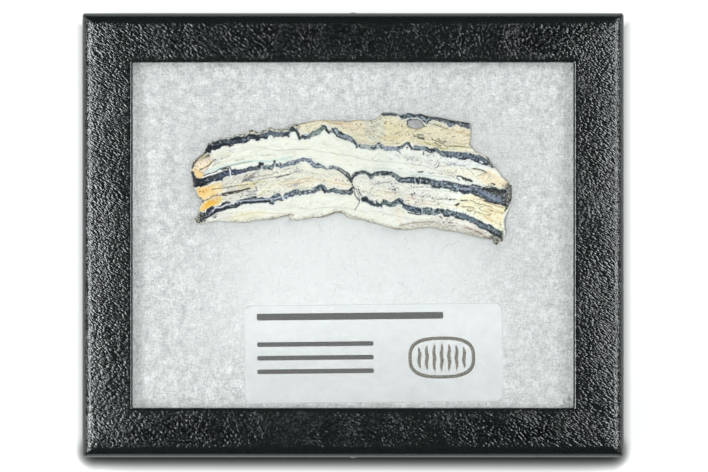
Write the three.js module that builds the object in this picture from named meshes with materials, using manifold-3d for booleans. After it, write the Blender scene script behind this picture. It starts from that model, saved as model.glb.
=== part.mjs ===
// A slice of fossil mammoth molar in a glass-topped display case.
// The case is a shallow card box in black leatherette: a lid with a window, and a tray that slides up
// inside it. The tray is filled with polyester fibre, the slice lies in the fibre with its sawn
// face against the glass, and four short straight pins through the side walls hold lid to tray.
// Millimetres, +Z up. Origin: centre of the case's footprint, on the surface it rests on.
import * as THREE from 'three';
import { mergeVertices } from 'three/addons/utils/BufferGeometryUtils.js';
import Module from 'manifold-3d';

// ---- driving dimensions ----
const CASE_L = 139.7;            // outer length of the lid, along X
const CASE_W = 114.6;            // outer width of the lid, along Y
const CASE_TOP = 19;             // top face of the lid
const LID_BOTTOM = 0.5;          // the lid's rim stops just short of the tray's base
const LID_WALL = 1.75;           // covered card
const LID_CARD = 1.75;           // thickness of the lid's top panel
const TOP_ROUND = 2.75;          // rounding where the lid's top turns down into its sides
const CORNER_R = 1.2;            // upright corners of the lid
const WINDOW_L = 113.1;          // clear window in the lid
const WINDOW_W = 88.6;
const LIP_R = 0.75;              // rolled edge of the covering round the window
const FIT = 0.3;                 // play between lid and tray, tray and fibre, glass and lid walls

const GLASS_T = 2;
const GLASS_TOP = CASE_TOP - LID_CARD - 0.25;         // 17
const GLASS_BOTTOM = GLASS_TOP - GLASS_T;             // 15

const TRAY_TOP = GLASS_BOTTOM - 0.25;                 // 14.75
const TRAY_WALL = 1.75;
const TRAY_FLOOR = 1.5;
const TRAY_EDGE = 0.75;          // softened lower edge of the covered card

const FIBRE_BOTTOM = TRAY_FLOOR + 0.25;
const FIBRE_TOP = TRAY_TOP;
const NEST_BOTTOM = 8.5;         // floor of the hollow that the slice presses into the fibre
const NEST_GAP = 0.6;

const SLICE_BOTTOM = 8.75;
const SLICE_TOP = 14.75;         // 6 mm thick
const SIDE_LAYERS = 4;
const SIDE_WANDER = 0.25;        // how far the broken sides stray from the sawn outline

const LABEL_L = 66.7;            // self-adhesive address label, 2 5/8 x 1 in
const LABEL_W = 25.4;
const LABEL_T = 0.15;
const LABEL_R = 2;
const LABEL_X = 5.32;
const LABEL_Y = -30.48;
const LABEL_TURN = 0.6;          // degrees, anticlockwise from above
const LABEL_GAP = 0.05;          // film of adhesive

const PIN_R = 0.3;
const PIN_HOLE_R = 0.6;
const PIN_LENGTH = 12;           // point to head
const PIN_HEAD_R = 1.1;
const PIN_Z = 7;
const PIN_STAND = 0.25;          // head clear of the lid's wall

// ---- molar slice: the broken outline of the sawn plate, anticlockwise from above ----
const SLICE_OUTLINE = [
  [-38.76, 21.09], [-39.25, 20.70], [-39.56, 20.32], [-40.26, 19.80], [-41.00, 19.36],
  [-41.34, 18.66], [-41.60, 18.02], [-41.60, 17.34], [-41.81, 16.47], [-41.75, 15.77],
  [-41.65, 15.02], [-41.52, 14.25], [-41.39, 13.21], [-41.21, 12.44], [-40.82, 11.92],
  [-40.44, 11.40], [-40.18, 10.76], [-39.92, 10.11], [-39.66, 9.72], [-39.40, 9.52],
  [-38.94, 9.03], [-38.89, 8.30], [-39.27, 7.79], [-39.53, 7.27], [-39.66, 6.75], [-39.79, 6.11],
  [-40.18, 5.64], [-40.49, 5.20], [-40.82, 4.69], [-41.08, 4.17], [-41.08, 3.65], [-40.82, 3.19],
  [-40.31, 2.93], [-39.27, 2.67], [-38.76, 2.78], [-38.37, 3.19], [-37.47, 3.32], [-35.92, 3.65],
  [-34.37, 3.78], [-31.27, 3.40], [-29.20, 3.19], [-27.13, 3.40], [-25.84, 3.78], [-23.52, 3.96],
  [-20.94, 4.07], [-19.39, 4.43], [-18.09, 4.82], [-17.06, 5.08], [-16.21, 5.15], [-16.41, 4.69],
  [-16.34, 4.04], [-15.51, 3.78], [-14.74, 3.65], [-13.70, 4.09], [-12.41, 4.17], [-11.38, 4.35],
  [-10.60, 4.56], [-8.54, 4.56], [-7.50, 4.74], [-6.47, 5.08], [-5.70, 5.33], [-4.79, 5.72],
  [-4.53, 5.98], [-3.89, 5.80], [-3.11, 5.72], [-2.34, 5.85], [-1.69, 4.95], [-1.18, 4.69],
  [-0.27, 4.38], [0.50, 4.12], [1.28, 4.04], [2.31, 4.17], [3.60, 3.65], [4.38, 3.32],
  [5.41, 3.14], [6.44, 2.96], [7.48, 2.62], [8.51, 2.29], [9.54, 2.05], [10.58, 1.69],
  [11.87, 1.54], [13.16, 1.38], [14.97, 1.46], [16.52, 1.64], [18.07, 1.98], [19.88, 2.11],
  [21.43, 1.80], [22.98, 1.46], [24.78, 1.18], [26.59, 0.94], [28.40, 0.56], [30.21, 0.04],
  [32.02, -0.37], [33.82, -0.81], [35.84, -1.25], [36.05, -1.87], [36.54, -2.60], [37.18, -3.32],
  [37.70, -2.80], [38.01, -2.03], [38.58, -2.29], [39.12, -1.90], [39.25, -0.48], [39.38, 0.43],
  [39.30, 1.33], [39.04, 2.36], [38.89, 3.40], [39.04, 4.43], [39.51, 5.20], [39.77, 5.90],
  [40.07, 6.50], [40.59, 7.01], [40.54, 7.58], [41.06, 8.43], [41.37, 9.60], [41.26, 10.37],
  [41.42, 11.92], [41.42, 12.90], [40.69, 13.42], [40.15, 13.83], [39.12, 14.37], [38.29, 15.07],
  [38.03, 15.79], [37.44, 16.49], [36.46, 17.60], [35.68, 18.38], [35.17, 19.15], [34.99, 20.01],
  [33.95, 20.63], [32.79, 21.14], [31.55, 21.53], [31.11, 22.25], [30.10, 23.03], [30.16, 24.06],
  [30.31, 25.09], [30.36, 26.39], [30.26, 27.68], [30.13, 28.71], [30.08, 28.76], [27.55, 29.41],
  [25.56, 29.67], [23.44, 30.08], [21.79, 30.41], [20.13, 30.57], [18.82, 30.96], [17.50, 31.34],
  [16.18, 31.19], [14.19, 31.50], [12.90, 31.16], [12.28, 30.96], [11.35, 31.42], [9.80, 31.73],
  [7.99, 31.73], [7.27, 31.55], [6.96, 31.03], [6.44, 30.52], [5.67, 29.92], [4.38, 29.67],
  [3.09, 29.48], [1.02, 29.74], [-0.09, 29.64], [-0.58, 29.25], [-2.08, 29.43], [-4.56, 29.54],
  [-7.04, 29.74], [-9.03, 29.64], [-10.03, 29.48], [-11.02, 29.36], [-12.02, 28.94],
  [-13.01, 28.89], [-14.01, 28.66], [-14.99, 28.55], [-15.30, 28.71], [-16.18, 28.45],
  [-16.49, 28.06], [-16.78, 27.55], [-17.19, 27.21], [-17.58, 27.37], [-18.48, 27.42],
  [-19.46, 27.32], [-20.06, 27.21], [-20.86, 27.75], [-21.76, 27.70], [-22.36, 27.55],
  [-22.74, 27.06], [-23.23, 27.06], [-23.83, 26.67], [-24.53, 26.46], [-25.12, 26.77],
  [-25.53, 27.06], [-26.23, 27.21], [-26.72, 26.98], [-27.21, 26.36], [-27.73, 26.08],
  [-28.81, 26.02], [-30.10, 25.97], [-30.80, 25.77], [-31.22, 25.27], [-31.91, 25.27],
  [-32.89, 25.22], [-33.39, 24.94], [-33.90, 25.17], [-34.50, 24.89], [-35.09, 24.29],
  [-35.66, 24.50], [-36.28, 24.19], [-37.08, 23.98], [-37.78, 23.54], [-37.85, 22.59],
  [-38.16, 22.10],
];

// natural void near the upper edge
const SLICE_HOLE = [
  [14.04, 29.10], [14.25, 29.59], [15.23, 29.74], [16.78, 29.79], [17.42, 29.36], [17.94, 28.71],
  [18.33, 28.12], [17.29, 27.62], [16.21, 27.34], [14.97, 27.62], [14.14, 28.12],
];

const wasm = await Module();
wasm.setup();

// ---- helpers ----

// a closed geometry as a solid, its shared vertices merged
function solid(geometry) {
  const g = geometry.index ? geometry.toNonIndexed() : geometry.clone();
  g.deleteAttribute('normal');
  g.deleteAttribute('uv');
  const m = mergeVertices(g, 1e-4);
  return new wasm.Manifold(new wasm.Mesh({
    numProp: 3,
    vertProperties: m.attributes.position.array,
    triVerts: new Uint32Array(m.index.array),
  }));
}

// a solid as a flat-shaded geometry
function geometry(s) {
  const m = s.getMesh();
  const g = new THREE.BufferGeometry();
  g.setAttribute('position', new THREE.BufferAttribute(Float32Array.from(m.vertProperties), 3));
  g.setIndex(new THREE.BufferAttribute(Uint32Array.from(m.triVerts), 1));
  const flat = g.toNonIndexed();
  flat.computeVertexNormals();
  return flat;
}

function rectangle(l, w, r = 0) {
  const s = new THREE.Shape();
  const x = l / 2, y = w / 2;
  if (r === 0) {
    s.moveTo(-x, -y).lineTo(x, -y).lineTo(x, y).lineTo(-x, y).closePath();
  } else {
    s.moveTo(-x + r, -y).lineTo(x - r, -y).absarc(x - r, -y + r, r, -Math.PI / 2, 0, false);
    s.lineTo(x, y - r).absarc(x - r, y - r, r, 0, Math.PI / 2, false);
    s.lineTo(-x + r, y).absarc(-x + r, y - r, r, Math.PI / 2, Math.PI, false);
    s.lineTo(-x, -y + r).absarc(-x + r, -y + r, r, Math.PI, 1.5 * Math.PI, false);
  }
  return s;
}

function outline(points) {
  return new THREE.Shape(points.map(([x, y]) => new THREE.Vector2(x, y)));
}

// a shape as a plate between two heights, its edges rounded by `round` inside the shape's own outline
function plate(shape, z0, z1, round = 0, segments = 4, curveSegments = 4) {
  const g = new THREE.ExtrudeGeometry(shape, {
    depth: z1 - z0 - 2 * round,
    steps: 1,
    curveSegments,
    bevelEnabled: round > 0,
    bevelThickness: round,
    bevelSize: round,
    bevelOffset: -round,
    bevelSegments: segments,
  });
  g.translate(0, 0, z0 + round);
  return g;
}

// a straight pin along +Z: point at 0, domed head past `length`
function pin(length, r) {
  const profile = [
    [0, 0], [r * 0.55, 0.9], [r, 2], [r, length], [PIN_HEAD_R, length],
    [PIN_HEAD_R, length + 0.2], [PIN_HEAD_R * 0.8, length + 0.45],
    [PIN_HEAD_R * 0.42, length + 0.6], [0, length + 0.65],
  ].map(([x, y]) => new THREE.Vector2(x, y));
  const g = new THREE.LatheGeometry(profile, 12);
  g.rotateX(Math.PI / 2);
  return g;
}

// where the four pins go: unit vector out through the wall, and how far out that wall's face is
const PINS = [
  { name: 'pin_right', out: new THREE.Vector3(1, 0, 0), wall: CASE_L / 2 },
  { name: 'pin_left', out: new THREE.Vector3(-1, 0, 0), wall: CASE_L / 2 },
  { name: 'pin_back', out: new THREE.Vector3(0, 1, 0), wall: CASE_W / 2 },
  { name: 'pin_front', out: new THREE.Vector3(0, -1, 0), wall: CASE_W / 2 },
];

function pinPlace(p) {
  const m = new THREE.Matrix4().makeRotationFromQuaternion(
    new THREE.Quaternion().setFromUnitVectors(new THREE.Vector3(0, 0, 1), p.out));
  const at = p.out.clone().multiplyScalar(p.wall + PIN_STAND - PIN_LENGTH);
  at.z = PIN_Z;
  return m.setPosition(at);
}

// the four pin holes as one cutter
function pinHoles() {
  let all = null;
  for (const p of PINS) {
    const g = new THREE.CylinderGeometry(PIN_HOLE_R, PIN_HOLE_R, PIN_LENGTH + 6, 12);
    g.rotateX(Math.PI / 2);
    g.translate(0, 0, (PIN_LENGTH + 6) / 2 - 1);
    g.applyMatrix4(pinPlace(p));
    const s = solid(g);
    all = all ? all.add(s) : s;
  }
  return all;
}

// ---- lid ----
function lid() {
  const far = -8;
  // square block with its top edges rolled over, its upright corners rounded
  let s = solid(plate(rectangle(CASE_L, CASE_W), far, CASE_TOP, TOP_ROUND, 5));
  s = s.intersect(solid(plate(rectangle(CASE_L, CASE_W, CORNER_R), LID_BOTTOM, CASE_TOP + 4)));
  s = s.subtract(solid(plate(rectangle(CASE_L - 2 * LID_WALL, CASE_W - 2 * LID_WALL), far,
    CASE_TOP - LID_CARD)));
  s = s.subtract(solid(plate(rectangle(WINDOW_L + 6, WINDOW_W + 6), far, CASE_TOP + 4)));
  // ring round the window, its inner edge rolled
  const ring = rectangle(WINDOW_L + 12, WINDOW_W + 12);
  const hole = rectangle(WINDOW_L, WINDOW_W);
  ring.holes.push(new THREE.Path(hole.getPoints().reverse()));
  s = s.add(solid(plate(ring, CASE_TOP - LID_CARD, CASE_TOP, LIP_R, 4)));
  return s.subtract(pinHoles());
}

// ---- tray ----
const TRAY_L = CASE_L - 2 * LID_WALL - 2 * FIT;
const TRAY_W = CASE_W - 2 * LID_WALL - 2 * FIT;

function tray() {
  let s = solid(plate(rectangle(TRAY_L, TRAY_W), 0, TRAY_TOP + 6, TRAY_EDGE, 3));
  s = s.intersect(solid(plate(rectangle(TRAY_L, TRAY_W, 0.8), -1, TRAY_TOP)));
  s = s.subtract(solid(plate(rectangle(TRAY_L - 2 * TRAY_WALL, TRAY_W - 2 * TRAY_WALL),
    TRAY_FLOOR, TRAY_TOP + 8)));
  return s.subtract(pinHoles());
}

// ---- glass, label ----
function glass() {
  return solid(plate(rectangle(CASE_L - 2 * LID_WALL - 2 * FIT, CASE_W - 2 * LID_WALL - 2 * FIT),
    GLASS_BOTTOM, GLASS_TOP));
}

function label() {
  const g = plate(rectangle(LABEL_L, LABEL_W, LABEL_R), 0, LABEL_T, 0, 1, 6);
  g.rotateZ(THREE.MathUtils.degToRad(LABEL_TURN));
  g.translate(LABEL_X, LABEL_Y, GLASS_TOP + LABEL_GAP);
  return solid(g);
}

// ---- slice ----
// One sawn plate of tooth. Both faces are flat; the broken sides between them wander a little from
// layer to layer. A natural void runs through it near the upper edge.
function slice() {
  const t = SLICE_TOP - SLICE_BOTTOM;
  const g = new THREE.ExtrudeGeometry(outline(SLICE_OUTLINE), { depth: t, steps: SIDE_LAYERS, bevelEnabled: false });
  const at = g.attributes.position;
  for (let i = 0; i < at.count; i++) {
    const x = at.getX(i), y = at.getY(i), z = at.getZ(i);
    const k = SIDE_WANDER * Math.sin(Math.PI * Math.min(Math.max(z / t, 0), 1));
    at.setXYZ(i,
      x + k * (0.6 * Math.sin(1.9 * y + 1.3 * z + 0.4) + 0.4 * Math.sin(3.1 * x - 0.8 * z)),
      y + k * (0.6 * Math.sin(1.6 * x - 1.1 * z + 1.7) + 0.4 * Math.sin(2.9 * y + 2.1 * z)),
      z);
  }
  g.translate(0, 0, SLICE_BOTTOM);
  return solid(g).subtract(solid(plate(outline(SLICE_HOLE), SLICE_BOTTOM - 1, SLICE_TOP + 1)));
}

// ---- fibre ----
// outline of the hollow: the slice's own reach at each station along X, opened by NEST_GAP
function nestOutline() {
  const xs = SLICE_OUTLINE.map((p) => p[0]);
  const x0 = Math.min(...xs) - NEST_GAP, x1 = Math.max(...xs) + NEST_GAP;
  const n = 36, step = (x1 - x0) / n;
  const dense = [];
  SLICE_OUTLINE.forEach((p, i) => {
    const q = SLICE_OUTLINE[(i + 1) % SLICE_OUTLINE.length];
    for (let k = 0; k < 8; k++) dense.push([p[0] + (q[0] - p[0]) * k / 8, p[1] + (q[1] - p[1]) * k / 8]);
  });
  const low = [], high = [];
  for (let i = 0; i <= n; i++) {
    const x = x0 + i * step;
    const near = dense.filter((p) => Math.abs(p[0] - x) <= step + NEST_GAP).map((p) => p[1]);
    low.push([x, Math.min(...near) - NEST_GAP]);
    high.push([x, Math.max(...near) + NEST_GAP]);
  }
  return low.concat(high.reverse());
}

function fibre() {
  const l = TRAY_L - 2 * TRAY_WALL - 2 * FIT, w = TRAY_W - 2 * TRAY_WALL - 2 * FIT;
  let s = solid(plate(rectangle(l, w), FIBRE_BOTTOM, FIBRE_TOP));
  s = s.subtract(solid(plate(outline(nestOutline()), NEST_BOTTOM, FIBRE_TOP + 2)));
  return s.subtract(pinHoles());
}

// ---- scene graph ----
function piece(name, geo, colour, roughness, metalness = 0, extra = {}) {
  const mesh = new THREE.Mesh(geo,
    new THREE.MeshStandardMaterial({ color: colour, roughness, metalness, ...extra }));
  mesh.name = name;
  return mesh;
}

const lidGroup = new THREE.Group();
lidGroup.add(
  piece('lid', geometry(lid()), 0x17181a, 0.42),
  piece('glass_pane', geometry(glass()), 0xe8efec, 0.03, 0, { transparent: true, opacity: 0.25 }),
  piece('label', geometry(label()), 0xe4e6e3, 0.55),
);

const trayGroup = new THREE.Group();
trayGroup.add(
  piece('tray', geometry(tray()), 0x1b1b1c, 0.6),
  piece('fibre_batting', geometry(fibre()), 0xe6e9ea, 0.95),
  piece('molar_slice', geometry(slice()), 0xe9e2c6, 0.35),
);

const pins = new THREE.Group();
for (const p of PINS) {
  const mesh = piece(p.name, geometry(solid(pin(PIN_LENGTH, PIN_R))), 0xc9ccd0, 0.25, 1);
  mesh.applyMatrix4(pinPlace(p));
  pins.add(mesh);
}

const displayCase = new THREE.Group();
displayCase.add(trayGroup, lidGroup, pins);

export default displayCase;
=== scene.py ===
# Looks for the fossil mammoth molar slice in its display case.
# Metres in the scene, millimetres in the tables and helpers below; MM turns one into the other.
import math
import bpy
import numpy as np
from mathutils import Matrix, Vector


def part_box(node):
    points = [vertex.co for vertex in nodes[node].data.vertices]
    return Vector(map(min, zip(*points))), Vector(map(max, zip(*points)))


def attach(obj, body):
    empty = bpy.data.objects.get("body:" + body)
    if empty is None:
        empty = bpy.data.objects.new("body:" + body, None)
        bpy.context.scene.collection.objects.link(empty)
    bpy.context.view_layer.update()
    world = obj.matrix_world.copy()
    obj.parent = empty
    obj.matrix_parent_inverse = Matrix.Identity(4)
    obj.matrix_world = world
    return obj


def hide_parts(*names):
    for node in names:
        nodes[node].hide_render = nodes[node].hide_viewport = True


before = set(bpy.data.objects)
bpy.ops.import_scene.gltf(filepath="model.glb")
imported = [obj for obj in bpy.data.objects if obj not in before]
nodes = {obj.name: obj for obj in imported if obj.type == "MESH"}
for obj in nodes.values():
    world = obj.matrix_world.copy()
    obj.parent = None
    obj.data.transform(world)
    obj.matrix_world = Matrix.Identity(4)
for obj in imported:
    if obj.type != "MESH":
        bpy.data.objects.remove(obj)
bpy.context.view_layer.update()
MM = 0.001


def node_mm(name):
    lo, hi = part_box(name)
    return np.array(lo) / MM, np.array(hi) / MM


LID_LO, LID_HI = node_mm("lid")
GLASS_LO, GLASS_HI = node_mm("glass_pane")
TRAY_LO, TRAY_HI = node_mm("tray")
FIB_LO, FIB_HI = node_mm("fibre_batting")
SLICE_LO, SLICE_HI = node_mm("molar_slice")
LABEL_LO, LABEL_HI = node_mm("label")

WIN_X, WIN_Y = 56.55, 44.30        # half the window


# ---------------------------------------------------------------- noise
def _hash(ix, iy, iz, seed):
    h = (ix.astype(np.int64) * 374761393 + iy.astype(np.int64) * 668265263
         + iz.astype(np.int64) * 2147483647 + seed * 974711) & 0xFFFFFFFF
    h = ((h ^ (h >> 13)) * 1274126177) & 0xFFFFFFFF
    h = ((h ^ (h >> 15)) * 2246822519) & 0xFFFFFFFF
    return (h ^ (h >> 16)) & 0xFFFFFFFF


def noise(x, y, z=0.0, seed=0):
    """Smooth gradient noise, about -1 to 1."""
    x = np.asarray(x, float); y = np.asarray(y, float) + 0 * x; z = np.asarray(z, float) + 0 * x
    ix, iy, iz = np.floor(x), np.floor(y), np.floor(z)
    fx, fy, fz = x - ix, y - iy, z - iz
    ux, uy, uz = (f * f * f * (f * (f * 6 - 15) + 10) for f in (fx, fy, fz))
    total = 0.0
    for dx in (0, 1):
        for dy in (0, 1):
            for dz in (0, 1):
                h = _hash(ix + dx, iy + dy, iz + dz, seed)
                a = (h & 0xFFFF) / 65535.0 * 2 * np.pi
                c = ((h >> 16) & 0xFFFF) / 65535.0 * 2 - 1
                s = np.sqrt(1 - c * c)
                g = s * np.cos(a) * (fx - dx) + s * np.sin(a) * (fy - dy) + c * (fz - dz)
                w = (ux if dx else 1 - ux) * (uy if dy else 1 - uy) * (uz if dz else 1 - uz)
                total = total + w * g
    return total * 1.6


def fbm(x, y, z=0.0, octaves=4, seed=0, gain=0.5, lacunarity=2.03):
    total, amp, norm = 0.0, 1.0, 0.0
    f = 1.0
    for o in range(octaves):
        total = total + amp * noise(np.asarray(x) * f, np.asarray(y) * f, np.asarray(z) * f, seed + 17 * o)
        norm += amp
        amp *= gain
        f *= lacunarity
    return total / norm


def smooth(a, b, x):
    t = np.clip((np.asarray(x, float) - a) / (b - a), 0, 1)
    return t * t * (3 - 2 * t)


# ---------------------------------------------------------------- meshes
def make_mesh(name, verts_mm, faces, shade_smooth=True):
    """verts in mm; faces is one array, or a list of arrays, of quads and triangles."""
    if isinstance(faces, np.ndarray):
        faces = [faces]
    me = bpy.data.meshes.new(name)
    v = np.asarray(verts_mm, np.float32) * MM
    me.vertices.add(len(v))
    me.vertices.foreach_set("co", v.ravel())
    loops = np.concatenate([f.ravel() for f in faces]).astype(np.int32)
    sizes = np.concatenate([np.full(len(f), f.shape[1], np.int32) for f in faces])
    starts = np.concatenate([[0], np.cumsum(sizes)[:-1]]).astype(np.int32)
    me.loops.add(len(loops))
    me.loops.foreach_set("vertex_index", loops)
    me.polygons.add(len(sizes))
    me.polygons.foreach_set("loop_start", starts)
    me.update(calc_edges=True)
    me.validate()
    if shade_smooth:
        me.polygons.foreach_set("use_smooth", np.ones(len(me.polygons), bool))
    ob = bpy.data.objects.new(name, me)
    bpy.context.scene.collection.objects.link(ob)
    return ob


def add_uv(ob, uv_per_vertex):
    """A bake map from one coordinate per vertex."""
    me = ob.data
    layer = me.uv_layers.new(name="OFBake")
    idx = np.empty(len(me.loops), np.int32)
    me.loops.foreach_get("vertex_index", idx)
    layer.data.foreach_set("uv", np.asarray(uv_per_vertex, np.float32)[idx].ravel())


def add_color(ob, name, rgba):
    a = ob.data.color_attributes.new(name=name, type="FLOAT_COLOR", domain="POINT")
    a.data.foreach_set("color", np.asarray(rgba, np.float32).ravel())


def add_float(ob, name, values):
    a = ob.data.attributes.new(name=name, type="FLOAT", domain="POINT")
    a.data.foreach_set("value", np.asarray(values, np.float32).ravel())


def grid_faces(nu, nv, wrap_u=False, wrap_v=False, offset=0):
    """Quads of a grid whose vertex (i, j) has index i * nv + j."""
    iu = np.arange(nu if wrap_u else nu - 1)
    iv = np.arange(nv if wrap_v else nv - 1)
    a, b = np.meshgrid(iu, iv, indexing="ij")
    a2, b2 = (a + 1) % nu, (b + 1) % nv
    q = np.stack([a * nv + b, a2 * nv + b, a2 * nv + b2, a * nv + b2], -1).reshape(-1, 4)
    return q + offset


# ---------------------------------------------------------------- material helpers
class Mat:
    """A small wrapper for building node trees."""

    def __init__(self, name):
        self.mat = bpy.data.materials.new(name)
        self.mat.use_nodes = True
        self.t = self.mat.node_tree
        self.t.nodes.clear()
        self.out = self.t.nodes.new("ShaderNodeOutputMaterial")

    def node(self, kind, **props):
        n = self.t.nodes.new(kind)
        for k, v in props.items():
            setattr(n, k, v)
        return n

    def link(self, a, b):
        self.t.links.new(a, b)

    def feed(self, socket, value):
        if value is None:
            return
        if isinstance(value, bpy.types.NodeSocket):
            self.link(value, socket)
        else:
            socket.default_value = value

    def math(self, op, a, b=None, c=None, clamp=False):
        n = self.node("ShaderNodeMath", operation=op, use_clamp=clamp)
        self.feed(n.inputs[0], a)
        if b is not None:
            self.feed(n.inputs[1], b)
        if c is not None:
            self.feed(n.inputs[2], c)
        return n.outputs[0]

    def mix(self, fac, a, b, blend="MIX"):
        n = self.node("ShaderNodeMix", data_type="RGBA", blend_type=blend)
        self.feed(n.inputs[0], fac)
        self.feed(n.inputs[6], a if isinstance(a, bpy.types.NodeSocket) else (*a, 1.0) if len(a) == 3 else a)
        self.feed(n.inputs[7], b if isinstance(b, bpy.types.NodeSocket) else (*b, 1.0) if len(b) == 3 else b)
        return n.outputs[2]

    def ramp(self, fac, stops, interpolation="LINEAR"):
        n = self.node("ShaderNodeValToRGB")
        n.color_ramp.interpolation = interpolation
        el = n.color_ramp.elements
        while len(el) > 1:
            el.remove(el[-1])
        el[0].position = stops[0][0]
        el[0].color = (*stops[0][1], 1.0)
        for p, c in stops[1:]:
            e = el.new(p)
            e.color = (*c, 1.0)
        self.feed(n.inputs[0], fac)
        return n.outputs[0]

    def maprange(self, v, a, b, c=0.0, d=1.0, kind="SMOOTHSTEP"):
        n = self.node("ShaderNodeMapRange", interpolation_type=kind)
        self.feed(n.inputs[0], v)
        for i, x in enumerate((a, b, c, d)):
            self.feed(n.inputs[i + 1], x)
        return n.outputs[0]

    def coords(self, scale=(1, 1, 1), rotation=(0, 0, 0), location=(0, 0, 0), vector=None):
        if vector is None:
            vector = self.node("ShaderNodeTexCoord").outputs["Object"]
        m = self.node("ShaderNodeMapping")
        self.link(vector, m.inputs[0])
        m.inputs["Location"].default_value = location
        m.inputs["Rotation"].default_value = rotation
        m.inputs["Scale"].default_value = scale
        return m.outputs[0]

    def noise(self, vector, scale=1.0, detail=4.0, rough=0.5, distortion=0.0):
        n = self.node("ShaderNodeTexNoise")
        self.link(vector, n.inputs["Vector"])
        n.inputs["Scale"].default_value = scale
        n.inputs["Detail"].default_value = detail
        n.inputs["Roughness"].default_value = rough
        n.inputs["Distortion"].default_value = distortion
        return n.outputs["Fac"]

    def voronoi(self, vector, scale=1.0, feature="F1", randomness=1.0, smoothness=0.5):
        n = self.node("ShaderNodeTexVoronoi", feature=feature)
        self.link(vector, n.inputs["Vector"])
        n.inputs["Scale"].default_value = scale
        n.inputs["Randomness"].default_value = randomness
        if feature == "SMOOTH_F1":
            n.inputs["Smoothness"].default_value = smoothness
        return n.outputs["Distance"]

    def attr(self, name, kind="Fac"):
        n = self.node("ShaderNodeAttribute", attribute_name=name)
        return n.outputs[kind]

    def split(self, color):
        n = self.node("ShaderNodeSeparateColor")
        self.link(color, n.inputs[0])
        return n.outputs[0], n.outputs[1], n.outputs[2]

    def bump(self, height, strength, distance, normal=None):
        n = self.node("ShaderNodeBump")
        n.inputs["Strength"].default_value = strength
        n.inputs["Distance"].default_value = distance
        self.link(height, n.inputs["Height"])
        if normal is not None:
            self.link(normal, n.inputs["Normal"])
        return n.outputs[0]

    def principled(self, color, roughness=0.5, normal=None, **values):
        n = self.node("ShaderNodeBsdfPrincipled")
        self.feed(n.inputs["Base Color"], color if isinstance(color, bpy.types.NodeSocket) else (*color, 1.0))
        self.feed(n.inputs["Roughness"], roughness)
        if normal is not None:
            self.link(normal, n.inputs["Normal"])
        for k, v in values.items():
            self.feed(n.inputs[k.replace("_", " ")], v)
        return n

    def finish(self, shader):
        self.link(shader, self.out.inputs["Surface"])
        return self.mat


def srgb(r, g, b):
    """sRGB 0-255 to linear."""
    out = []
    for c in (r, g, b):
        c /= 255.0
        out.append(c / 12.92 if c <= 0.04045 else ((c + 0.055) / 1.055) ** 2.4)
    return tuple(out)


def set_material(ob, mat):
    if ob.data.materials:
        for i in range(len(ob.data.materials)):
            ob.data.materials[i] = mat
        for s in ob.material_slots:
            s.material = mat
    else:
        ob.data.materials.append(mat)


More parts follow.
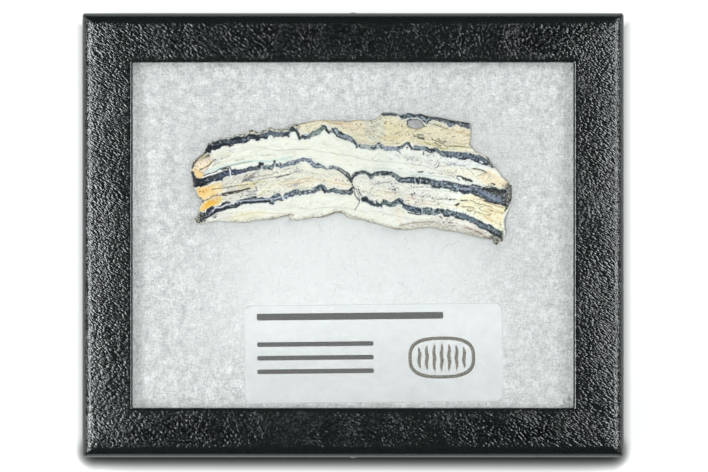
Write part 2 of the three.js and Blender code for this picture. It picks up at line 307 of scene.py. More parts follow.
# ---------------------------------------------------------------- the slice, traced in mm on its polished face
OUTLINE = [
    (-38.76, 21.09), (-39.25, 20.70), (-39.56, 20.32), (-40.26, 19.80), (-41.00, 19.36),
    (-41.34, 18.66), (-41.60, 18.02), (-41.60, 17.34), (-41.81, 16.47), (-41.75, 15.77),
    (-41.65, 15.02), (-41.52, 14.25), (-41.39, 13.21), (-41.21, 12.44), (-40.82, 11.92),
    (-40.44, 11.40), (-40.18, 10.76), (-39.92, 10.11), (-39.66, 9.72), (-39.40, 9.52),
    (-38.94, 9.03), (-38.89, 8.30), (-39.27, 7.79), (-39.53, 7.27), (-39.66, 6.75), (-39.79, 6.11),
    (-40.18, 5.64), (-40.49, 5.20), (-40.82, 4.69), (-41.08, 4.17), (-41.08, 3.65), (-40.82, 3.19),
    (-40.31, 2.93), (-39.27, 2.67), (-38.76, 2.78), (-38.37, 3.19), (-37.47, 3.32), (-35.92, 3.65),
    (-34.37, 3.78), (-31.27, 3.40), (-29.20, 3.19), (-27.13, 3.40), (-25.84, 3.78), (-23.52, 3.96),
    (-20.94, 4.07), (-19.39, 4.43), (-18.09, 4.82), (-17.06, 5.08), (-16.21, 5.15), (-16.41, 4.69),
    (-16.34, 4.04), (-15.51, 3.78), (-14.74, 3.65), (-13.70, 4.09), (-12.41, 4.17), (-11.38, 4.35),
    (-10.60, 4.56), (-8.54, 4.56), (-7.50, 4.74), (-6.47, 5.08), (-5.70, 5.33), (-4.79, 5.72),
    (-4.53, 5.98), (-3.89, 5.80), (-3.11, 5.72), (-2.34, 5.85), (-1.69, 4.95), (-1.18, 4.69),
    (-0.27, 4.38), (0.50, 4.12), (1.28, 4.04), (2.31, 4.17), (3.60, 3.65), (4.38, 3.32),
    (5.41, 3.14), (6.44, 2.96), (7.48, 2.62), (8.51, 2.29), (9.54, 2.05), (10.58, 1.69),
    (11.87, 1.54), (13.16, 1.38), (14.97, 1.46), (16.52, 1.64), (18.07, 1.98), (19.88, 2.11),
    (21.43, 1.80), (22.98, 1.46), (24.78, 1.18), (26.59, 0.94), (28.40, 0.56), (30.21, 0.04),
    (32.02, -0.37), (33.82, -0.81), (35.84, -1.25), (36.05, -1.87), (36.54, -2.60), (37.18, -3.32),
    (37.70, -2.80), (38.01, -2.03), (38.58, -2.29), (39.12, -1.90), (39.25, -0.48), (39.38, 0.43),
    (39.30, 1.33), (39.04, 2.36), (38.89, 3.40), (39.04, 4.43), (39.51, 5.20), (39.77, 5.90),
    (40.07, 6.50), (40.59, 7.01), (40.54, 7.58), (41.06, 8.43), (41.37, 9.60), (41.26, 10.37),
    (41.42, 11.92), (41.42, 12.90), (40.69, 13.42), (40.15, 13.83), (39.12, 14.37), (38.29, 15.07),
    (38.03, 15.79), (37.44, 16.49), (36.46, 17.60), (35.68, 18.38), (35.17, 19.15), (34.99, 20.01),
    (33.95, 20.63), (32.79, 21.14), (31.55, 21.53), (31.11, 22.25), (30.10, 23.03), (30.16, 24.06),
    (30.31, 25.09), (30.36, 26.39), (30.26, 27.68), (30.13, 28.71), (30.08, 28.76), (27.55, 29.41),
    (25.56, 29.67), (23.44, 30.08), (21.79, 30.41), (20.13, 30.57), (18.82, 30.96), (17.50, 31.34),
    (16.18, 31.19), (14.19, 31.50), (12.90, 31.16), (12.28, 30.96), (11.35, 31.42), (9.80, 31.73),
    (7.99, 31.73), (7.27, 31.55), (6.96, 31.03), (6.44, 30.52), (5.67, 29.92), (4.38, 29.67),
    (3.09, 29.48), (1.02, 29.74), (-0.09, 29.64), (-0.58, 29.25), (-2.08, 29.43), (-4.56, 29.54),
    (-7.04, 29.74), (-9.03, 29.64), (-10.03, 29.48), (-11.02, 29.36), (-12.02, 28.94),
    (-13.01, 28.89), (-14.01, 28.66), (-14.99, 28.55), (-15.30, 28.71), (-16.18, 28.45),
    (-16.49, 28.06), (-16.78, 27.55), (-17.19, 27.21), (-17.58, 27.37), (-18.48, 27.42),
    (-19.46, 27.32), (-20.06, 27.21), (-20.86, 27.75), (-21.76, 27.70), (-22.36, 27.55),
    (-22.74, 27.06), (-23.23, 27.06), (-23.83, 26.67), (-24.53, 26.46), (-25.12, 26.77),
    (-25.53, 27.06), (-26.23, 27.21), (-26.72, 26.98), (-27.21, 26.36), (-27.73, 26.08),
    (-28.81, 26.02), (-30.10, 25.97), (-30.80, 25.77), (-31.22, 25.27), (-31.91, 25.27),
    (-32.89, 25.22), (-33.39, 24.94), (-33.90, 25.17), (-34.50, 24.89), (-35.09, 24.29),
    (-35.66, 24.50), (-36.28, 24.19), (-37.08, 23.98), (-37.78, 23.54), (-37.85, 22.59),
    (-38.16, 22.10)
]
HOLE = [
    (14.04, 29.10), (14.25, 29.59), (15.23, 29.74), (16.78, 29.79), (17.42, 29.36), (17.94, 28.71),
    (18.33, 28.12), (17.29, 27.62), (16.21, 27.34), (14.97, 27.62), (14.14, 28.12)
]
E0U = [
    (7.12, 31.40), (7.99, 31.65), (9.80, 31.65), (11.35, 31.34), (12.28, 30.88), (12.90, 31.09),
    (14.19, 31.42), (16.18, 31.11), (17.50, 31.27), (18.82, 30.88), (20.13, 30.49), (21.79, 30.34),
    (23.44, 30.00), (25.56, 29.59), (27.55, 29.33), (30.10, 28.71)
]
E0L = [
    (7.12, 30.98), (8.51, 31.03), (9.80, 30.96), (11.09, 30.91), (11.87, 30.72), (12.39, 29.92),
    (13.03, 29.69), (13.42, 30.00), (14.04, 30.41), (15.23, 30.26), (16.85, 30.23), (17.50, 29.74),
    (18.48, 28.92), (19.08, 28.61), (19.64, 29.41), (20.96, 29.74), (22.61, 29.25), (24.01, 28.81),
    (24.40, 28.30), (24.76, 27.78), (25.58, 28.09), (26.20, 28.61), (27.11, 28.50), (27.75, 28.04),
    (28.53, 27.78), (29.30, 27.57), (30.16, 27.26)
]
E1U = [
    (-38.63, 21.22), (-38.11, 21.86), (-37.72, 22.77), (-37.47, 23.41), (-36.69, 23.80),
    (-35.66, 24.19), (-34.62, 24.58), (-33.59, 24.84), (-32.30, 24.84), (-31.27, 24.96),
    (-30.23, 25.48), (-29.20, 25.48), (-28.01, 25.48), (-27.21, 25.77), (-26.72, 26.02),
    (-25.92, 26.26), (-25.22, 25.97), (-24.42, 25.87), (-23.65, 26.08), (-22.95, 26.36),
    (-22.36, 26.72), (-21.45, 26.95), (-20.75, 27.06), (-20.26, 26.67), (-19.67, 26.57),
    (-18.87, 26.77), (-18.17, 26.57), (-17.27, 26.57), (-16.78, 26.85), (-16.60, 27.37),
    (-16.18, 27.96), (-15.48, 28.14), (-14.89, 27.68), (-14.30, 27.06), (-13.91, 26.64),
    (-13.70, 26.08), (-13.50, 25.66), (-13.11, 26.08), (-12.62, 26.08), (-12.10, 25.87),
    (-11.82, 26.26), (-11.43, 25.97), (-11.02, 26.46), (-10.32, 26.95), (-9.62, 27.06),
    (-8.85, 27.47), (-8.23, 27.96), (-7.63, 28.35), (-7.35, 28.50), (-6.94, 28.24), (-6.65, 27.75),
    (-6.44, 27.16), (-6.06, 26.77), (-5.75, 27.26), (-5.36, 27.55), (-5.05, 27.86), (-4.46, 27.86),
    (-3.96, 27.55), (-3.68, 27.06), (-3.37, 26.67), (-3.06, 26.95), (-2.78, 26.57), (-2.47, 26.18),
    (-1.69, 26.18), (-1.10, 25.77), (-0.30, 25.38), (0.40, 24.68), (0.81, 24.19), (1.20, 23.60),
    (1.69, 23.41), (2.49, 23.44), (3.47, 23.49), (4.17, 23.18), (5.36, 23.08), (5.98, 23.49),
    (6.57, 23.93), (7.06, 23.62), (7.66, 23.29), (8.15, 22.95), (9.16, 22.85), (11.15, 22.85),
    (11.82, 22.90), (12.33, 23.08), (12.93, 23.49), (13.52, 23.83), (14.12, 24.16), (14.53, 23.85),
    (14.79, 23.29), (15.28, 22.72), (15.79, 23.08), (16.78, 23.10), (18.46, 22.90), (19.10, 22.69),
    (19.88, 22.25), (20.52, 22.38), (21.43, 22.67), (21.99, 22.36), (22.30, 21.84), (23.49, 21.63),
    (25.04, 21.74), (26.33, 21.43), (27.62, 21.43), (29.17, 21.27), (31.11, 21.01), (32.27, 20.81),
    (33.20, 20.44), (34.08, 19.93), (34.99, 19.15), (35.63, 18.51), (36.30, 17.60)
]
E1L = [
    (-38.65, 20.99), (-37.85, 21.14), (-37.16, 21.40), (-36.67, 21.79), (-36.28, 22.05),
    (-35.68, 21.89), (-35.27, 22.05), (-34.68, 22.10), (-34.29, 22.38), (-33.98, 22.79),
    (-33.69, 23.03), (-33.10, 23.03), (-32.69, 23.29), (-32.20, 22.90), (-31.71, 22.64),
    (-31.40, 22.90), (-31.06, 23.08), (-30.70, 23.39), (-30.21, 23.60), (-29.72, 23.67),
    (-29.23, 23.54), (-28.61, 23.62), (-27.70, 23.67), (-27.32, 23.98), (-26.82, 24.27),
    (-26.51, 24.58), (-26.02, 24.73), (-25.33, 24.68), (-25.02, 24.27), (-24.42, 24.19),
    (-24.14, 24.47), (-23.93, 24.84), (-23.05, 25.07), (-22.64, 24.68), (-22.15, 24.63),
    (-22.05, 25.07), (-21.76, 25.56), (-21.25, 25.77), (-20.86, 25.56), (-20.55, 25.17),
    (-19.95, 25.38), (-19.26, 25.17), (-18.77, 25.48), (-18.27, 25.17), (-17.78, 25.48),
    (-16.98, 25.48), (-16.60, 25.17), (-16.29, 25.38), (-16.29, 26.08), (-15.98, 26.57),
    (-15.38, 26.72), (-14.99, 26.70), (-14.61, 26.08), (-14.30, 25.27), (-14.14, 24.40),
    (-13.70, 24.89), (-13.01, 24.78), (-12.20, 24.73), (-11.43, 24.89), (-11.02, 24.84),
    (-10.81, 25.27), (-10.03, 25.56), (-9.34, 25.66), (-8.64, 25.97), (-8.15, 26.57),
    (-7.63, 27.16), (-7.25, 27.16), (-6.94, 26.67), (-6.65, 26.18), (-6.26, 26.13), (-5.75, 26.20),
    (-5.26, 26.46), (-4.87, 26.26), (-4.56, 25.77), (-4.27, 25.38), (-3.58, 25.17), (-2.88, 24.89),
    (-1.98, 24.68), (-1.10, 24.47), (-0.40, 24.09), (0.19, 23.60), (0.63, 23.03), (0.84, 22.30),
    (1.41, 22.77), (1.92, 22.51), (2.57, 22.25), (3.34, 22.25), (4.12, 21.99), (4.64, 21.86),
    (5.41, 21.92), (6.19, 22.12), (6.70, 22.38), (7.22, 22.17), (7.61, 22.25), (7.99, 21.86),
    (9.03, 21.79), (11.09, 21.74), (11.61, 21.66), (12.13, 21.94), (12.64, 22.25), (13.16, 22.77),
    (13.81, 23.39), (14.30, 22.87), (14.71, 22.25), (15.28, 21.92), (16.78, 21.94), (18.20, 21.84),
    (19.10, 21.43), (20.01, 20.99), (20.83, 21.32), (21.43, 21.40), (22.05, 21.01), (22.72, 20.39),
    (23.36, 20.13), (24.78, 20.13), (25.17, 19.77), (25.82, 20.03), (26.98, 19.82), (27.62, 19.41),
    (28.79, 19.41), (29.48, 19.77), (30.26, 19.62), (30.72, 19.20), (31.50, 19.00), (32.27, 18.74),
    (33.05, 18.17), (33.82, 18.22), (34.34, 17.91), (35.12, 17.65), (36.25, 17.34)
]
E2U = [
    (-41.81, 16.47), (-41.75, 15.77), (-41.34, 15.18), (-40.75, 14.71), (-39.92, 14.48),
    (-39.22, 14.61), (-38.63, 14.71), (-37.93, 14.94), (-37.34, 15.30), (-36.77, 15.48),
    (-36.05, 15.59), (-35.12, 15.82), (-34.42, 16.18), (-33.72, 16.60), (-32.89, 16.78),
    (-32.30, 17.01), (-31.71, 17.24), (-31.14, 17.01), (-30.31, 17.01), (-29.12, 17.01),
    (-28.43, 17.09), (-27.65, 17.34), (-26.88, 17.60), (-26.10, 17.81), (-25.07, 17.86),
    (-24.29, 18.12), (-24.03, 18.51), (-23.52, 18.12), (-22.74, 18.07), (-21.97, 18.12),
    (-20.94, 18.04), (-20.55, 18.64), (-20.37, 18.89), (-20.16, 18.51), (-19.64, 18.56),
    (-19.13, 18.38), (-18.87, 18.89), (-18.61, 18.38), (-17.84, 18.46), (-17.32, 18.77),
    (-16.54, 19.10), (-15.77, 19.28), (-14.74, 19.46), (-13.70, 19.85), (-12.67, 19.98),
    (-11.64, 19.93), (-10.86, 19.75), (-10.60, 19.54), (-10.22, 18.89), (-9.83, 18.64),
    (-9.05, 18.64), (-8.28, 18.43), (-7.50, 17.91), (-6.86, 17.34), (-6.47, 17.19), (-6.08, 17.96),
    (-5.82, 17.86), (-5.18, 18.12), (-4.66, 17.73), (-3.89, 17.78), (-3.37, 17.47), (-2.60, 16.96),
    (-1.82, 16.44), (-1.18, 16.18), (-0.92, 15.54), (-0.66, 14.76), (-0.40, 15.54), (0.12, 16.05),
    (0.76, 16.44), (1.28, 16.57), (2.05, 16.65), (2.83, 16.70), (3.60, 16.52), (4.12, 16.18),
    (4.51, 15.92), (4.89, 16.00), (5.41, 16.36), (6.19, 16.52), (7.22, 16.62), (9.03, 16.57),
    (9.80, 16.44), (10.58, 16.18), (11.22, 15.79), (11.74, 15.41), (12.13, 15.20), (12.64, 15.02),
    (13.68, 14.94), (14.71, 15.02), (15.48, 15.12), (15.85, 15.30), (16.26, 14.97), (17.29, 15.07),
    (18.33, 15.02), (19.36, 14.76), (20.13, 14.50), (20.91, 14.50), (21.68, 14.12), (22.46, 14.12),
    (22.98, 14.04), (23.75, 14.14), (24.53, 13.99), (25.56, 13.73), (26.59, 13.47), (27.62, 13.21),
    (28.66, 13.06), (29.95, 12.95), (30.98, 12.95), (32.02, 13.01), (32.79, 12.80), (33.57, 12.39),
    (34.34, 12.08), (35.12, 12.44), (36.41, 12.44), (37.70, 11.87), (38.73, 11.77), (39.64, 12.02)
]
E2L = [
    (-41.21, 12.49), (-40.75, 12.26), (-40.05, 12.49), (-39.22, 12.49), (-38.29, 12.72),
    (-37.47, 12.95), (-36.87, 13.42), (-36.30, 13.78), (-35.35, 13.96), (-34.42, 14.01),
    (-33.59, 14.12), (-33.54, 14.61), (-32.89, 15.02), (-32.07, 15.25), (-31.37, 15.36),
    (-30.31, 15.41), (-29.48, 15.77), (-28.55, 15.90), (-26.88, 16.44), (-25.84, 16.70),
    (-24.55, 16.62), (-24.03, 16.83), (-23.65, 17.09), (-23.26, 17.09), (-22.74, 16.91),
    (-21.97, 17.14), (-21.45, 16.83), (-20.81, 16.83), (-20.55, 17.34), (-20.29, 17.86),
    (-19.90, 17.60), (-19.13, 17.60), (-18.61, 17.14), (-18.09, 17.47), (-17.32, 17.60),
    (-16.54, 17.86), (-15.77, 17.99), (-14.74, 18.25), (-14.22, 18.56), (-13.44, 18.89),
    (-12.41, 19.02), (-11.89, 18.89), (-11.38, 18.51), (-10.99, 18.12), (-10.60, 17.60),
    (-9.83, 17.22), (-9.05, 17.14), (-8.28, 17.27), (-7.50, 17.09), (-6.73, 16.70), (-5.95, 17.11),
    (-5.18, 17.09), (-4.40, 16.83), (-3.63, 16.70), (-2.98, 16.31), (-2.34, 15.79), (-1.82, 14.89),
    (-1.43, 14.76), (-0.92, 13.99), (-0.48, 13.73), (-0.53, 14.30), (-0.01, 14.37), (0.50, 15.02),
    (1.02, 15.41), (1.54, 15.59), (2.31, 15.72), (3.09, 15.74), (3.60, 15.54), (3.99, 15.02),
    (4.25, 14.50), (4.64, 14.37), (5.15, 14.63), (5.67, 15.15), (6.44, 15.28), (7.22, 15.41),
    (8.51, 15.28), (9.03, 15.41), (9.54, 15.15), (10.32, 14.89), (10.84, 14.63), (11.22, 14.12),
    (11.61, 13.60), (12.64, 13.47), (14.71, 13.42), (15.74, 13.26), (16.88, 13.16), (17.55, 13.26),
    (18.58, 13.06), (19.62, 13.06), (20.13, 12.80), (20.91, 12.44), (21.68, 12.23), (22.72, 12.18),
    (23.75, 12.02), (24.78, 11.77), (25.56, 11.35), (26.59, 11.15), (27.37, 11.27), (27.88, 10.89),
    (28.66, 10.47), (29.43, 10.58), (30.21, 10.73), (31.24, 10.37), (32.02, 9.96), (32.79, 9.70),
    (33.57, 9.34), (34.34, 8.92), (35.37, 8.51), (36.41, 8.25), (37.18, 7.99), (37.96, 7.79),
    (38.73, 7.53), (39.64, 7.27)
]
E3U = [
    (-39.64, 5.85), (-38.76, 5.80), (-38.06, 5.80), (-37.83, 6.26), (-37.60, 6.73), (-37.00, 7.32),
    (-36.30, 7.43), (-35.58, 7.37), (-34.88, 7.50), (-34.29, 7.66), (-33.82, 8.15), (-33.23, 8.56),
    (-32.53, 8.67), (-32.07, 8.30), (-31.47, 8.02), (-30.65, 8.07), (-30.18, 8.61), (-29.48, 9.03),
    (-28.55, 9.21), (-27.65, 9.54), (-26.62, 9.65), (-25.84, 9.85), (-25.07, 9.98), (-24.55, 9.72),
    (-23.52, 9.80), (-22.74, 9.65), (-21.71, 9.60), (-21.19, 9.85), (-20.81, 10.16),
    (-20.42, 10.11), (-20.03, 10.50), (-19.64, 10.84), (-19.00, 10.89), (-18.74, 10.50),
    (-18.61, 10.11), (-17.96, 10.29), (-17.58, 10.63), (-17.06, 11.02), (-16.29, 11.35),
    (-15.51, 11.79), (-14.74, 11.92), (-14.09, 11.87), (-13.70, 11.46), (-13.19, 11.40),
    (-12.67, 11.66), (-11.64, 11.66), (-10.86, 11.79), (-10.34, 12.18), (-9.57, 12.57),
    (-8.92, 12.95), (-8.28, 13.21), (-7.76, 13.16), (-7.25, 12.75), (-6.86, 12.18), (-6.60, 11.84),
    (-5.95, 11.92), (-5.18, 12.18), (-4.53, 12.23), (-4.15, 11.92), (-3.50, 11.79), (-2.85, 11.66),
    (-1.82, 11.66), (-1.05, 11.58), (-0.66, 12.05), (-0.27, 12.44), (-0.01, 11.66), (0.37, 11.53)
]
E3L = [
    (-39.53, 3.32), (-39.12, 3.86), (-38.53, 4.09), (-37.70, 4.27), (-37.00, 4.74), (-36.30, 5.20),
    (-35.81, 5.62), (-35.12, 5.80), (-34.19, 6.03), (-33.23, 6.26), (-32.53, 6.63), (-31.47, 6.86),
    (-30.31, 7.01), (-29.59, 7.19), (-29.12, 7.74), (-28.43, 7.92), (-27.39, 8.10), (-26.10, 8.05),
    (-25.07, 8.23), (-24.03, 8.56), (-23.00, 8.49), (-21.97, 8.43), (-21.19, 8.43), (-20.94, 7.97),
    (-20.42, 8.10), (-20.03, 8.82), (-19.39, 9.16), (-18.48, 9.34), (-18.09, 8.74), (-17.71, 9.29),
    (-17.06, 9.34), (-16.54, 9.72), (-16.03, 9.85), (-15.51, 9.98), (-14.99, 10.37),
    (-14.22, 10.37), (-13.70, 10.11), (-13.19, 10.37), (-12.15, 10.50), (-11.38, 10.63),
    (-10.60, 10.71), (-9.83, 10.89), (-9.31, 11.27), (-8.80, 11.27), (-8.54, 11.53),
    (-8.02, 11.53), (-7.63, 11.15), (-7.37, 10.63), (-6.99, 10.99), (-6.47, 10.81), (-5.70, 10.89),
    (-4.92, 11.02), (-4.40, 10.76), (-3.63, 10.68), (-3.11, 10.50), (-2.34, 10.42), (-1.56, 10.63),
    (-1.18, 10.29), (-0.53, 10.42), (-0.01, 10.89), (0.37, 11.15)
]
E3BU = [
    (2.05, 9.21), (2.18, 9.60), (2.57, 9.98), (3.22, 10.11), (3.73, 9.85), (3.99, 9.34),
    (4.12, 8.95), (4.64, 9.08), (5.15, 8.95), (5.41, 8.30), (5.80, 7.92), (5.93, 8.67),
    (6.24, 8.67), (6.34, 8.30), (6.70, 8.30), (6.96, 8.05), (7.35, 8.56), (7.61, 9.08),
    (7.99, 9.26), (8.51, 9.08), (9.03, 8.69), (9.54, 8.56), (10.19, 8.69), (10.58, 9.03),
    (11.09, 9.29), (11.61, 9.52), (12.13, 9.60), (12.64, 9.39), (12.90, 8.95), (13.16, 8.43),
    (13.42, 7.92), (14.71, 7.68), (15.82, 7.43), (16.78, 7.22), (17.68, 6.86), (18.33, 7.12),
    (19.10, 7.22), (20.13, 7.14), (20.65, 6.70), (21.06, 6.60), (21.94, 6.88), (22.98, 6.96),
    (23.75, 6.50), (24.27, 6.75), (25.04, 6.55), (25.82, 6.19), (26.33, 6.08), (27.11, 5.98),
    (27.88, 5.85), (28.66, 5.51), (29.43, 5.26), (30.47, 4.87), (31.50, 4.38), (32.27, 4.07),
    (32.79, 3.81), (33.31, 3.40), (34.34, 2.88), (35.12, 2.67), (35.76, 2.42), (36.67, 1.85),
    (37.70, 1.33), (38.47, 0.97)
]
E3BL = [
    (2.18, 8.82), (2.57, 8.61), (3.34, 8.56), (3.86, 8.18), (4.38, 7.79), (5.15, 7.66),
    (5.67, 7.40), (6.44, 7.19), (6.96, 7.40), (7.35, 7.06), (7.48, 7.66), (7.99, 7.84),
    (8.51, 7.66), (9.03, 7.35), (9.80, 7.27), (10.58, 7.32), (11.09, 7.66), (11.61, 7.84),
    (12.13, 7.92), (12.64, 7.79), (12.90, 7.27), (13.42, 6.75), (14.19, 6.24), (15.82, 5.72),
    (17.03, 5.46), (18.07, 5.31), (19.36, 5.20), (20.65, 5.20), (21.17, 5.10), (21.94, 5.31),
    (22.72, 5.57), (23.23, 5.31), (23.75, 4.79), (24.53, 4.64), (25.04, 5.05), (25.56, 5.05),
    (26.33, 4.53), (27.11, 4.12), (28.14, 3.99), (29.17, 3.73), (30.21, 3.34), (31.24, 2.93),
    (32.02, 2.31), (32.53, 1.80), (33.31, 1.54), (34.34, 1.28), (34.86, 1.02), (35.63, 0.50),
    (36.41, -0.01), (37.18, -0.48), (38.22, -0.89)
]
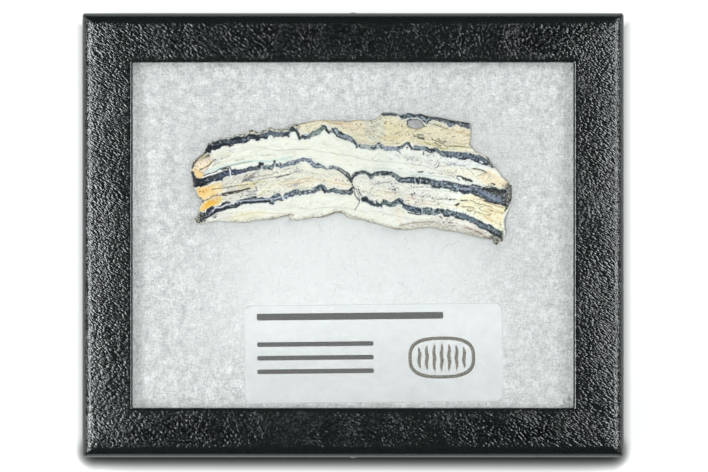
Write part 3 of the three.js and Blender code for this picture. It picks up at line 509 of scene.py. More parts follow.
# soft patches: colour, opacity, softness mm, raggedness mm, corners
PATCHES = [
    ((250, 238, 196), 0.90, 0.50, 0.30, [(-14.22, 27.68), (-13.70, 29.74), (-8.02, 31.55), (-5.95, 30.26), (-2.08, 27.68), (0.76, 24.06), (-5.95, 27.68), (-8.02, 29.23), (-11.64, 26.13)]),
    ((250, 232, 190), 0.70, 0.80, 0.40, [(-3.37, 29.23), (-0.27, 30.00), (2.31, 29.48), (4.89, 27.68), (2.83, 25.09), (0.76, 26.13), (-1.82, 27.93)]),
    ((252, 222, 182), 0.55, 0.60, 0.40, [(-2.34, 29.23), (-0.79, 29.48), (0.25, 27.93), (-1.05, 27.16), (-2.34, 28.19)]),
    ((238, 236, 212), 0.80, 0.90, 0.50, [(2.57, 30.26), (6.96, 31.29), (8.25, 28.45), (7.22, 25.09), (4.89, 24.06), (2.83, 25.61), (3.34, 28.19)]),
    ((250, 234, 178), 0.85, 0.80, 0.40, [(7.99, 29.74), (12.64, 29.48), (14.71, 27.68), (19.36, 28.71), (22.46, 29.23), (30.72, 27.68), (30.98, 23.29), (26.33, 22.51), (19.88, 23.54), (13.42, 23.80), (8.25, 24.06)]),
    ((250, 226, 172), 0.70, 0.70, 0.40, [(24.01, 27.16), (30.47, 26.90), (30.72, 23.80), (27.11, 23.29), (23.49, 24.58)]),
    ((244, 232, 150), 0.55, 0.50, 0.30, [(15.23, 25.61), (17.29, 24.58), (22.46, 23.03), (30.21, 22.25), (34.86, 21.22), (29.69, 21.48), (22.46, 21.99), (17.29, 23.54)]),
    ((226, 228, 196), 0.50, 0.80, 0.50, [(12.13, 30.26), (14.19, 30.78), (13.16, 28.71), (11.61, 29.23)]),
    ((232, 236, 190), 0.50, 0.60, 0.30, [(18.84, 29.74), (22.46, 29.74), (25.04, 28.71), (22.46, 27.93), (19.36, 28.45)]),
    ((246, 220, 178), 0.95, 0.60, 0.30, [(-42.37, 15.79), (-41.60, 18.38), (-40.05, 20.19), (-37.98, 21.09), (-36.69, 20.19), (-35.92, 19.15), (-37.21, 17.60), (-37.72, 16.57), (-39.27, 14.50), (-41.08, 14.76)]),
    ((244, 204, 132), 0.80, 0.50, 0.30, [(-42.37, 16.57), (-40.31, 16.96), (-38.76, 16.31), (-38.24, 15.28), (-39.53, 14.25), (-41.34, 14.76)]),
    ((150, 148, 120), 0.60, 0.40, 0.35, [(-40.82, 18.89), (-39.53, 20.44), (-37.98, 21.35), (-36.56, 21.22), (-36.95, 20.19), (-38.24, 19.80), (-39.53, 18.89)]),
    ((250, 232, 210), 0.55, 0.40, 0.30, [(-40.31, 18.64), (-38.76, 19.28), (-37.47, 19.15), (-37.98, 18.12), (-39.53, 17.47)]),
    ((196, 192, 204), 0.65, 0.35, 0.20, [(-39.15, 16.31), (-37.47, 17.22), (-36.43, 17.09), (-37.47, 16.18), (-38.50, 15.41)]),
    ((226, 224, 196), 0.50, 0.50, 0.30, [(-38.24, 20.19), (-35.92, 20.44), (-32.82, 21.48), (-30.23, 21.48), (-32.30, 19.93), (-35.40, 19.15), (-37.21, 19.15)]),
    ((250, 214, 136), 0.95, 0.50, 0.30, [(-41.08, 11.15), (-40.05, 12.44), (-37.98, 12.70), (-35.92, 13.21), (-33.85, 13.34), (-33.33, 11.92), (-35.14, 10.50), (-37.47, 9.60), (-39.02, 8.82), (-40.31, 10.11)]),
    ((248, 190, 84), 0.70, 0.40, 0.35, [(-40.31, 11.40), (-39.27, 12.05), (-37.72, 12.05), (-37.21, 11.40), (-38.50, 10.24), (-39.66, 10.37)]),
    ((246, 226, 170), 0.70, 0.60, 0.40, [(-35.92, 13.47), (-32.30, 14.25), (-29.20, 14.50), (-30.23, 13.21), (-32.82, 11.66), (-35.40, 10.63)]),
    ((250, 204, 110), 0.95, 0.40, 0.25, [(-39.79, 6.50), (-38.76, 8.18), (-37.47, 9.08), (-35.92, 9.85), (-34.11, 10.11), (-33.59, 9.08), (-34.62, 8.05), (-35.92, 7.40), (-37.72, 6.75), (-39.27, 5.98)]),
    ((252, 186, 40), 0.90, 0.30, 0.25, [(-38.50, 7.92), (-37.47, 8.56), (-36.17, 8.92), (-35.27, 8.56), (-35.66, 7.79), (-36.95, 7.53), (-37.98, 7.01)]),
    ((250, 206, 190), 0.50, 0.40, 0.20, [(-36.69, 9.08), (-36.17, 9.85), (-35.14, 9.72), (-35.40, 9.08)]),
    ((206, 226, 150), 0.50, 0.30, 0.20, [(-34.62, 8.56), (-34.37, 9.72), (-33.59, 9.85), (-33.59, 8.82)]),
    ((222, 219, 206), 0.80, 0.90, 0.50, [(-33.85, 14.25), (-29.72, 15.28), (-25.07, 16.83), (-23.52, 15.28), (-24.55, 13.21), (-25.07, 9.60), (-29.20, 8.30), (-32.82, 8.05), (-33.85, 10.11)]),
    ((250, 230, 150), 0.60, 0.45, 0.30, [(-29.72, 13.21), (-27.13, 13.73), (-24.81, 13.60), (-24.81, 12.44), (-27.65, 12.18), (-29.46, 11.92)]),
    ((238, 236, 214), 0.80, 0.60, 0.30, [(-25.07, 15.79), (-21.45, 16.83), (-16.29, 17.86), (-5.95, 17.86), (-0.79, 15.28), (0.76, 11.66), (-5.95, 11.66), (-13.70, 11.66), (-20.16, 9.60), (-24.55, 9.34)]),
    ((246, 242, 220), 0.50, 0.70, 0.40, [(-24.55, 12.70), (-18.87, 13.21), (-13.70, 14.25), (-5.95, 15.28), (-0.27, 12.18), (-5.95, 11.15), (-13.70, 11.66), (-20.16, 10.63), (-24.55, 10.11)]),
    ((252, 234, 196), 0.65, 0.60, 0.30, [(-15.25, 13.73), (-12.15, 14.76), (-9.05, 14.25), (-10.60, 12.95), (-13.70, 12.44), (-15.77, 11.66)]),
    ((252, 230, 206), 0.50, 0.70, 0.30, [(-5.95, 15.28), (-3.37, 15.54), (-1.30, 13.21), (-2.85, 12.18), (-5.95, 13.21)]),
    ((240, 240, 224), 0.80, 0.80, 0.30, [(0.25, 14.25), (4.89, 15.79), (12.13, 14.76), (19.88, 12.70), (25.56, 11.66), (26.59, 7.53), (19.88, 7.53), (13.16, 10.11), (4.89, 9.08), (1.28, 9.08)]),
    ((214, 216, 210), 0.45, 0.70, 0.50, [(4.89, 14.25), (9.54, 15.02), (11.61, 13.21), (11.09, 11.15), (7.99, 12.18), (5.41, 12.18)]),
    ((248, 236, 204), 0.60, 0.70, 0.40, [(4.89, 11.15), (7.99, 12.18), (12.64, 10.11), (19.88, 8.30), (26.59, 7.27), (22.46, 6.75), (13.16, 8.05), (6.96, 9.34)]),
    ((250, 224, 164), 0.90, 1.20, 0.40, [(25.56, 7.53), (28.14, 10.11), (31.24, 11.15), (35.37, 9.60), (39.51, 8.05), (41.57, 5.98), (38.99, 0.81), (34.34, 3.40), (29.17, 5.98)]),
    ((250, 212, 146), 0.70, 0.70, 0.40, [(33.82, 8.05), (37.96, 8.05), (40.02, 6.75), (38.99, 3.40), (37.44, 2.36), (34.34, 5.46)]),
    ((252, 232, 180), 0.60, 0.60, 0.30, [(28.66, 8.05), (32.79, 7.01), (36.41, 3.91), (37.96, 1.85), (34.34, 3.40), (30.21, 5.72)]),
    ((238, 242, 232), 0.70, 0.90, 0.40, [(5.93, 22.51), (14.71, 21.99), (22.46, 20.44), (30.21, 19.41), (32.79, 17.86), (28.14, 16.31), (19.88, 15.28), (12.13, 15.28), (5.93, 16.83)]),
    ((206, 214, 212), 0.60, 0.60, 0.40, [(22.72, 18.89), (26.59, 19.15), (30.21, 18.12), (32.27, 17.60), (28.66, 17.60), (25.04, 17.86)]),
    ((226, 232, 230), 0.60, 0.60, 0.30, [(26.33, 19.41), (30.21, 19.41), (34.86, 17.86), (36.41, 16.83), (33.82, 17.09), (30.21, 18.12)]),
    ((250, 240, 206), 0.80, 0.80, 0.40, [(22.46, 17.09), (28.14, 17.60), (31.76, 16.57), (37.96, 14.76), (41.06, 12.70), (37.96, 12.70), (33.82, 13.21), (27.62, 15.28), (22.46, 15.79)]),
    ((252, 222, 170), 0.85, 0.70, 0.30, [(32.27, 15.28), (34.86, 17.09), (37.96, 15.02), (40.80, 13.47), (40.02, 11.92), (36.92, 12.70), (33.82, 13.47)]),
    ((236, 226, 150), 0.40, 0.40, 0.30, [(33.82, 13.21), (36.41, 13.21), (38.47, 12.44), (36.41, 11.92)]),
    ((244, 236, 202), 0.75, 0.60, 0.40, [(-31.78, 5.72), (-27.13, 6.24), (-23.00, 6.24), (-22.48, 5.20), (-26.10, 4.17), (-30.23, 3.65), (-31.78, 4.43)]),
    ((226, 223, 216), 0.75, 0.60, 0.40, [(-38.50, 3.65), (-36.43, 4.69), (-33.85, 5.72), (-31.27, 5.72), (-31.27, 4.17), (-33.85, 3.14), (-37.47, 2.88)]),
    ((236, 240, 238), 0.50, 0.60, 0.40, [(-30.23, 7.53), (-23.52, 8.56), (-17.32, 8.30), (-14.74, 7.01), (-21.45, 6.75), (-27.65, 6.50)]),
    ((238, 238, 222), 0.60, 0.60, 0.40, [(-21.97, 5.72), (-16.29, 6.24), (-13.70, 5.98), (-16.29, 4.69), (-20.94, 4.43)]),
    ((228, 234, 224), 0.50, 0.50, 0.30, [(-17.84, 7.53), (-16.29, 8.30), (-15.25, 7.53), (-16.29, 6.24)]),
    ((240, 240, 238), 0.50, 0.80, 0.40, [(2.83, 7.53), (6.96, 7.79), (12.13, 5.98), (17.29, 4.43), (19.88, 3.91), (14.71, 3.40), (6.96, 5.46), (2.83, 6.50)]),
    ((250, 238, 206), 0.50, 0.60, 0.30, [(10.58, 6.50), (12.13, 7.53), (13.16, 5.98), (12.64, 2.88), (11.61, 3.40)]),
    ((238, 232, 220), 0.80, 0.60, 0.40, [(20.91, 5.20), (24.01, 5.46), (28.14, 4.17), (33.82, 1.85), (35.89, -0.74), (32.27, 0.81), (26.59, 2.36), (21.43, 2.88)]),
    ((214, 208, 200), 0.70, 0.50, 0.40, [(12.13, 3.14), (17.29, 3.65), (24.01, 3.91), (28.14, 2.62), (32.79, 0.81), (35.89, -1.77), (32.27, -1.25), (26.59, 0.81), (19.88, 1.33), (12.64, 1.33)]),
    ((206, 186, 170), 0.55, 0.50, 0.40, [(28.66, 2.36), (31.24, 1.85), (34.34, 0.30), (35.89, -1.25), (33.82, -0.74), (30.21, 1.07)]),
    ((84, 88, 80), 0.95, 0.30, 0.35, [(-40.44, 4.95), (-39.53, 5.85), (-37.98, 5.72), (-37.98, 3.65), (-39.53, 3.14), (-40.82, 3.65)]),
    ((176, 172, 140), 0.70, 0.25, 0.30, [(-40.57, 4.43), (-39.79, 5.46), (-39.15, 4.95), (-39.40, 3.65), (-40.05, 3.40)]),
    ((104, 106, 100), 0.95, 0.30, 0.30, [(38.86, 11.66), (40.02, 13.08), (41.44, 13.08), (41.57, 7.53), (40.02, 7.01), (38.73, 8.05)]),
    ((150, 152, 140), 0.60, 0.30, 0.30, [(38.99, 7.53), (39.77, 9.85), (40.02, 11.66), (40.54, 12.18), (40.28, 9.60), (39.77, 7.53)]),
    ((122, 124, 104), 0.95, 0.40, 0.35, [(35.37, -0.22), (36.41, 0.56), (37.96, 1.07), (38.99, -0.74), (39.51, -2.80), (37.70, -3.84), (35.89, -2.29)]),
    ((206, 206, 180), 0.50, 0.25, 0.30, [(36.92, -2.29), (37.70, -1.25), (38.47, -2.03), (37.96, -3.32)]),
    ((248, 246, 238), 0.90, 0.20, 0.15, [(38.86, 0.56), (38.68, 3.40), (38.99, 5.46), (40.02, 7.01), (40.54, 7.53), (40.02, 5.98), (39.40, 4.43), (39.40, 2.36), (39.77, 0.56)]),
    ((250, 248, 232), 0.80, 0.20, 0.15, [(29.69, 21.86), (30.98, 22.25), (31.50, 21.74), (30.72, 21.48)]),
]
# veins, cracks and spots: colour, opacity, width mm, softness mm, line
MARKS = [
    ((160, 162, 160), 0.30, 0.23, 0.18, [(-29.20, 21.48), (-26.62, 22.51), (-23.52, 22.64), (-20.16, 21.86), (-17.84, 21.74), (-14.74, 22.25), (-12.41, 22.25), (-10.60, 22.12), (-8.80, 21.48), (-5.95, 21.35), (-3.37, 20.83), (-0.79, 20.44), (1.80, 19.80), (4.38, 19.33), (6.96, 19.08), (9.54, 18.97), (12.13, 18.64), (14.71, 18.38), (19.88, 17.60)]),
    ((160, 162, 160), 0.22, 0.21, 0.15, [(-36.17, 19.41), (-32.82, 21.22), (-29.72, 22.25), (-26.10, 23.03), (-23.00, 22.90)]),
    ((160, 162, 160), 0.25, 0.21, 0.15, [(-19.90, 21.84), (-17.32, 22.05), (-14.74, 22.17), (-12.15, 22.10)]),
    ((206, 186, 150), 0.35, 0.26, 0.18, [(-35.92, 18.64), (-32.82, 19.02), (-29.20, 20.06), (-26.10, 20.44)]),
    ((206, 186, 150), 0.22, 0.26, 0.18, [(-23.52, 20.70), (-19.90, 20.44), (-16.29, 21.22)]),
    ((160, 162, 160), 0.22, 0.26, 0.18, [(-14.22, 7.14), (-12.41, 6.75), (-10.60, 6.75), (-8.02, 7.14), (-5.44, 7.27), (-2.08, 7.01), (0.50, 6.63), (2.31, 6.11), (3.60, 5.72)]),
    ((160, 162, 160), 0.18, 0.26, 0.18, [(4.89, 6.24), (7.99, 5.72), (11.09, 4.95), (14.71, 4.17), (18.33, 4.04)]),
    ((160, 162, 160), 0.20, 0.23, 0.18, [(4.89, 17.09), (7.48, 17.22), (10.06, 16.88), (12.13, 16.31)]),
    ((160, 162, 160), 0.20, 0.23, 0.18, [(6.44, 15.15), (10.06, 16.18), (13.16, 15.79), (15.74, 15.28)]),
    ((206, 222, 214), 0.35, 0.26, 0.18, [(1.28, 16.44), (3.34, 17.34), (6.96, 17.47), (10.06, 17.09), (12.13, 16.18), (15.23, 15.79)]),
    ((214, 200, 160), 0.50, 0.26, 0.15, [(-33.85, 4.27), (-30.23, 4.87), (-26.62, 5.67), (-24.03, 5.93), (-20.94, 5.57), (-17.84, 5.62)]),
    ((140, 128, 104), 0.60, 0.28, 0.15, [(-21.97, 4.07), (-19.39, 4.53), (-17.84, 4.95), (-16.29, 5.26), (-15.25, 5.15)]),
    ((120, 112, 92), 0.75, 0.31, 0.13, [(-8.02, 4.82), (-5.95, 5.46), (-4.40, 5.98), (-2.85, 6.08)]),
    ((120, 112, 92), 0.50, 0.26, 0.13, [(-14.74, 3.65), (-11.12, 4.33), (-8.02, 4.74)]),
    ((150, 144, 130), 0.60, 0.26, 0.13, [(-2.34, 5.88), (-0.27, 4.95), (2.31, 4.07), (4.38, 3.40)]),
    ((130, 124, 110), 0.70, 0.31, 0.13, [(4.38, 2.88), (6.96, 2.36), (10.06, 1.85), (12.64, 1.49)]),
    ((140, 134, 112), 0.60, 0.31, 0.15, [(12.13, 2.47), (14.71, 3.04), (17.81, 3.40), (20.91, 3.50)]),
    ((202, 226, 220), 0.75, 0.56, 0.26, [(-37.98, 16.18), (-35.92, 16.93), (-33.33, 17.60), (-30.75, 18.43), (-27.65, 19.00), (-24.55, 19.10), (-21.45, 19.02), (-17.84, 19.67), (-15.77, 20.19)]),
    ((20, 26, 34), 0.85, 0.23, 0.10, [(-38.63, 15.33), (-38.06, 15.54), (-37.00, 15.95), (-36.05, 16.18), (-35.12, 16.60), (-34.19, 17.19), (-33.23, 17.42), (-32.04, 17.73)]),
    ((84, 88, 62), 0.50, 0.21, 0.10, [(-32.04, 17.73), (-29.98, 18.25), (-28.43, 18.64), (-26.10, 19.02)]),
    ((248, 250, 250), 0.85, 0.26, 0.10, [(-38.89, 14.87), (-37.72, 15.30), (-36.43, 15.79), (-35.40, 16.10), (-34.37, 16.57), (-33.08, 17.09)]),
    ((20, 26, 34), 0.75, 0.23, 0.09, [(-39.56, 16.78), (-38.76, 17.19), (-38.27, 17.42), (-37.26, 18.02), (-36.77, 18.51), (-36.17, 19.15), (-35.48, 19.62)]),
    ((58, 54, 50), 0.90, 0.36, 0.10, [(-40.82, 17.86)]),
    ((58, 54, 50), 0.80, 0.28, 0.10, [(-40.05, 17.73)]),
    ((58, 54, 50), 0.70, 0.28, 0.10, [(-37.72, 18.77)]),
    ((58, 54, 50), 0.70, 0.26, 0.10, [(-38.40, 19.82)]),
    ((120, 92, 66), 0.70, 0.36, 0.13, [(-39.40, 18.51)]),
    ((120, 92, 66), 0.70, 0.26, 0.10, [(-40.57, 16.83)]),
    ((58, 54, 50), 0.60, 0.26, 0.10, [(-37.47, 20.70), (-37.16, 20.19)]),
    ((20, 26, 34), 0.90, 0.41, 0.13, [(-41.44, 17.34), (-41.19, 18.38), (-40.46, 19.20)]),
    ((96, 88, 70), 0.75, 0.41, 0.21, [(-40.46, 19.15), (-39.53, 20.32), (-38.50, 20.83)]),
    ((58, 54, 50), 0.70, 0.36, 0.15, [(-37.98, 20.13), (-37.21, 20.70)]),
    ((196, 180, 210), 0.50, 0.41, 0.21, [(-37.98, 19.15), (-37.21, 19.67)]),
    ((160, 162, 160), 0.60, 0.26, 0.13, [(-32.82, 20.24), (-32.04, 20.50)]),
    ((160, 162, 160), 0.50, 0.31, 0.13, [(-29.20, 19.54), (-28.17, 19.72)]),
    ((160, 162, 160), 0.40, 0.36, 0.15, [(-36.17, 18.02), (-34.88, 18.53)]),
    ((184, 188, 196), 0.40, 0.36, 0.18, [(-31.53, 21.74), (-30.49, 22.38)]),
    ((184, 188, 196), 0.35, 0.31, 0.18, [(-23.00, 22.12), (-22.48, 23.03)]),
    ((160, 162, 160), 0.35, 0.26, 0.15, [(-23.52, 20.44), (-20.94, 20.83), (-19.90, 20.44)]),
    ((200, 204, 212), 0.35, 0.41, 0.21, [(-35.92, 19.02), (-33.85, 19.80), (-31.78, 20.32)]),
    ((20, 26, 34), 0.95, 0.77, 0.23, [(-41.50, 16.16), (-41.08, 15.12), (-40.57, 14.25), (-39.95, 13.47)]),
    ((20, 26, 34), 0.90, 0.62, 0.18, [(-40.57, 14.50), (-39.27, 14.25), (-37.98, 14.66)]),
    ((70, 84, 70), 0.60, 0.41, 0.18, [(-36.95, 14.76), (-35.40, 15.64), (-34.37, 16.05)]),
    ((60, 70, 66), 0.60, 0.41, 0.18, [(-36.43, 14.61), (-34.88, 15.15), (-33.59, 15.02)]),
    ((20, 26, 34), 0.85, 0.41, 0.13, [(-33.85, 16.88), (-32.82, 17.19), (-31.78, 17.29)]),
    ((248, 250, 250), 0.90, 0.31, 0.10, [(-31.89, 17.09), (-31.73, 16.31), (-31.53, 15.28)]),
    ((20, 26, 34), 0.90, 0.82, 0.15, [(-24.03, 18.48), (-23.41, 18.43)]),
    ((20, 26, 34), 0.85, 0.62, 0.13, [(-20.26, 19.00)]),
    ((40, 52, 56), 0.80, 0.56, 0.15, [(-23.78, 17.96), (-24.40, 17.65)]),
    ((248, 250, 250), 0.80, 0.26, 0.10, [(-23.62, 17.86), (-23.52, 16.93)]),
    ((226, 232, 226), 0.80, 0.36, 0.13, [(-20.26, 18.12), (-20.11, 17.09), (-19.80, 16.31)]),
    ((20, 26, 34), 0.70, 0.31, 0.10, [(-18.87, 18.74), (-18.61, 18.07)]),
    ((20, 26, 34), 0.60, 0.31, 0.10, [(-19.64, 18.22), (-19.49, 17.71)]),
    ((20, 26, 34), 0.85, 0.41, 0.13, [(-40.46, 12.90), (-39.53, 13.01), (-37.72, 13.47)]),
    ((150, 110, 80), 0.80, 0.33, 0.13, [(-39.92, 12.05)]),
    ((120, 92, 66), 0.90, 0.36, 0.10, [(-39.53, 11.27)]),
    ((150, 110, 80), 0.80, 0.46, 0.15, [(-38.63, 11.20)]),
    ((150, 110, 80), 0.60, 0.31, 0.13, [(-37.98, 11.66)]),
    ((20, 26, 34), 0.90, 0.51, 0.13, [(-39.33, 9.44), (-38.91, 8.92), (-38.71, 8.56)]),
    ((120, 92, 66), 0.85, 0.26, 0.10, [(-38.76, 8.82), (-37.98, 9.00), (-37.21, 9.34), (-36.43, 9.85), (-35.66, 10.24), (-34.62, 10.29), (-34.11, 10.37)]),
    ((20, 26, 34), 0.85, 0.36, 0.13, [(-33.69, 10.27), (-32.56, 10.29)]),
    ((20, 26, 34), 0.95, 0.51, 0.13, [(-32.04, 10.73), (-31.16, 10.89)]),
    ((64, 56, 44), 0.85, 0.41, 0.13, [(-33.85, 10.63), (-31.78, 11.09), (-30.23, 11.35), (-28.68, 11.61), (-26.62, 12.13)]),
    ((60, 54, 44), 0.75, 0.36, 0.13, [(-30.23, 10.84), (-29.20, 11.25), (-28.17, 11.66), (-26.88, 11.97)]),
    ((96, 88, 70), 0.60, 0.26, 0.13, [(-36.43, 11.82), (-33.85, 12.18), (-30.75, 12.70), (-27.13, 13.11)]),
    ((110, 112, 116), 0.70, 0.36, 0.15, [(-28.43, 14.12), (-27.39, 14.66), (-26.62, 15.07)]),
    ((84, 88, 96), 0.80, 0.33, 0.13, [(-27.65, 13.99), (-26.62, 14.56), (-25.58, 15.12)]),
    ((110, 96, 80), 0.60, 0.41, 0.18, [(-26.62, 15.18), (-25.84, 15.43)]),
    ((92, 96, 104), 0.70, 0.36, 0.13, [(-28.68, 13.83), (-27.65, 14.25), (-26.10, 14.09)]),
    ((120, 122, 128), 0.60, 0.41, 0.18, [(-27.39, 11.40), (-26.10, 10.99), (-25.07, 11.51)]),
    ((96, 100, 112), 0.70, 0.31, 0.13, [(-27.65, 10.22), (-26.36, 10.53), (-25.07, 10.63)]),
    ((124, 128, 140), 0.55, 0.36, 0.15, [(-26.88, 9.85), (-25.58, 9.96)]),
    ((90, 92, 92), 0.60, 0.31, 0.13, [(-25.07, 12.44), (-24.65, 11.40)]),
    ((128, 126, 124), 0.60, 0.28, 0.13, [(-24.55, 14.25), (-22.48, 14.71), (-20.42, 15.02), (-18.61, 15.12), (-16.80, 15.69)]),
    ((66, 68, 74), 0.80, 0.31, 0.10, [(-19.64, 14.92), (-18.61, 15.28), (-17.84, 15.33)]),
    ((66, 68, 74), 0.75, 0.31, 0.10, [(-17.42, 15.54), (-16.54, 15.67)]),
    ((120, 118, 116), 0.50, 0.26, 0.13, [(-23.52, 15.28), (-21.45, 15.64), (-19.90, 16.31)]),
    ((120, 118, 116), 0.50, 0.26, 0.13, [(-17.84, 16.83), (-16.29, 17.24)]),
    ((58, 54, 50), 0.85, 0.28, 0.09, [(-21.84, 11.33)]),
    ((58, 54, 50), 0.80, 0.28, 0.09, [(-19.51, 15.98)]),
    ((58, 54, 50), 0.60, 0.23, 0.08, [(-22.90, 10.84)]),
    ((58, 54, 50), 0.60, 0.23, 0.08, [(-31.53, 12.39)]),
    ((214, 206, 120), 0.60, 0.26, 0.13, [(-26.62, 13.32), (-24.55, 13.73), (-22.48, 13.88)]),
    ((206, 190, 120), 0.50, 0.26, 0.13, [(-24.55, 10.11), (-22.48, 11.66), (-20.94, 12.95), (-17.58, 13.73), (-14.74, 13.99)]),
    ((190, 150, 110), 0.55, 0.23, 0.12, [(-17.84, 13.06), (-15.77, 13.32), (-13.70, 13.63)]),
    ((206, 190, 120), 0.60, 0.26, 0.13, [(-14.74, 13.94), (-13.19, 14.50), (-11.12, 14.76), (-8.54, 14.25), (-6.73, 13.99), (-4.66, 13.47), (-2.60, 13.11), (-0.27, 12.95)]),
    ((150, 140, 110), 0.50, 0.23, 0.12, [(-16.80, 12.44), (-14.74, 13.21), (-12.67, 13.57)]),
    ((168, 172, 184), 0.60, 0.62, 0.26, [(-15.25, 12.80), (-14.22, 13.21)]),
    ((160, 166, 180), 0.50, 0.51, 0.23, [(-14.74, 16.83), (-13.70, 16.31)]),
    ((186, 200, 190), 0.50, 0.41, 0.21, [(-14.22, 12.18), (-12.67, 12.70)]),
    ((160, 180, 150), 0.45, 0.41, 0.21, [(-13.70, 11.77), (-12.15, 12.08)]),
    ((20, 26, 34), 0.85, 0.31, 0.10, [(-3.89, 16.93), (-2.85, 16.26), (-2.08, 15.64), (-1.30, 14.87)]),
    ((20, 26, 34), 0.80, 0.26, 0.09, [(-3.22, 17.19), (-2.08, 16.41), (-0.94, 15.69)]),
    ((248, 250, 250), 0.70, 0.21, 0.09, [(-3.47, 17.03), (-2.44, 16.26), (-1.56, 15.54)]),
    ((20, 26, 34), 0.85, 0.36, 0.13, [(-1.72, 15.54), (-1.05, 14.50), (-0.37, 13.63)]),
    ((20, 26, 34), 0.80, 0.31, 0.10, [(-0.89, 15.59), (-0.68, 14.76), (-0.17, 13.88)]),
    ((20, 26, 34), 0.80, 0.23, 0.09, [(-0.37, 13.57), (-0.12, 12.95), (0.19, 12.39)]),
    ((20, 26, 34), 0.80, 0.28, 0.10, [(0.37, 11.40), (0.50, 10.37), (1.02, 9.60), (1.67, 8.82)]),
    ((98, 110, 130), 0.70, 0.23, 0.10, [(0.76, 11.92), (1.15, 11.15), (1.43, 10.11), (1.80, 8.92)]),
    ((20, 26, 34), 0.75, 0.26, 0.10, [(1.38, 11.92), (1.69, 10.89), (2.26, 10.11)]),
    ((70, 76, 86), 0.70, 0.21, 0.09, [(1.67, 8.82), (1.54, 8.18), (1.15, 7.53), (0.76, 6.88), (0.37, 6.50)]),
    ((20, 26, 34), 0.70, 0.36, 0.13, [(-0.17, 14.61), (0.25, 15.28), (0.87, 15.79)]),
    ((248, 250, 250), 0.90, 0.31, 0.10, [(-36.12, 6.11), (-35.94, 6.86), (-35.58, 7.19), (-34.65, 7.14), (-33.72, 7.27), (-33.13, 7.66), (-32.53, 7.92), (-31.84, 7.84)]),
    ((206, 218, 230), 0.85, 0.26, 0.10, [(-31.84, 7.89), (-30.18, 8.49), (-29.36, 8.72), (-28.43, 8.87), (-26.62, 9.00), (-24.03, 9.13), (-22.74, 9.21), (-21.19, 9.34), (-20.16, 9.39), (-19.39, 9.60), (-18.35, 9.85), (-16.80, 9.85)]),
    ((20, 26, 34), 0.85, 0.31, 0.10, [(-36.07, 5.72), (-35.66, 6.50), (-34.88, 6.60), (-33.33, 6.60), (-32.30, 7.12)]),
    ((20, 26, 34), 0.80, 0.36, 0.13, [(-33.85, 7.89), (-32.82, 8.46), (-31.78, 8.51)]),
    ((20, 26, 34), 0.90, 0.46, 0.13, [(-28.43, 8.41), (-26.10, 8.46), (-23.52, 8.61), (-21.45, 8.77)]),
    ((20, 26, 34), 0.85, 0.41, 0.13, [(-25.84, 9.70), (-25.07, 9.91)]),
    ((20, 26, 34), 0.80, 0.46, 0.13, [(-21.45, 8.25), (-20.68, 8.10)]),
    ((20, 26, 34), 0.80, 0.36, 0.13, [(-19.39, 9.13), (-18.09, 8.98)]),
    ((248, 250, 250), 0.85, 0.36, 0.10, [(-18.25, 10.68), (-18.15, 9.85), (-17.99, 9.23)]),
    ((20, 26, 34), 0.90, 0.41, 0.13, [(-39.02, 4.02), (-37.72, 4.53), (-36.43, 5.26), (-35.40, 5.98)]),
    ((20, 26, 34), 0.80, 0.36, 0.13, [(-37.72, 6.13), (-36.43, 6.81), (-35.92, 6.91)]),
    ((20, 26, 34), 0.90, 0.36, 0.10, [(-35.81, 4.53), (-35.35, 4.79)]),
    ((120, 118, 114), 0.70, 0.26, 0.10, [(-36.43, 4.69), (-34.88, 5.57)]),
    ((190, 192, 200), 0.60, 0.31, 0.13, [(-37.21, 5.10), (-36.43, 6.13)]),
    ((20, 26, 34), 0.80, 0.41, 0.13, [(-8.28, 12.59), (-7.61, 11.97), (-7.35, 11.04)]),
    ((20, 26, 34), 0.75, 0.36, 0.13, [(-9.57, 11.92), (-8.80, 12.54)]),
    ((248, 250, 250), 0.60, 0.21, 0.09, [(-11.38, 11.20), (-10.34, 11.77), (-9.57, 12.08)]),
    ((20, 26, 34), 0.85, 0.41, 0.15, [(-0.79, 11.71), (-0.12, 12.28), (0.40, 11.92)]),
    ((248, 250, 250), 0.60, 0.23, 0.09, [(0.09, 11.56), (0.40, 11.15)]),
    ((20, 26, 34), 0.85, 1.03, 0.23, [(2.67, 9.23), (3.34, 9.08)]),
    ((48, 58, 78), 0.70, 0.67, 0.23, [(3.86, 8.82), (4.89, 8.05), (5.41, 7.79)]),
    ((20, 26, 34), 0.70, 0.31, 0.13, [(5.93, 8.87), (6.34, 8.30), (6.81, 7.79)]),
    ((20, 26, 34), 0.70, 0.31, 0.13, [(6.96, 8.05), (7.48, 7.43)]),
    ((20, 26, 34), 0.90, 0.31, 0.09, [(9.93, 13.21)]),
    ((20, 26, 34), 0.90, 0.36, 0.10, [(10.47, 12.70)]),
    ((20, 26, 34), 0.85, 0.31, 0.09, [(10.19, 11.84)]),
    ((20, 26, 34), 0.90, 0.31, 0.09, [(10.84, 11.92)]),
    ((20, 26, 34), 0.85, 0.31, 0.09, [(11.48, 12.18)]),
    ((20, 26, 34), 0.80, 0.28, 0.09, [(11.87, 11.82)]),
    ((20, 26, 34), 0.70, 0.26, 0.09, [(10.99, 11.61), (10.16, 11.71)]),
    ((140, 142, 146), 0.60, 0.31, 0.13, [(6.32, 13.21), (7.99, 13.63), (9.80, 13.73)]),
    ((140, 142, 146), 0.50, 0.31, 0.13, [(5.41, 12.95), (6.70, 13.73)]),
    ((146, 144, 140), 0.60, 0.31, 0.13, [(2.44, 11.27)]),
    ((160, 150, 130), 0.50, 0.23, 0.12, [(7.99, 11.15), (9.80, 11.02), (11.87, 11.15)]),
    ((186, 190, 198), 0.50, 0.62, 0.26, [(4.27, 15.18), (4.64, 14.50)]),
    ((248, 250, 250), 0.80, 0.31, 0.13, [(9.54, 15.28), (10.58, 14.35), (11.61, 13.73)]),
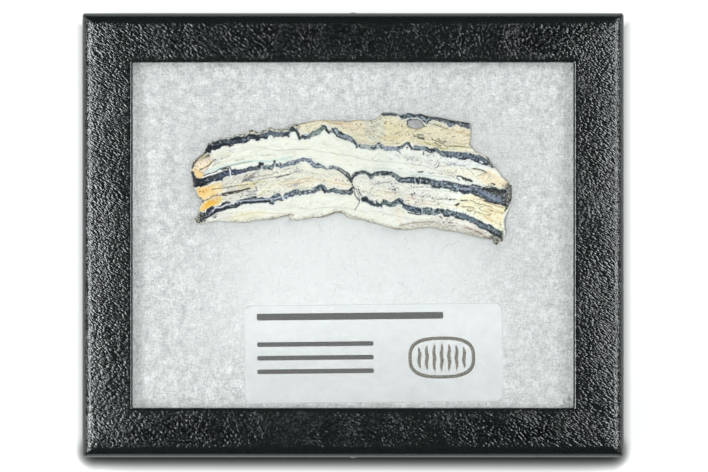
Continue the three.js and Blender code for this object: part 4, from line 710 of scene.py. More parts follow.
    ((130, 140, 134), 0.70, 0.36, 0.15, [(10.06, 15.79), (11.61, 15.02), (12.64, 14.50)]),
    ((20, 26, 34), 0.80, 0.26, 0.10, [(4.64, 15.38), (5.93, 16.10), (7.99, 16.31), (10.06, 16.16)]),
    ((20, 26, 34), 0.85, 0.51, 0.15, [(7.48, 15.64), (9.03, 15.85)]),
    ((130, 138, 146), 0.70, 0.21, 0.10, [(4.89, 15.33), (6.96, 15.79)]),
    ((20, 26, 34), 0.80, 0.26, 0.10, [(-0.12, 14.81), (0.76, 15.79), (2.31, 16.41), (3.60, 16.16), (4.38, 15.38)]),
    ((122, 132, 140), 0.80, 0.26, 0.13, [(0.76, 15.28), (1.80, 15.85), (3.34, 15.85)]),
    ((20, 26, 34), 0.70, 0.41, 0.15, [(4.38, 15.64), (4.53, 14.76)]),
    ((20, 26, 34), 0.75, 0.31, 0.10, [(11.61, 14.09), (12.64, 14.56), (14.19, 14.87), (15.74, 14.92)]),
    ((70, 70, 100), 0.80, 0.31, 0.10, [(11.87, 13.83), (13.68, 13.83), (15.74, 13.88)]),
    ((20, 26, 34), 0.90, 0.56, 0.15, [(16.26, 14.66), (16.67, 13.78)]),
    ((20, 26, 34), 0.80, 0.36, 0.10, [(17.55, 14.50), (18.22, 14.61)]),
    ((20, 26, 34), 0.90, 0.46, 0.13, [(17.71, 13.47), (18.84, 13.47)]),
    ((20, 26, 34), 0.80, 0.36, 0.10, [(18.74, 14.50), (19.62, 14.25)]),
    ((206, 218, 230), 0.75, 0.26, 0.10, [(15.87, 15.12), (15.95, 14.25), (16.16, 13.21)]),
    ((206, 218, 230), 0.80, 0.26, 0.10, [(17.42, 14.50), (17.40, 13.34)]),
    ((150, 170, 196), 0.85, 0.36, 0.13, [(23.23, 14.25), (22.87, 13.83), (22.87, 13.06), (23.18, 12.33)]),
    ((150, 170, 196), 0.60, 0.26, 0.13, [(20.29, 14.09), (20.50, 13.21)]),
    ((20, 26, 34), 0.75, 0.36, 0.13, [(20.39, 12.44), (21.43, 12.33), (22.46, 12.18)]),
    ((20, 26, 34), 0.70, 0.31, 0.13, [(24.27, 13.32), (25.30, 12.95)]),
    ((20, 26, 34), 0.60, 0.31, 0.13, [(16.78, 16.31), (18.07, 16.36)]),
    ((186, 206, 200), 0.50, 0.31, 0.13, [(14.71, 15.43), (17.29, 15.64), (19.88, 15.33), (22.46, 15.07), (25.04, 14.76)]),
    ((20, 26, 34), 0.85, 0.36, 0.10, [(26.85, 15.23), (27.62, 15.23), (28.53, 14.87)]),
    ((60, 68, 62), 0.95, 0.67, 0.15, [(28.50, 14.66), (29.43, 14.35), (30.62, 13.99)]),
    ((90, 104, 130), 0.70, 0.36, 0.13, [(26.75, 14.76), (27.47, 14.14)]),
    ((206, 218, 230), 0.70, 0.21, 0.09, [(27.11, 13.63), (26.75, 12.54), (27.01, 11.71), (27.62, 11.40)]),
    ((190, 190, 216), 0.75, 0.36, 0.13, [(27.62, 12.02), (28.92, 12.02), (30.21, 11.82)]),
    ((20, 26, 34), 0.80, 0.46, 0.13, [(27.37, 11.51), (28.66, 11.15), (29.95, 11.30)]),
    ((214, 218, 224), 0.60, 0.21, 0.09, [(28.40, 13.21), (30.21, 12.80), (32.27, 12.28)]),
    ((20, 26, 34), 0.70, 0.31, 0.10, [(28.14, 12.59), (29.69, 12.39)]),
    ((20, 26, 34), 0.70, 0.31, 0.13, [(30.72, 13.11), (32.02, 12.70)]),
    ((20, 26, 34), 0.95, 0.77, 0.21, [(33.82, 12.02), (35.12, 11.71), (36.15, 11.51)]),
    ((20, 26, 34), 0.95, 0.82, 0.23, [(36.41, 11.82), (37.96, 11.15), (39.25, 11.25)]),
    ((92, 98, 66), 0.70, 0.36, 0.15, [(34.86, 11.25), (36.41, 10.78), (37.70, 10.63)]),
    ((20, 26, 34), 0.80, 0.41, 0.13, [(35.89, 13.32), (36.51, 13.11)]),
    ((20, 26, 34), 0.60, 0.31, 0.10, [(34.96, 13.11)]),
    ((84, 90, 70), 0.60, 0.36, 0.15, [(34.34, 12.54), (35.63, 12.70)]),
    ((120, 146, 190), 0.75, 0.67, 0.26, [(32.79, 11.51), (34.34, 10.47), (35.89, 9.70), (37.96, 8.92)]),
    ((174, 190, 214), 0.50, 0.21, 0.10, [(33.82, 11.15), (35.37, 9.96), (36.92, 8.98)]),
    ((70, 84, 110), 0.60, 0.26, 0.13, [(32.27, 11.25), (33.82, 10.22), (35.37, 9.34)]),
    ((20, 26, 34), 0.90, 0.36, 0.10, [(33.98, 8.92), (35.37, 8.56), (36.92, 8.10)]),
    ((20, 26, 34), 0.90, 0.46, 0.13, [(38.73, 7.84), (39.61, 7.53)]),
    ((20, 26, 34), 0.80, 0.26, 0.10, [(30.47, 11.46), (32.02, 10.99)]),
    ((70, 62, 60), 0.80, 0.36, 0.13, [(30.98, 10.63), (32.02, 10.22)]),
    ((20, 26, 34), 0.95, 0.46, 0.12, [(15.87, 10.76)]),
    ((20, 26, 34), 0.85, 0.26, 0.09, [(14.97, 10.63), (15.38, 10.27)]),
    ((20, 26, 34), 0.70, 0.28, 0.10, [(17.94, 9.72), (18.12, 10.01)]),
    ((96, 84, 66), 0.70, 0.31, 0.10, [(16.52, 12.44)]),
    ((20, 26, 34), 0.80, 0.31, 0.10, [(20.52, 9.60)]),
    ((120, 92, 66), 0.60, 0.28, 0.10, [(21.94, 10.76)]),
    ((20, 26, 34), 0.85, 0.36, 0.10, [(24.27, 9.60)]),
    ((20, 26, 34), 0.85, 0.31, 0.10, [(24.94, 9.21), (25.40, 9.39)]),
    ((20, 26, 34), 0.75, 0.31, 0.10, [(26.08, 9.34)]),
    ((120, 112, 96), 0.70, 0.23, 0.10, [(21.68, 9.18), (23.49, 9.34), (25.04, 9.08), (26.59, 9.21)]),
    ((150, 120, 130), 0.60, 0.26, 0.13, [(14.97, 9.85), (15.74, 9.49)]),
    ((66, 44, 52), 0.95, 0.56, 0.13, [(26.64, 7.79), (27.21, 8.10)]),
    ((66, 44, 52), 0.70, 0.36, 0.10, [(26.18, 7.79)]),
    ((70, 66, 50), 0.80, 0.36, 0.13, [(27.88, 8.92), (29.43, 9.03)]),
    ((110, 96, 60), 0.60, 0.26, 0.12, [(30.21, 9.08), (31.76, 8.30), (33.82, 7.79), (35.89, 7.27)]),
    ((110, 96, 60), 0.60, 0.26, 0.12, [(28.14, 7.27), (29.69, 7.43), (31.24, 7.01)]),
    ((130, 110, 70), 0.60, 0.23, 0.12, [(32.27, 10.11), (33.31, 9.08), (34.86, 8.30), (36.92, 7.53), (38.99, 7.01)]),
    ((130, 104, 60), 0.55, 0.23, 0.12, [(29.17, 6.50), (31.24, 6.24), (33.31, 5.46), (35.37, 5.10)]),
    ((150, 120, 80), 0.50, 0.26, 0.13, [(34.86, 6.75), (36.92, 5.98), (38.99, 5.72)]),
    ((150, 120, 80), 0.50, 0.26, 0.13, [(32.79, 6.60), (34.86, 5.88)]),
    ((214, 180, 120), 0.50, 0.51, 0.26, [(33.82, 4.95), (35.89, 3.40)]),
    ((20, 26, 34), 0.80, 0.36, 0.13, [(39.61, 6.91), (39.09, 6.24)]),
    ((170, 150, 110), 0.45, 0.21, 0.10, [(16.78, 9.23), (19.36, 8.87), (22.46, 8.30), (25.56, 7.68)]),
    ((170, 150, 110), 0.40, 0.21, 0.10, [(17.29, 8.30), (20.39, 7.89), (23.49, 7.37)]),
    ((200, 130, 120), 0.35, 0.26, 0.13, [(14.19, 9.75), (15.74, 9.18)]),
    ((92, 98, 84), 0.60, 0.36, 0.13, [(12.90, 7.27), (13.32, 7.53)]),
    ((40, 38, 36), 0.95, 0.44, 0.12, [(8.33, 28.92)]),
    ((40, 38, 36), 0.70, 0.26, 0.09, [(8.61, 29.33)]),
    ((56, 54, 46), 0.90, 0.36, 0.10, [(8.12, 25.71)]),
    ((70, 66, 54), 0.80, 0.31, 0.10, [(6.60, 25.40)]),
    ((90, 84, 66), 0.70, 0.26, 0.10, [(5.82, 26.85)]),
    ((74, 72, 62), 0.75, 0.26, 0.10, [(4.64, 29.48), (5.00, 28.97)]),
    ((74, 72, 62), 0.70, 0.23, 0.09, [(5.67, 29.90)]),
    ((74, 72, 62), 0.70, 0.23, 0.09, [(4.89, 28.04)]),
    ((74, 72, 62), 0.65, 0.23, 0.09, [(7.12, 30.10)]),
    ((74, 72, 62), 0.60, 0.23, 0.09, [(6.19, 28.45)]),
    ((70, 72, 60), 0.75, 0.31, 0.13, [(15.74, 25.51), (16.78, 25.56)]),
    ((56, 60, 50), 0.85, 0.46, 0.15, [(16.93, 25.20), (18.22, 24.89)]),
    ((84, 98, 96), 0.60, 0.41, 0.18, [(16.52, 25.97), (18.07, 25.92)]),
    ((20, 26, 34), 0.95, 0.39, 0.10, [(20.44, 24.73)]),
    ((96, 92, 66), 0.75, 0.26, 0.10, [(20.65, 24.58), (21.68, 24.27), (22.72, 23.80), (23.75, 23.18), (24.53, 22.56)]),
    ((104, 98, 70), 0.70, 0.26, 0.10, [(20.91, 23.91), (21.94, 23.39), (22.72, 22.92)]),
    ((96, 92, 66), 0.60, 0.26, 0.10, [(21.94, 24.68), (23.23, 24.06), (24.01, 24.16)]),
    ((58, 54, 50), 0.70, 0.26, 0.09, [(23.60, 23.96)]),
    ((58, 54, 50), 0.60, 0.26, 0.09, [(22.30, 24.42)]),
    ((104, 98, 52), 0.80, 0.28, 0.12, [(24.78, 22.92), (26.59, 22.98), (28.40, 22.82), (29.69, 22.72)]),
    ((150, 140, 60), 0.60, 0.26, 0.13, [(18.33, 24.06), (20.39, 23.44), (22.46, 22.51), (24.01, 22.25)]),
    ((104, 98, 70), 0.65, 0.26, 0.10, [(20.91, 28.81), (21.94, 28.19), (22.72, 28.04), (24.01, 27.42)]),
    ((104, 98, 70), 0.60, 0.23, 0.10, [(21.43, 28.19), (22.20, 28.55)]),
    ((58, 54, 50), 0.65, 0.26, 0.09, [(22.61, 28.35)]),
    ((150, 130, 90), 0.45, 0.23, 0.13, [(26.59, 26.49), (28.66, 26.28), (30.47, 26.13)]),
    ((190, 150, 110), 0.45, 0.23, 0.13, [(24.53, 27.16), (27.11, 26.75), (29.69, 26.90)]),
    ((196, 164, 110), 0.40, 0.23, 0.13, [(2.83, 26.64), (4.89, 26.13), (6.96, 25.35), (10.06, 25.09)]),
    ((196, 164, 110), 0.40, 0.23, 0.13, [(10.58, 24.99), (12.64, 25.87), (14.19, 26.39)]),
    ((110, 96, 60), 0.85, 0.31, 0.13, [(-14.99, 28.55), (-13.70, 28.76), (-11.89, 29.07)]),
    ((150, 130, 90), 0.50, 0.26, 0.13, [(-11.89, 29.07), (-10.09, 29.48)]),
    ((150, 120, 80), 0.50, 0.26, 0.15, [(-8.02, 29.85), (-5.44, 28.97), (-2.85, 28.55)]),
    ((170, 110, 80), 0.35, 0.31, 0.18, [(-4.92, 28.81), (-1.82, 28.97)]),
    ((220, 232, 244), 0.70, 0.36, 0.18, [(-6.73, 28.30), (-5.95, 27.57), (-5.33, 26.90)]),
    ((206, 216, 236), 0.80, 0.36, 0.15, [(-13.19, 26.90), (-12.15, 25.71), (-11.48, 26.13)]),
    ((190, 196, 216), 0.60, 0.31, 0.15, [(-1.92, 25.66), (-0.79, 24.99), (0.25, 24.22)]),
    ((20, 26, 34), 0.90, 0.82, 0.23, [(-37.83, 22.15), (-37.05, 21.58)]),
    ((20, 26, 34), 0.85, 0.56, 0.18, [(-37.47, 22.87), (-36.43, 22.67), (-35.40, 22.77)]),
    ((20, 26, 34), 0.80, 0.67, 0.21, [(-34.62, 23.03), (-33.33, 23.39), (-32.04, 23.39)]),
    ((86, 100, 110), 0.70, 0.51, 0.23, [(-33.33, 24.06), (-31.78, 24.11)]),
    ((20, 26, 34), 0.85, 0.46, 0.15, [(-30.75, 24.68), (-29.20, 24.78)]),
    ((20, 26, 34), 0.85, 0.62, 0.18, [(-26.62, 25.71), (-25.33, 25.61), (-24.55, 24.84)]),
    ((86, 98, 110), 0.70, 0.51, 0.23, [(-21.97, 26.08), (-20.42, 26.54)]),
    ((20, 26, 34), 0.75, 0.41, 0.15, [(-23.52, 25.20), (-22.23, 24.94)]),
    ((100, 112, 124), 0.70, 0.51, 0.23, [(-19.39, 26.33), (-18.09, 26.13)]),
    ((20, 26, 34), 0.80, 0.41, 0.15, [(-17.84, 25.97), (-16.80, 26.44)]),
    ((20, 26, 34), 0.85, 0.67, 0.21, [(-15.77, 27.68), (-15.10, 27.26)]),
    ((20, 26, 34), 0.90, 0.36, 0.13, [(-14.58, 26.90), (-13.96, 25.61), (-13.60, 24.68)]),
    ((70, 82, 76), 0.80, 0.46, 0.18, [(-16.29, 27.01), (-15.51, 27.93)]),
    ((110, 124, 132), 0.60, 0.51, 0.23, [(-12.67, 25.35), (-11.64, 25.15)]),
    ((20, 26, 34), 0.80, 0.31, 0.13, [(-13.19, 25.51), (-11.89, 25.46)]),
    ((124, 140, 128), 0.70, 0.51, 0.23, [(-10.86, 25.87), (-9.57, 26.90), (-8.28, 27.78)]),
    ((20, 26, 34), 0.80, 0.36, 0.13, [(-8.02, 28.30), (-7.25, 28.04), (-6.73, 27.16)]),
    ((20, 26, 34), 0.85, 0.46, 0.15, [(-6.73, 27.06), (-6.21, 26.33)]),
    ((20, 26, 34), 0.80, 0.31, 0.10, [(-5.31, 27.57), (-4.82, 26.54), (-4.25, 25.77)]),
    ((20, 26, 34), 0.95, 0.51, 0.13, [(-3.37, 26.49), (-2.60, 26.08)]),
    ((112, 122, 146), 0.70, 0.56, 0.23, [(-2.34, 25.09), (-1.05, 24.58), (-0.27, 24.06)]),
    ((20, 26, 34), 0.70, 0.31, 0.13, [(-4.15, 25.66), (-2.85, 24.94), (-1.82, 24.58)]),
    ((20, 26, 34), 0.75, 0.31, 0.13, [(-0.01, 24.42), (0.76, 23.39), (1.02, 22.67)]),
    ((176, 184, 180), 0.75, 0.56, 0.26, [(2.05, 23.03), (3.34, 22.87), (4.38, 22.61)]),
    ((20, 26, 34), 0.75, 0.41, 0.13, [(4.64, 22.56), (5.41, 22.36)]),
    ((20, 26, 34), 0.70, 0.36, 0.13, [(6.34, 23.65), (6.96, 23.80)]),
    ((150, 156, 180), 0.70, 0.62, 0.26, [(8.25, 22.51), (10.06, 22.36), (11.09, 22.30)]),
    ((20, 26, 34), 0.80, 0.31, 0.10, [(6.96, 23.18), (7.48, 22.36)]),
    ((20, 26, 34), 0.75, 0.31, 0.10, [(11.46, 22.51), (12.39, 22.87)]),
    ((20, 26, 34), 0.70, 0.23, 0.09, [(11.35, 21.74), (11.87, 21.58), (12.26, 21.06)]),
    ((20, 26, 34), 0.95, 0.49, 0.12, [(13.94, 22.67)]),
    ((86, 98, 116), 0.70, 0.41, 0.15, [(13.16, 23.03), (13.94, 23.91)]),
    ((20, 26, 34), 0.75, 0.31, 0.10, [(14.45, 23.91), (14.87, 23.13), (15.23, 22.41)]),
    ((248, 250, 250), 0.85, 0.62, 0.21, [(15.12, 23.49), (15.48, 23.03)]),
    ((140, 156, 170), 0.70, 0.56, 0.23, [(16.26, 22.61), (18.33, 22.51)]),
    ((20, 26, 34), 0.70, 0.36, 0.13, [(15.74, 22.15), (17.29, 21.94)]),
    ((20, 26, 34), 0.80, 0.41, 0.13, [(19.10, 22.61), (19.88, 21.99), (21.17, 21.89)]),
    ((20, 26, 34), 0.70, 0.31, 0.10, [(18.20, 21.48), (18.22, 20.75)]),
    ((20, 26, 34), 0.80, 0.31, 0.09, [(19.23, 20.50)]),
    ((20, 26, 34), 0.70, 0.31, 0.09, [(14.09, 19.41)]),
    ((20, 26, 34), 0.80, 0.33, 0.10, [(22.61, 19.93)]),
    ((20, 26, 34), 0.95, 0.49, 0.13, [(25.15, 20.13)]),
    ((20, 26, 34), 0.95, 0.46, 0.13, [(28.81, 19.67), (29.43, 19.88)]),
    ((90, 112, 150), 0.60, 0.51, 0.23, [(24.01, 20.96), (25.56, 20.55), (27.11, 20.60)]),
    ((90, 112, 150), 0.60, 0.51, 0.23, [(28.66, 20.44), (30.72, 20.03)]),
    ((70, 84, 110), 0.70, 0.46, 0.21, [(31.76, 19.77), (33.31, 19.41)]),
    ((176, 190, 206), 0.60, 0.21, 0.09, [(22.46, 21.48), (23.49, 20.44), (24.01, 19.41)]),
    ((176, 190, 206), 0.50, 0.21, 0.09, [(27.37, 21.32), (26.85, 20.44)]),
    ((20, 26, 34), 0.85, 0.41, 0.13, [(31.24, 19.15), (32.27, 18.95)]),
    ((110, 112, 110), 0.80, 0.51, 0.18, [(34.44, 20.19), (34.86, 19.51)]),
    ((248, 250, 250), 0.90, 0.41, 0.13, [(32.79, 19.00), (33.46, 18.74)]),
    ((20, 26, 34), 0.85, 0.36, 0.13, [(33.82, 18.64), (35.12, 18.07)]),
    ((20, 26, 34), 0.90, 0.41, 0.13, [(35.63, 17.81), (36.25, 17.45)]),
    ((248, 250, 250), 0.85, 0.31, 0.10, [(34.86, 18.07), (35.53, 17.91)]),
    ((20, 26, 34), 0.70, 0.31, 0.13, [(35.01, 19.93), (35.37, 18.89)]),
    ((120, 128, 124), 0.70, 0.21, 0.09, [(21.94, 19.41), (21.53, 18.64), (21.04, 17.99)]),
    ((110, 110, 100), 0.75, 0.21, 0.09, [(22.20, 18.89), (22.07, 17.99), (21.68, 17.47), (21.04, 17.34)]),
    ((200, 190, 130), 0.70, 0.21, 0.09, [(22.20, 17.86), (23.49, 17.73), (24.53, 18.12)]),
    ((104, 96, 86), 0.70, 0.31, 0.10, [(17.03, 16.16), (18.07, 16.41)]),
    ((104, 96, 86), 0.70, 0.26, 0.10, [(19.88, 15.92), (20.65, 16.05)]),
    ((96, 84, 90), 0.75, 0.33, 0.10, [(22.85, 15.90)]),
    ((110, 104, 92), 0.65, 0.31, 0.10, [(25.43, 15.38)]),
    ((150, 158, 166), 0.60, 0.41, 0.18, [(24.53, 18.02), (25.56, 18.48), (26.59, 18.12)]),
    ((130, 138, 140), 0.60, 0.31, 0.15, [(27.37, 17.96), (28.92, 17.86)]),
    ((96, 98, 72), 0.85, 0.36, 0.12, [(30.98, 17.19), (32.79, 16.93), (34.34, 16.26)]),
    ((150, 150, 150), 0.50, 0.26, 0.13, [(29.17, 17.34), (30.21, 16.83), (31.24, 15.54)]),
    ((130, 140, 120), 0.50, 0.23, 0.12, [(31.76, 15.18), (33.31, 15.79), (34.86, 16.05)]),
    ((140, 150, 150), 0.50, 0.26, 0.13, [(14.19, 19.41), (14.71, 20.19)]),
    ((150, 160, 170), 0.40, 0.46, 0.21, [(11.09, 20.70), (11.87, 20.19)]),
    ((150, 160, 170), 0.40, 0.36, 0.18, [(13.16, 20.19), (14.19, 19.51)]),
    ((130, 136, 136), 0.50, 0.26, 0.10, [(14.09, 19.51)]),
    ((130, 136, 136), 0.50, 0.26, 0.10, [(12.75, 20.44)]),
    ((140, 140, 130), 0.50, 0.21, 0.10, [(19.88, 19.15), (20.65, 19.41)]),
    ((140, 140, 130), 0.45, 0.21, 0.10, [(16.78, 18.12), (17.55, 18.38)]),
    ((120, 116, 100), 0.55, 0.23, 0.09, [(16.26, 20.08)]),
    ((120, 116, 100), 0.50, 0.23, 0.09, [(18.58, 19.00)]),
    ((176, 186, 196), 0.50, 0.36, 0.18, [(9.29, 19.82), (10.06, 19.51)]),
    ((150, 150, 150), 0.30, 0.21, 0.13, [(14.97, 18.38), (18.33, 17.86), (21.43, 16.83), (24.53, 16.05), (27.11, 15.43)]),
    ((20, 26, 34), 0.85, 0.46, 0.15, [(12.23, 30.62), (13.06, 30.41)]),
    ((92, 106, 128), 0.70, 0.46, 0.21, [(8.51, 31.34), (10.06, 31.45), (11.09, 31.19)]),
    ((104, 118, 140), 0.70, 0.41, 0.18, [(13.94, 30.72), (15.74, 30.88), (16.78, 30.78)]),
    ((20, 26, 34), 0.80, 0.31, 0.12, [(7.74, 30.93), (9.54, 31.03), (11.09, 30.78)]),
    ((200, 216, 234), 0.60, 0.26, 0.13, [(11.35, 30.88), (12.02, 30.26)]),
    ((20, 26, 34), 0.85, 0.41, 0.13, [(14.19, 31.40), (14.97, 31.19), (16.00, 30.67)]),
    ((20, 26, 34), 0.85, 0.46, 0.13, [(17.29, 31.14), (18.33, 30.78), (19.10, 30.26)]),
    ((180, 196, 214), 0.75, 0.26, 0.10, [(17.81, 30.67), (18.48, 30.00), (19.10, 29.23)]),
    ((112, 124, 146), 0.70, 0.41, 0.18, [(21.43, 30.10), (23.49, 29.85)]),
    ((20, 26, 34), 0.80, 0.31, 0.10, [(20.91, 30.52), (22.46, 30.10), (24.01, 30.00)]),
    ((20, 26, 34), 0.90, 0.51, 0.15, [(25.04, 29.38), (26.08, 29.23)]),
    ((124, 134, 170), 0.70, 0.36, 0.15, [(24.53, 28.55), (25.56, 28.04)]),
    ((20, 26, 34), 0.90, 0.56, 0.18, [(28.40, 29.12), (29.85, 28.81)]),
    ((96, 106, 140), 0.70, 0.36, 0.15, [(26.59, 29.07), (27.37, 28.45), (27.88, 28.04)]),
    ((84, 92, 110), 0.70, 0.36, 0.15, [(28.66, 27.93), (29.95, 27.78)]),
    ((20, 26, 34), 0.95, 0.31, 0.09, [(13.99, 29.38), (14.61, 29.85), (15.48, 29.69), (16.52, 29.85), (17.29, 29.38), (17.96, 28.66), (18.43, 28.09)]),
    ((20, 26, 34), 0.60, 0.26, 0.10, [(13.99, 29.23), (13.99, 28.55)]),
    ((170, 186, 200), 0.80, 0.26, 0.10, [(13.78, 29.59), (14.71, 30.26), (16.78, 30.36), (17.71, 29.74)]),
    ((170, 164, 110), 0.60, 0.26, 0.12, [(14.19, 28.19), (15.23, 27.57), (16.26, 27.21), (17.55, 27.52), (18.33, 27.99)]),
    ((20, 26, 34), 0.80, 0.36, 0.13, [(11.61, 9.08), (12.39, 8.41), (13.16, 7.68)]),
    ((96, 106, 160), 0.60, 0.36, 0.18, [(12.64, 7.27), (14.19, 6.60)]),
    ((20, 26, 34), 0.75, 0.31, 0.13, [(14.19, 5.82), (15.74, 5.46), (17.29, 5.26)]),
    ((206, 218, 230), 0.80, 0.33, 0.10, [(17.91, 7.32), (17.81, 6.50), (17.86, 5.20)]),
    ((206, 218, 230), 0.70, 0.28, 0.10, [(20.96, 7.01), (20.81, 5.98), (20.91, 5.05)]),
    ((20, 26, 34), 0.85, 0.36, 0.13, [(16.52, 6.60), (17.40, 6.13)]),
    ((100, 114, 120), 0.70, 0.77, 0.31, [(18.84, 6.08), (19.88, 6.08)]),
    ((20, 26, 34), 0.80, 0.31, 0.13, [(21.43, 5.98), (22.10, 6.75)]),
    ((20, 26, 34), 0.80, 0.41, 0.13, [(22.72, 6.60), (23.23, 5.82)]),
    ((20, 26, 34), 0.90, 0.41, 0.13, [(23.49, 5.00), (24.78, 4.89)]),
    ((196, 206, 214), 0.70, 0.23, 0.10, [(26.33, 6.60), (25.56, 5.98), (24.63, 5.36)]),
    ((20, 26, 34), 0.95, 0.41, 0.12, [(26.44, 4.58), (27.88, 4.27)]),
    ((96, 120, 150), 0.60, 0.62, 0.28, [(27.62, 5.36), (29.69, 4.43), (31.76, 3.40)]),
    ((96, 120, 150), 0.50, 0.51, 0.26, [(32.79, 3.14), (34.86, 1.85)]),
    ((20, 26, 34), 0.90, 0.41, 0.13, [(32.38, 3.55), (33.31, 3.34)]),
    ((20, 26, 34), 0.90, 0.36, 0.12, [(32.53, 2.00), (33.05, 1.90)]),
    ((20, 26, 34), 0.90, 0.41, 0.13, [(35.12, 2.73), (35.89, 2.26)]),
    ((20, 26, 34), 0.90, 0.46, 0.13, [(34.50, 1.43), (35.37, 0.81), (36.41, 0.19)]),
    ((20, 26, 34), 0.80, 0.41, 0.13, [(37.44, 1.07), (38.47, 0.30)]),
    ((110, 130, 110), 0.70, 0.36, 0.15, [(37.18, 1.49), (38.22, 0.81)]),
    ((20, 26, 34), 0.85, 0.36, 0.13, [(36.41, 0.81), (37.44, -0.22), (38.47, -0.74)]),
    ((150, 160, 170), 0.70, 0.26, 0.13, [(35.89, 1.59), (36.92, 0.56)]),
    ((20, 26, 34), 0.80, 0.31, 0.10, [(22.46, 4.79), (22.98, 4.33)]),
    ((104, 88, 74), 0.80, 0.31, 0.10, [(22.98, 4.43)]),
    ((104, 88, 74), 0.80, 0.28, 0.10, [(24.01, 4.02)]),
    ((96, 84, 72), 0.80, 0.33, 0.10, [(23.39, 3.40)]),
    ((104, 88, 74), 0.70, 0.31, 0.12, [(24.53, 3.29), (25.56, 3.19)]),
    ((104, 88, 74), 0.70, 0.26, 0.10, [(26.72, 3.14)]),
    ((130, 96, 80), 0.60, 0.31, 0.13, [(29.17, 1.95), (30.72, 1.49)]),
    ((120, 96, 84), 0.60, 0.36, 0.15, [(31.76, 1.07), (33.31, 0.30)]),
    ((110, 100, 90), 0.60, 0.36, 0.15, [(33.82, -0.22), (35.37, -0.99)]),
    ((150, 144, 134), 0.60, 0.31, 0.15, [(30.21, 0.81), (32.27, -0.22)]),
]
# enamel along each ridge: x mm, colour of the core, colour of the rim
ENAMEL = {
    "E0": [(7.0, (78, 92, 112), (34, 42, 54)), (12.1, (60, 72, 90), (26, 32, 42)), (15.2, (92, 106, 128), (38, 48, 62)), (22.5, (96, 108, 132), (40, 48, 66)), (30.2, (84, 94, 120), (28, 34, 46))],
    "E1": [(-38.8, (46, 56, 64), (18, 24, 32)), (-34.9, (52, 64, 74), (20, 26, 34)), (-29.2, (66, 78, 92), (26, 32, 42)), (-23.5, (74, 86, 102), (32, 38, 50)), (-17.6, (84, 96, 108), (38, 46, 56)), (-13.2, (104, 118, 124), (44, 54, 58)), (-8.5, (112, 128, 120), (52, 62, 60)), (-3.4, (98, 108, 132), (36, 42, 56)), (0.8, (128, 140, 148), (56, 64, 78)), (3.9, (164, 172, 170), (112, 120, 140)), (6.4, (126, 134, 146), (80, 88, 104)), (10.1, (148, 154, 172), (104, 108, 134)), (14.2, (116, 128, 142), (58, 66, 82)), (18.3, (134, 148, 160), (84, 96, 116)), (22.5, (96, 112, 134), (48, 58, 80)), (30.2, (80, 98, 134), (38, 46, 74)), (36.1, (78, 90, 118), (34, 40, 56))],
    "E2": [(-41.6, (34, 40, 40), (16, 20, 24)), (-38.5, (72, 82, 80), (26, 32, 34)), (-35.9, (88, 100, 112), (36, 44, 54)), (-31.3, (98, 108, 130), (56, 62, 88)), (-25.3, (98, 114, 124), (52, 62, 78)), (-21.5, (104, 124, 124), (60, 74, 78)), (-17.3, (120, 132, 148), (82, 92, 112)), (-12.2, (114, 124, 148), (70, 78, 104)), (-6.0, (112, 120, 140), (58, 66, 84)), (-2.1, (92, 100, 112), (34, 38, 46)), (2.3, (122, 132, 140), (40, 46, 56)), (7.0, (92, 102, 112), (36, 40, 52)), (12.1, (96, 104, 128), (46, 50, 70)), (17.3, (60, 70, 92), (22, 28, 40)), (22.5, (84, 100, 128), (34, 42, 60)), (28.1, (92, 112, 146), (36, 46, 66)), (32.8, (80, 96, 128), (26, 32, 42)), (39.5, (88, 98, 112), (30, 36, 42))],
    "E3": [(-39.5, (92, 94, 100), (30, 32, 36)), (-36.4, (90, 94, 106), (36, 40, 48)), (-32.8, (84, 94, 100), (32, 40, 46)), (-27.7, (80, 92, 104), (26, 34, 40)), (-21.5, (84, 96, 118), (34, 42, 60)), (-16.3, (88, 100, 126), (46, 54, 78)), (-9.1, (70, 86, 104), (34, 44, 60)), (-3.4, (74, 90, 104), (38, 50, 60)), (0.2, (60, 70, 82), (24, 30, 38))],
    "E3B": [(2.1, (62, 72, 92), (28, 34, 50)), (5.9, (60, 72, 92), (28, 34, 46)), (10.1, (66, 82, 96), (36, 46, 54)), (13.2, (70, 86, 118), (38, 46, 84)), (17.3, (66, 82, 112), (32, 40, 62)), (19.9, (104, 122, 134), (52, 62, 78)), (23.8, (78, 98, 124), (34, 44, 60)), (29.7, (84, 112, 142), (44, 58, 86)), (34.3, (88, 110, 140), (40, 52, 76)), (38.2, (96, 112, 126), (34, 40, 48))],
}
# where grains show, and how strongly
SPECKLED = [
    ([(2.31, 31.29), (12.13, 30.78), (13.16, 24.06), (4.89, 23.80), (2.31, 27.16)], 0.55),
    ([(-35.92, 13.73), (-23.52, 17.34), (-23.00, 9.08), (-33.85, 8.05)], 0.55),
    ([(-23.52, 16.31), (-14.74, 17.86), (-13.70, 12.70), (-23.00, 9.60)], 0.30),
    ([(4.89, 14.76), (12.13, 14.76), (13.16, 10.63), (4.89, 11.15)], 0.30),
    ([(13.16, 12.70), (26.59, 11.66), (37.96, 8.05), (36.92, 2.36), (26.59, 5.98), (14.19, 8.56)], 0.45),
    ([(13.16, 21.99), (22.46, 20.96), (30.21, 19.41), (32.79, 15.28), (13.16, 14.76)], 0.35),
    ([(-41.08, 19.93), (-36.43, 20.70), (-36.43, 14.76), (-41.60, 14.76)], 0.50),
    ([(-40.57, 12.70), (-33.85, 13.21), (-33.85, 7.53), (-39.53, 7.01)], 0.40),
    ([(21.43, 5.20), (28.14, 3.91), (35.37, 0.30), (36.41, -2.29), (28.14, -0.22), (12.13, 0.81), (12.13, 2.88)], 0.60),
    ([(15.74, 26.64), (31.24, 24.06), (31.24, 21.99), (19.88, 23.03), (14.71, 24.06)], 0.40),
    ([(30.21, 18.38), (37.96, 15.28), (40.54, 12.70), (32.79, 13.21)], 0.25),
]
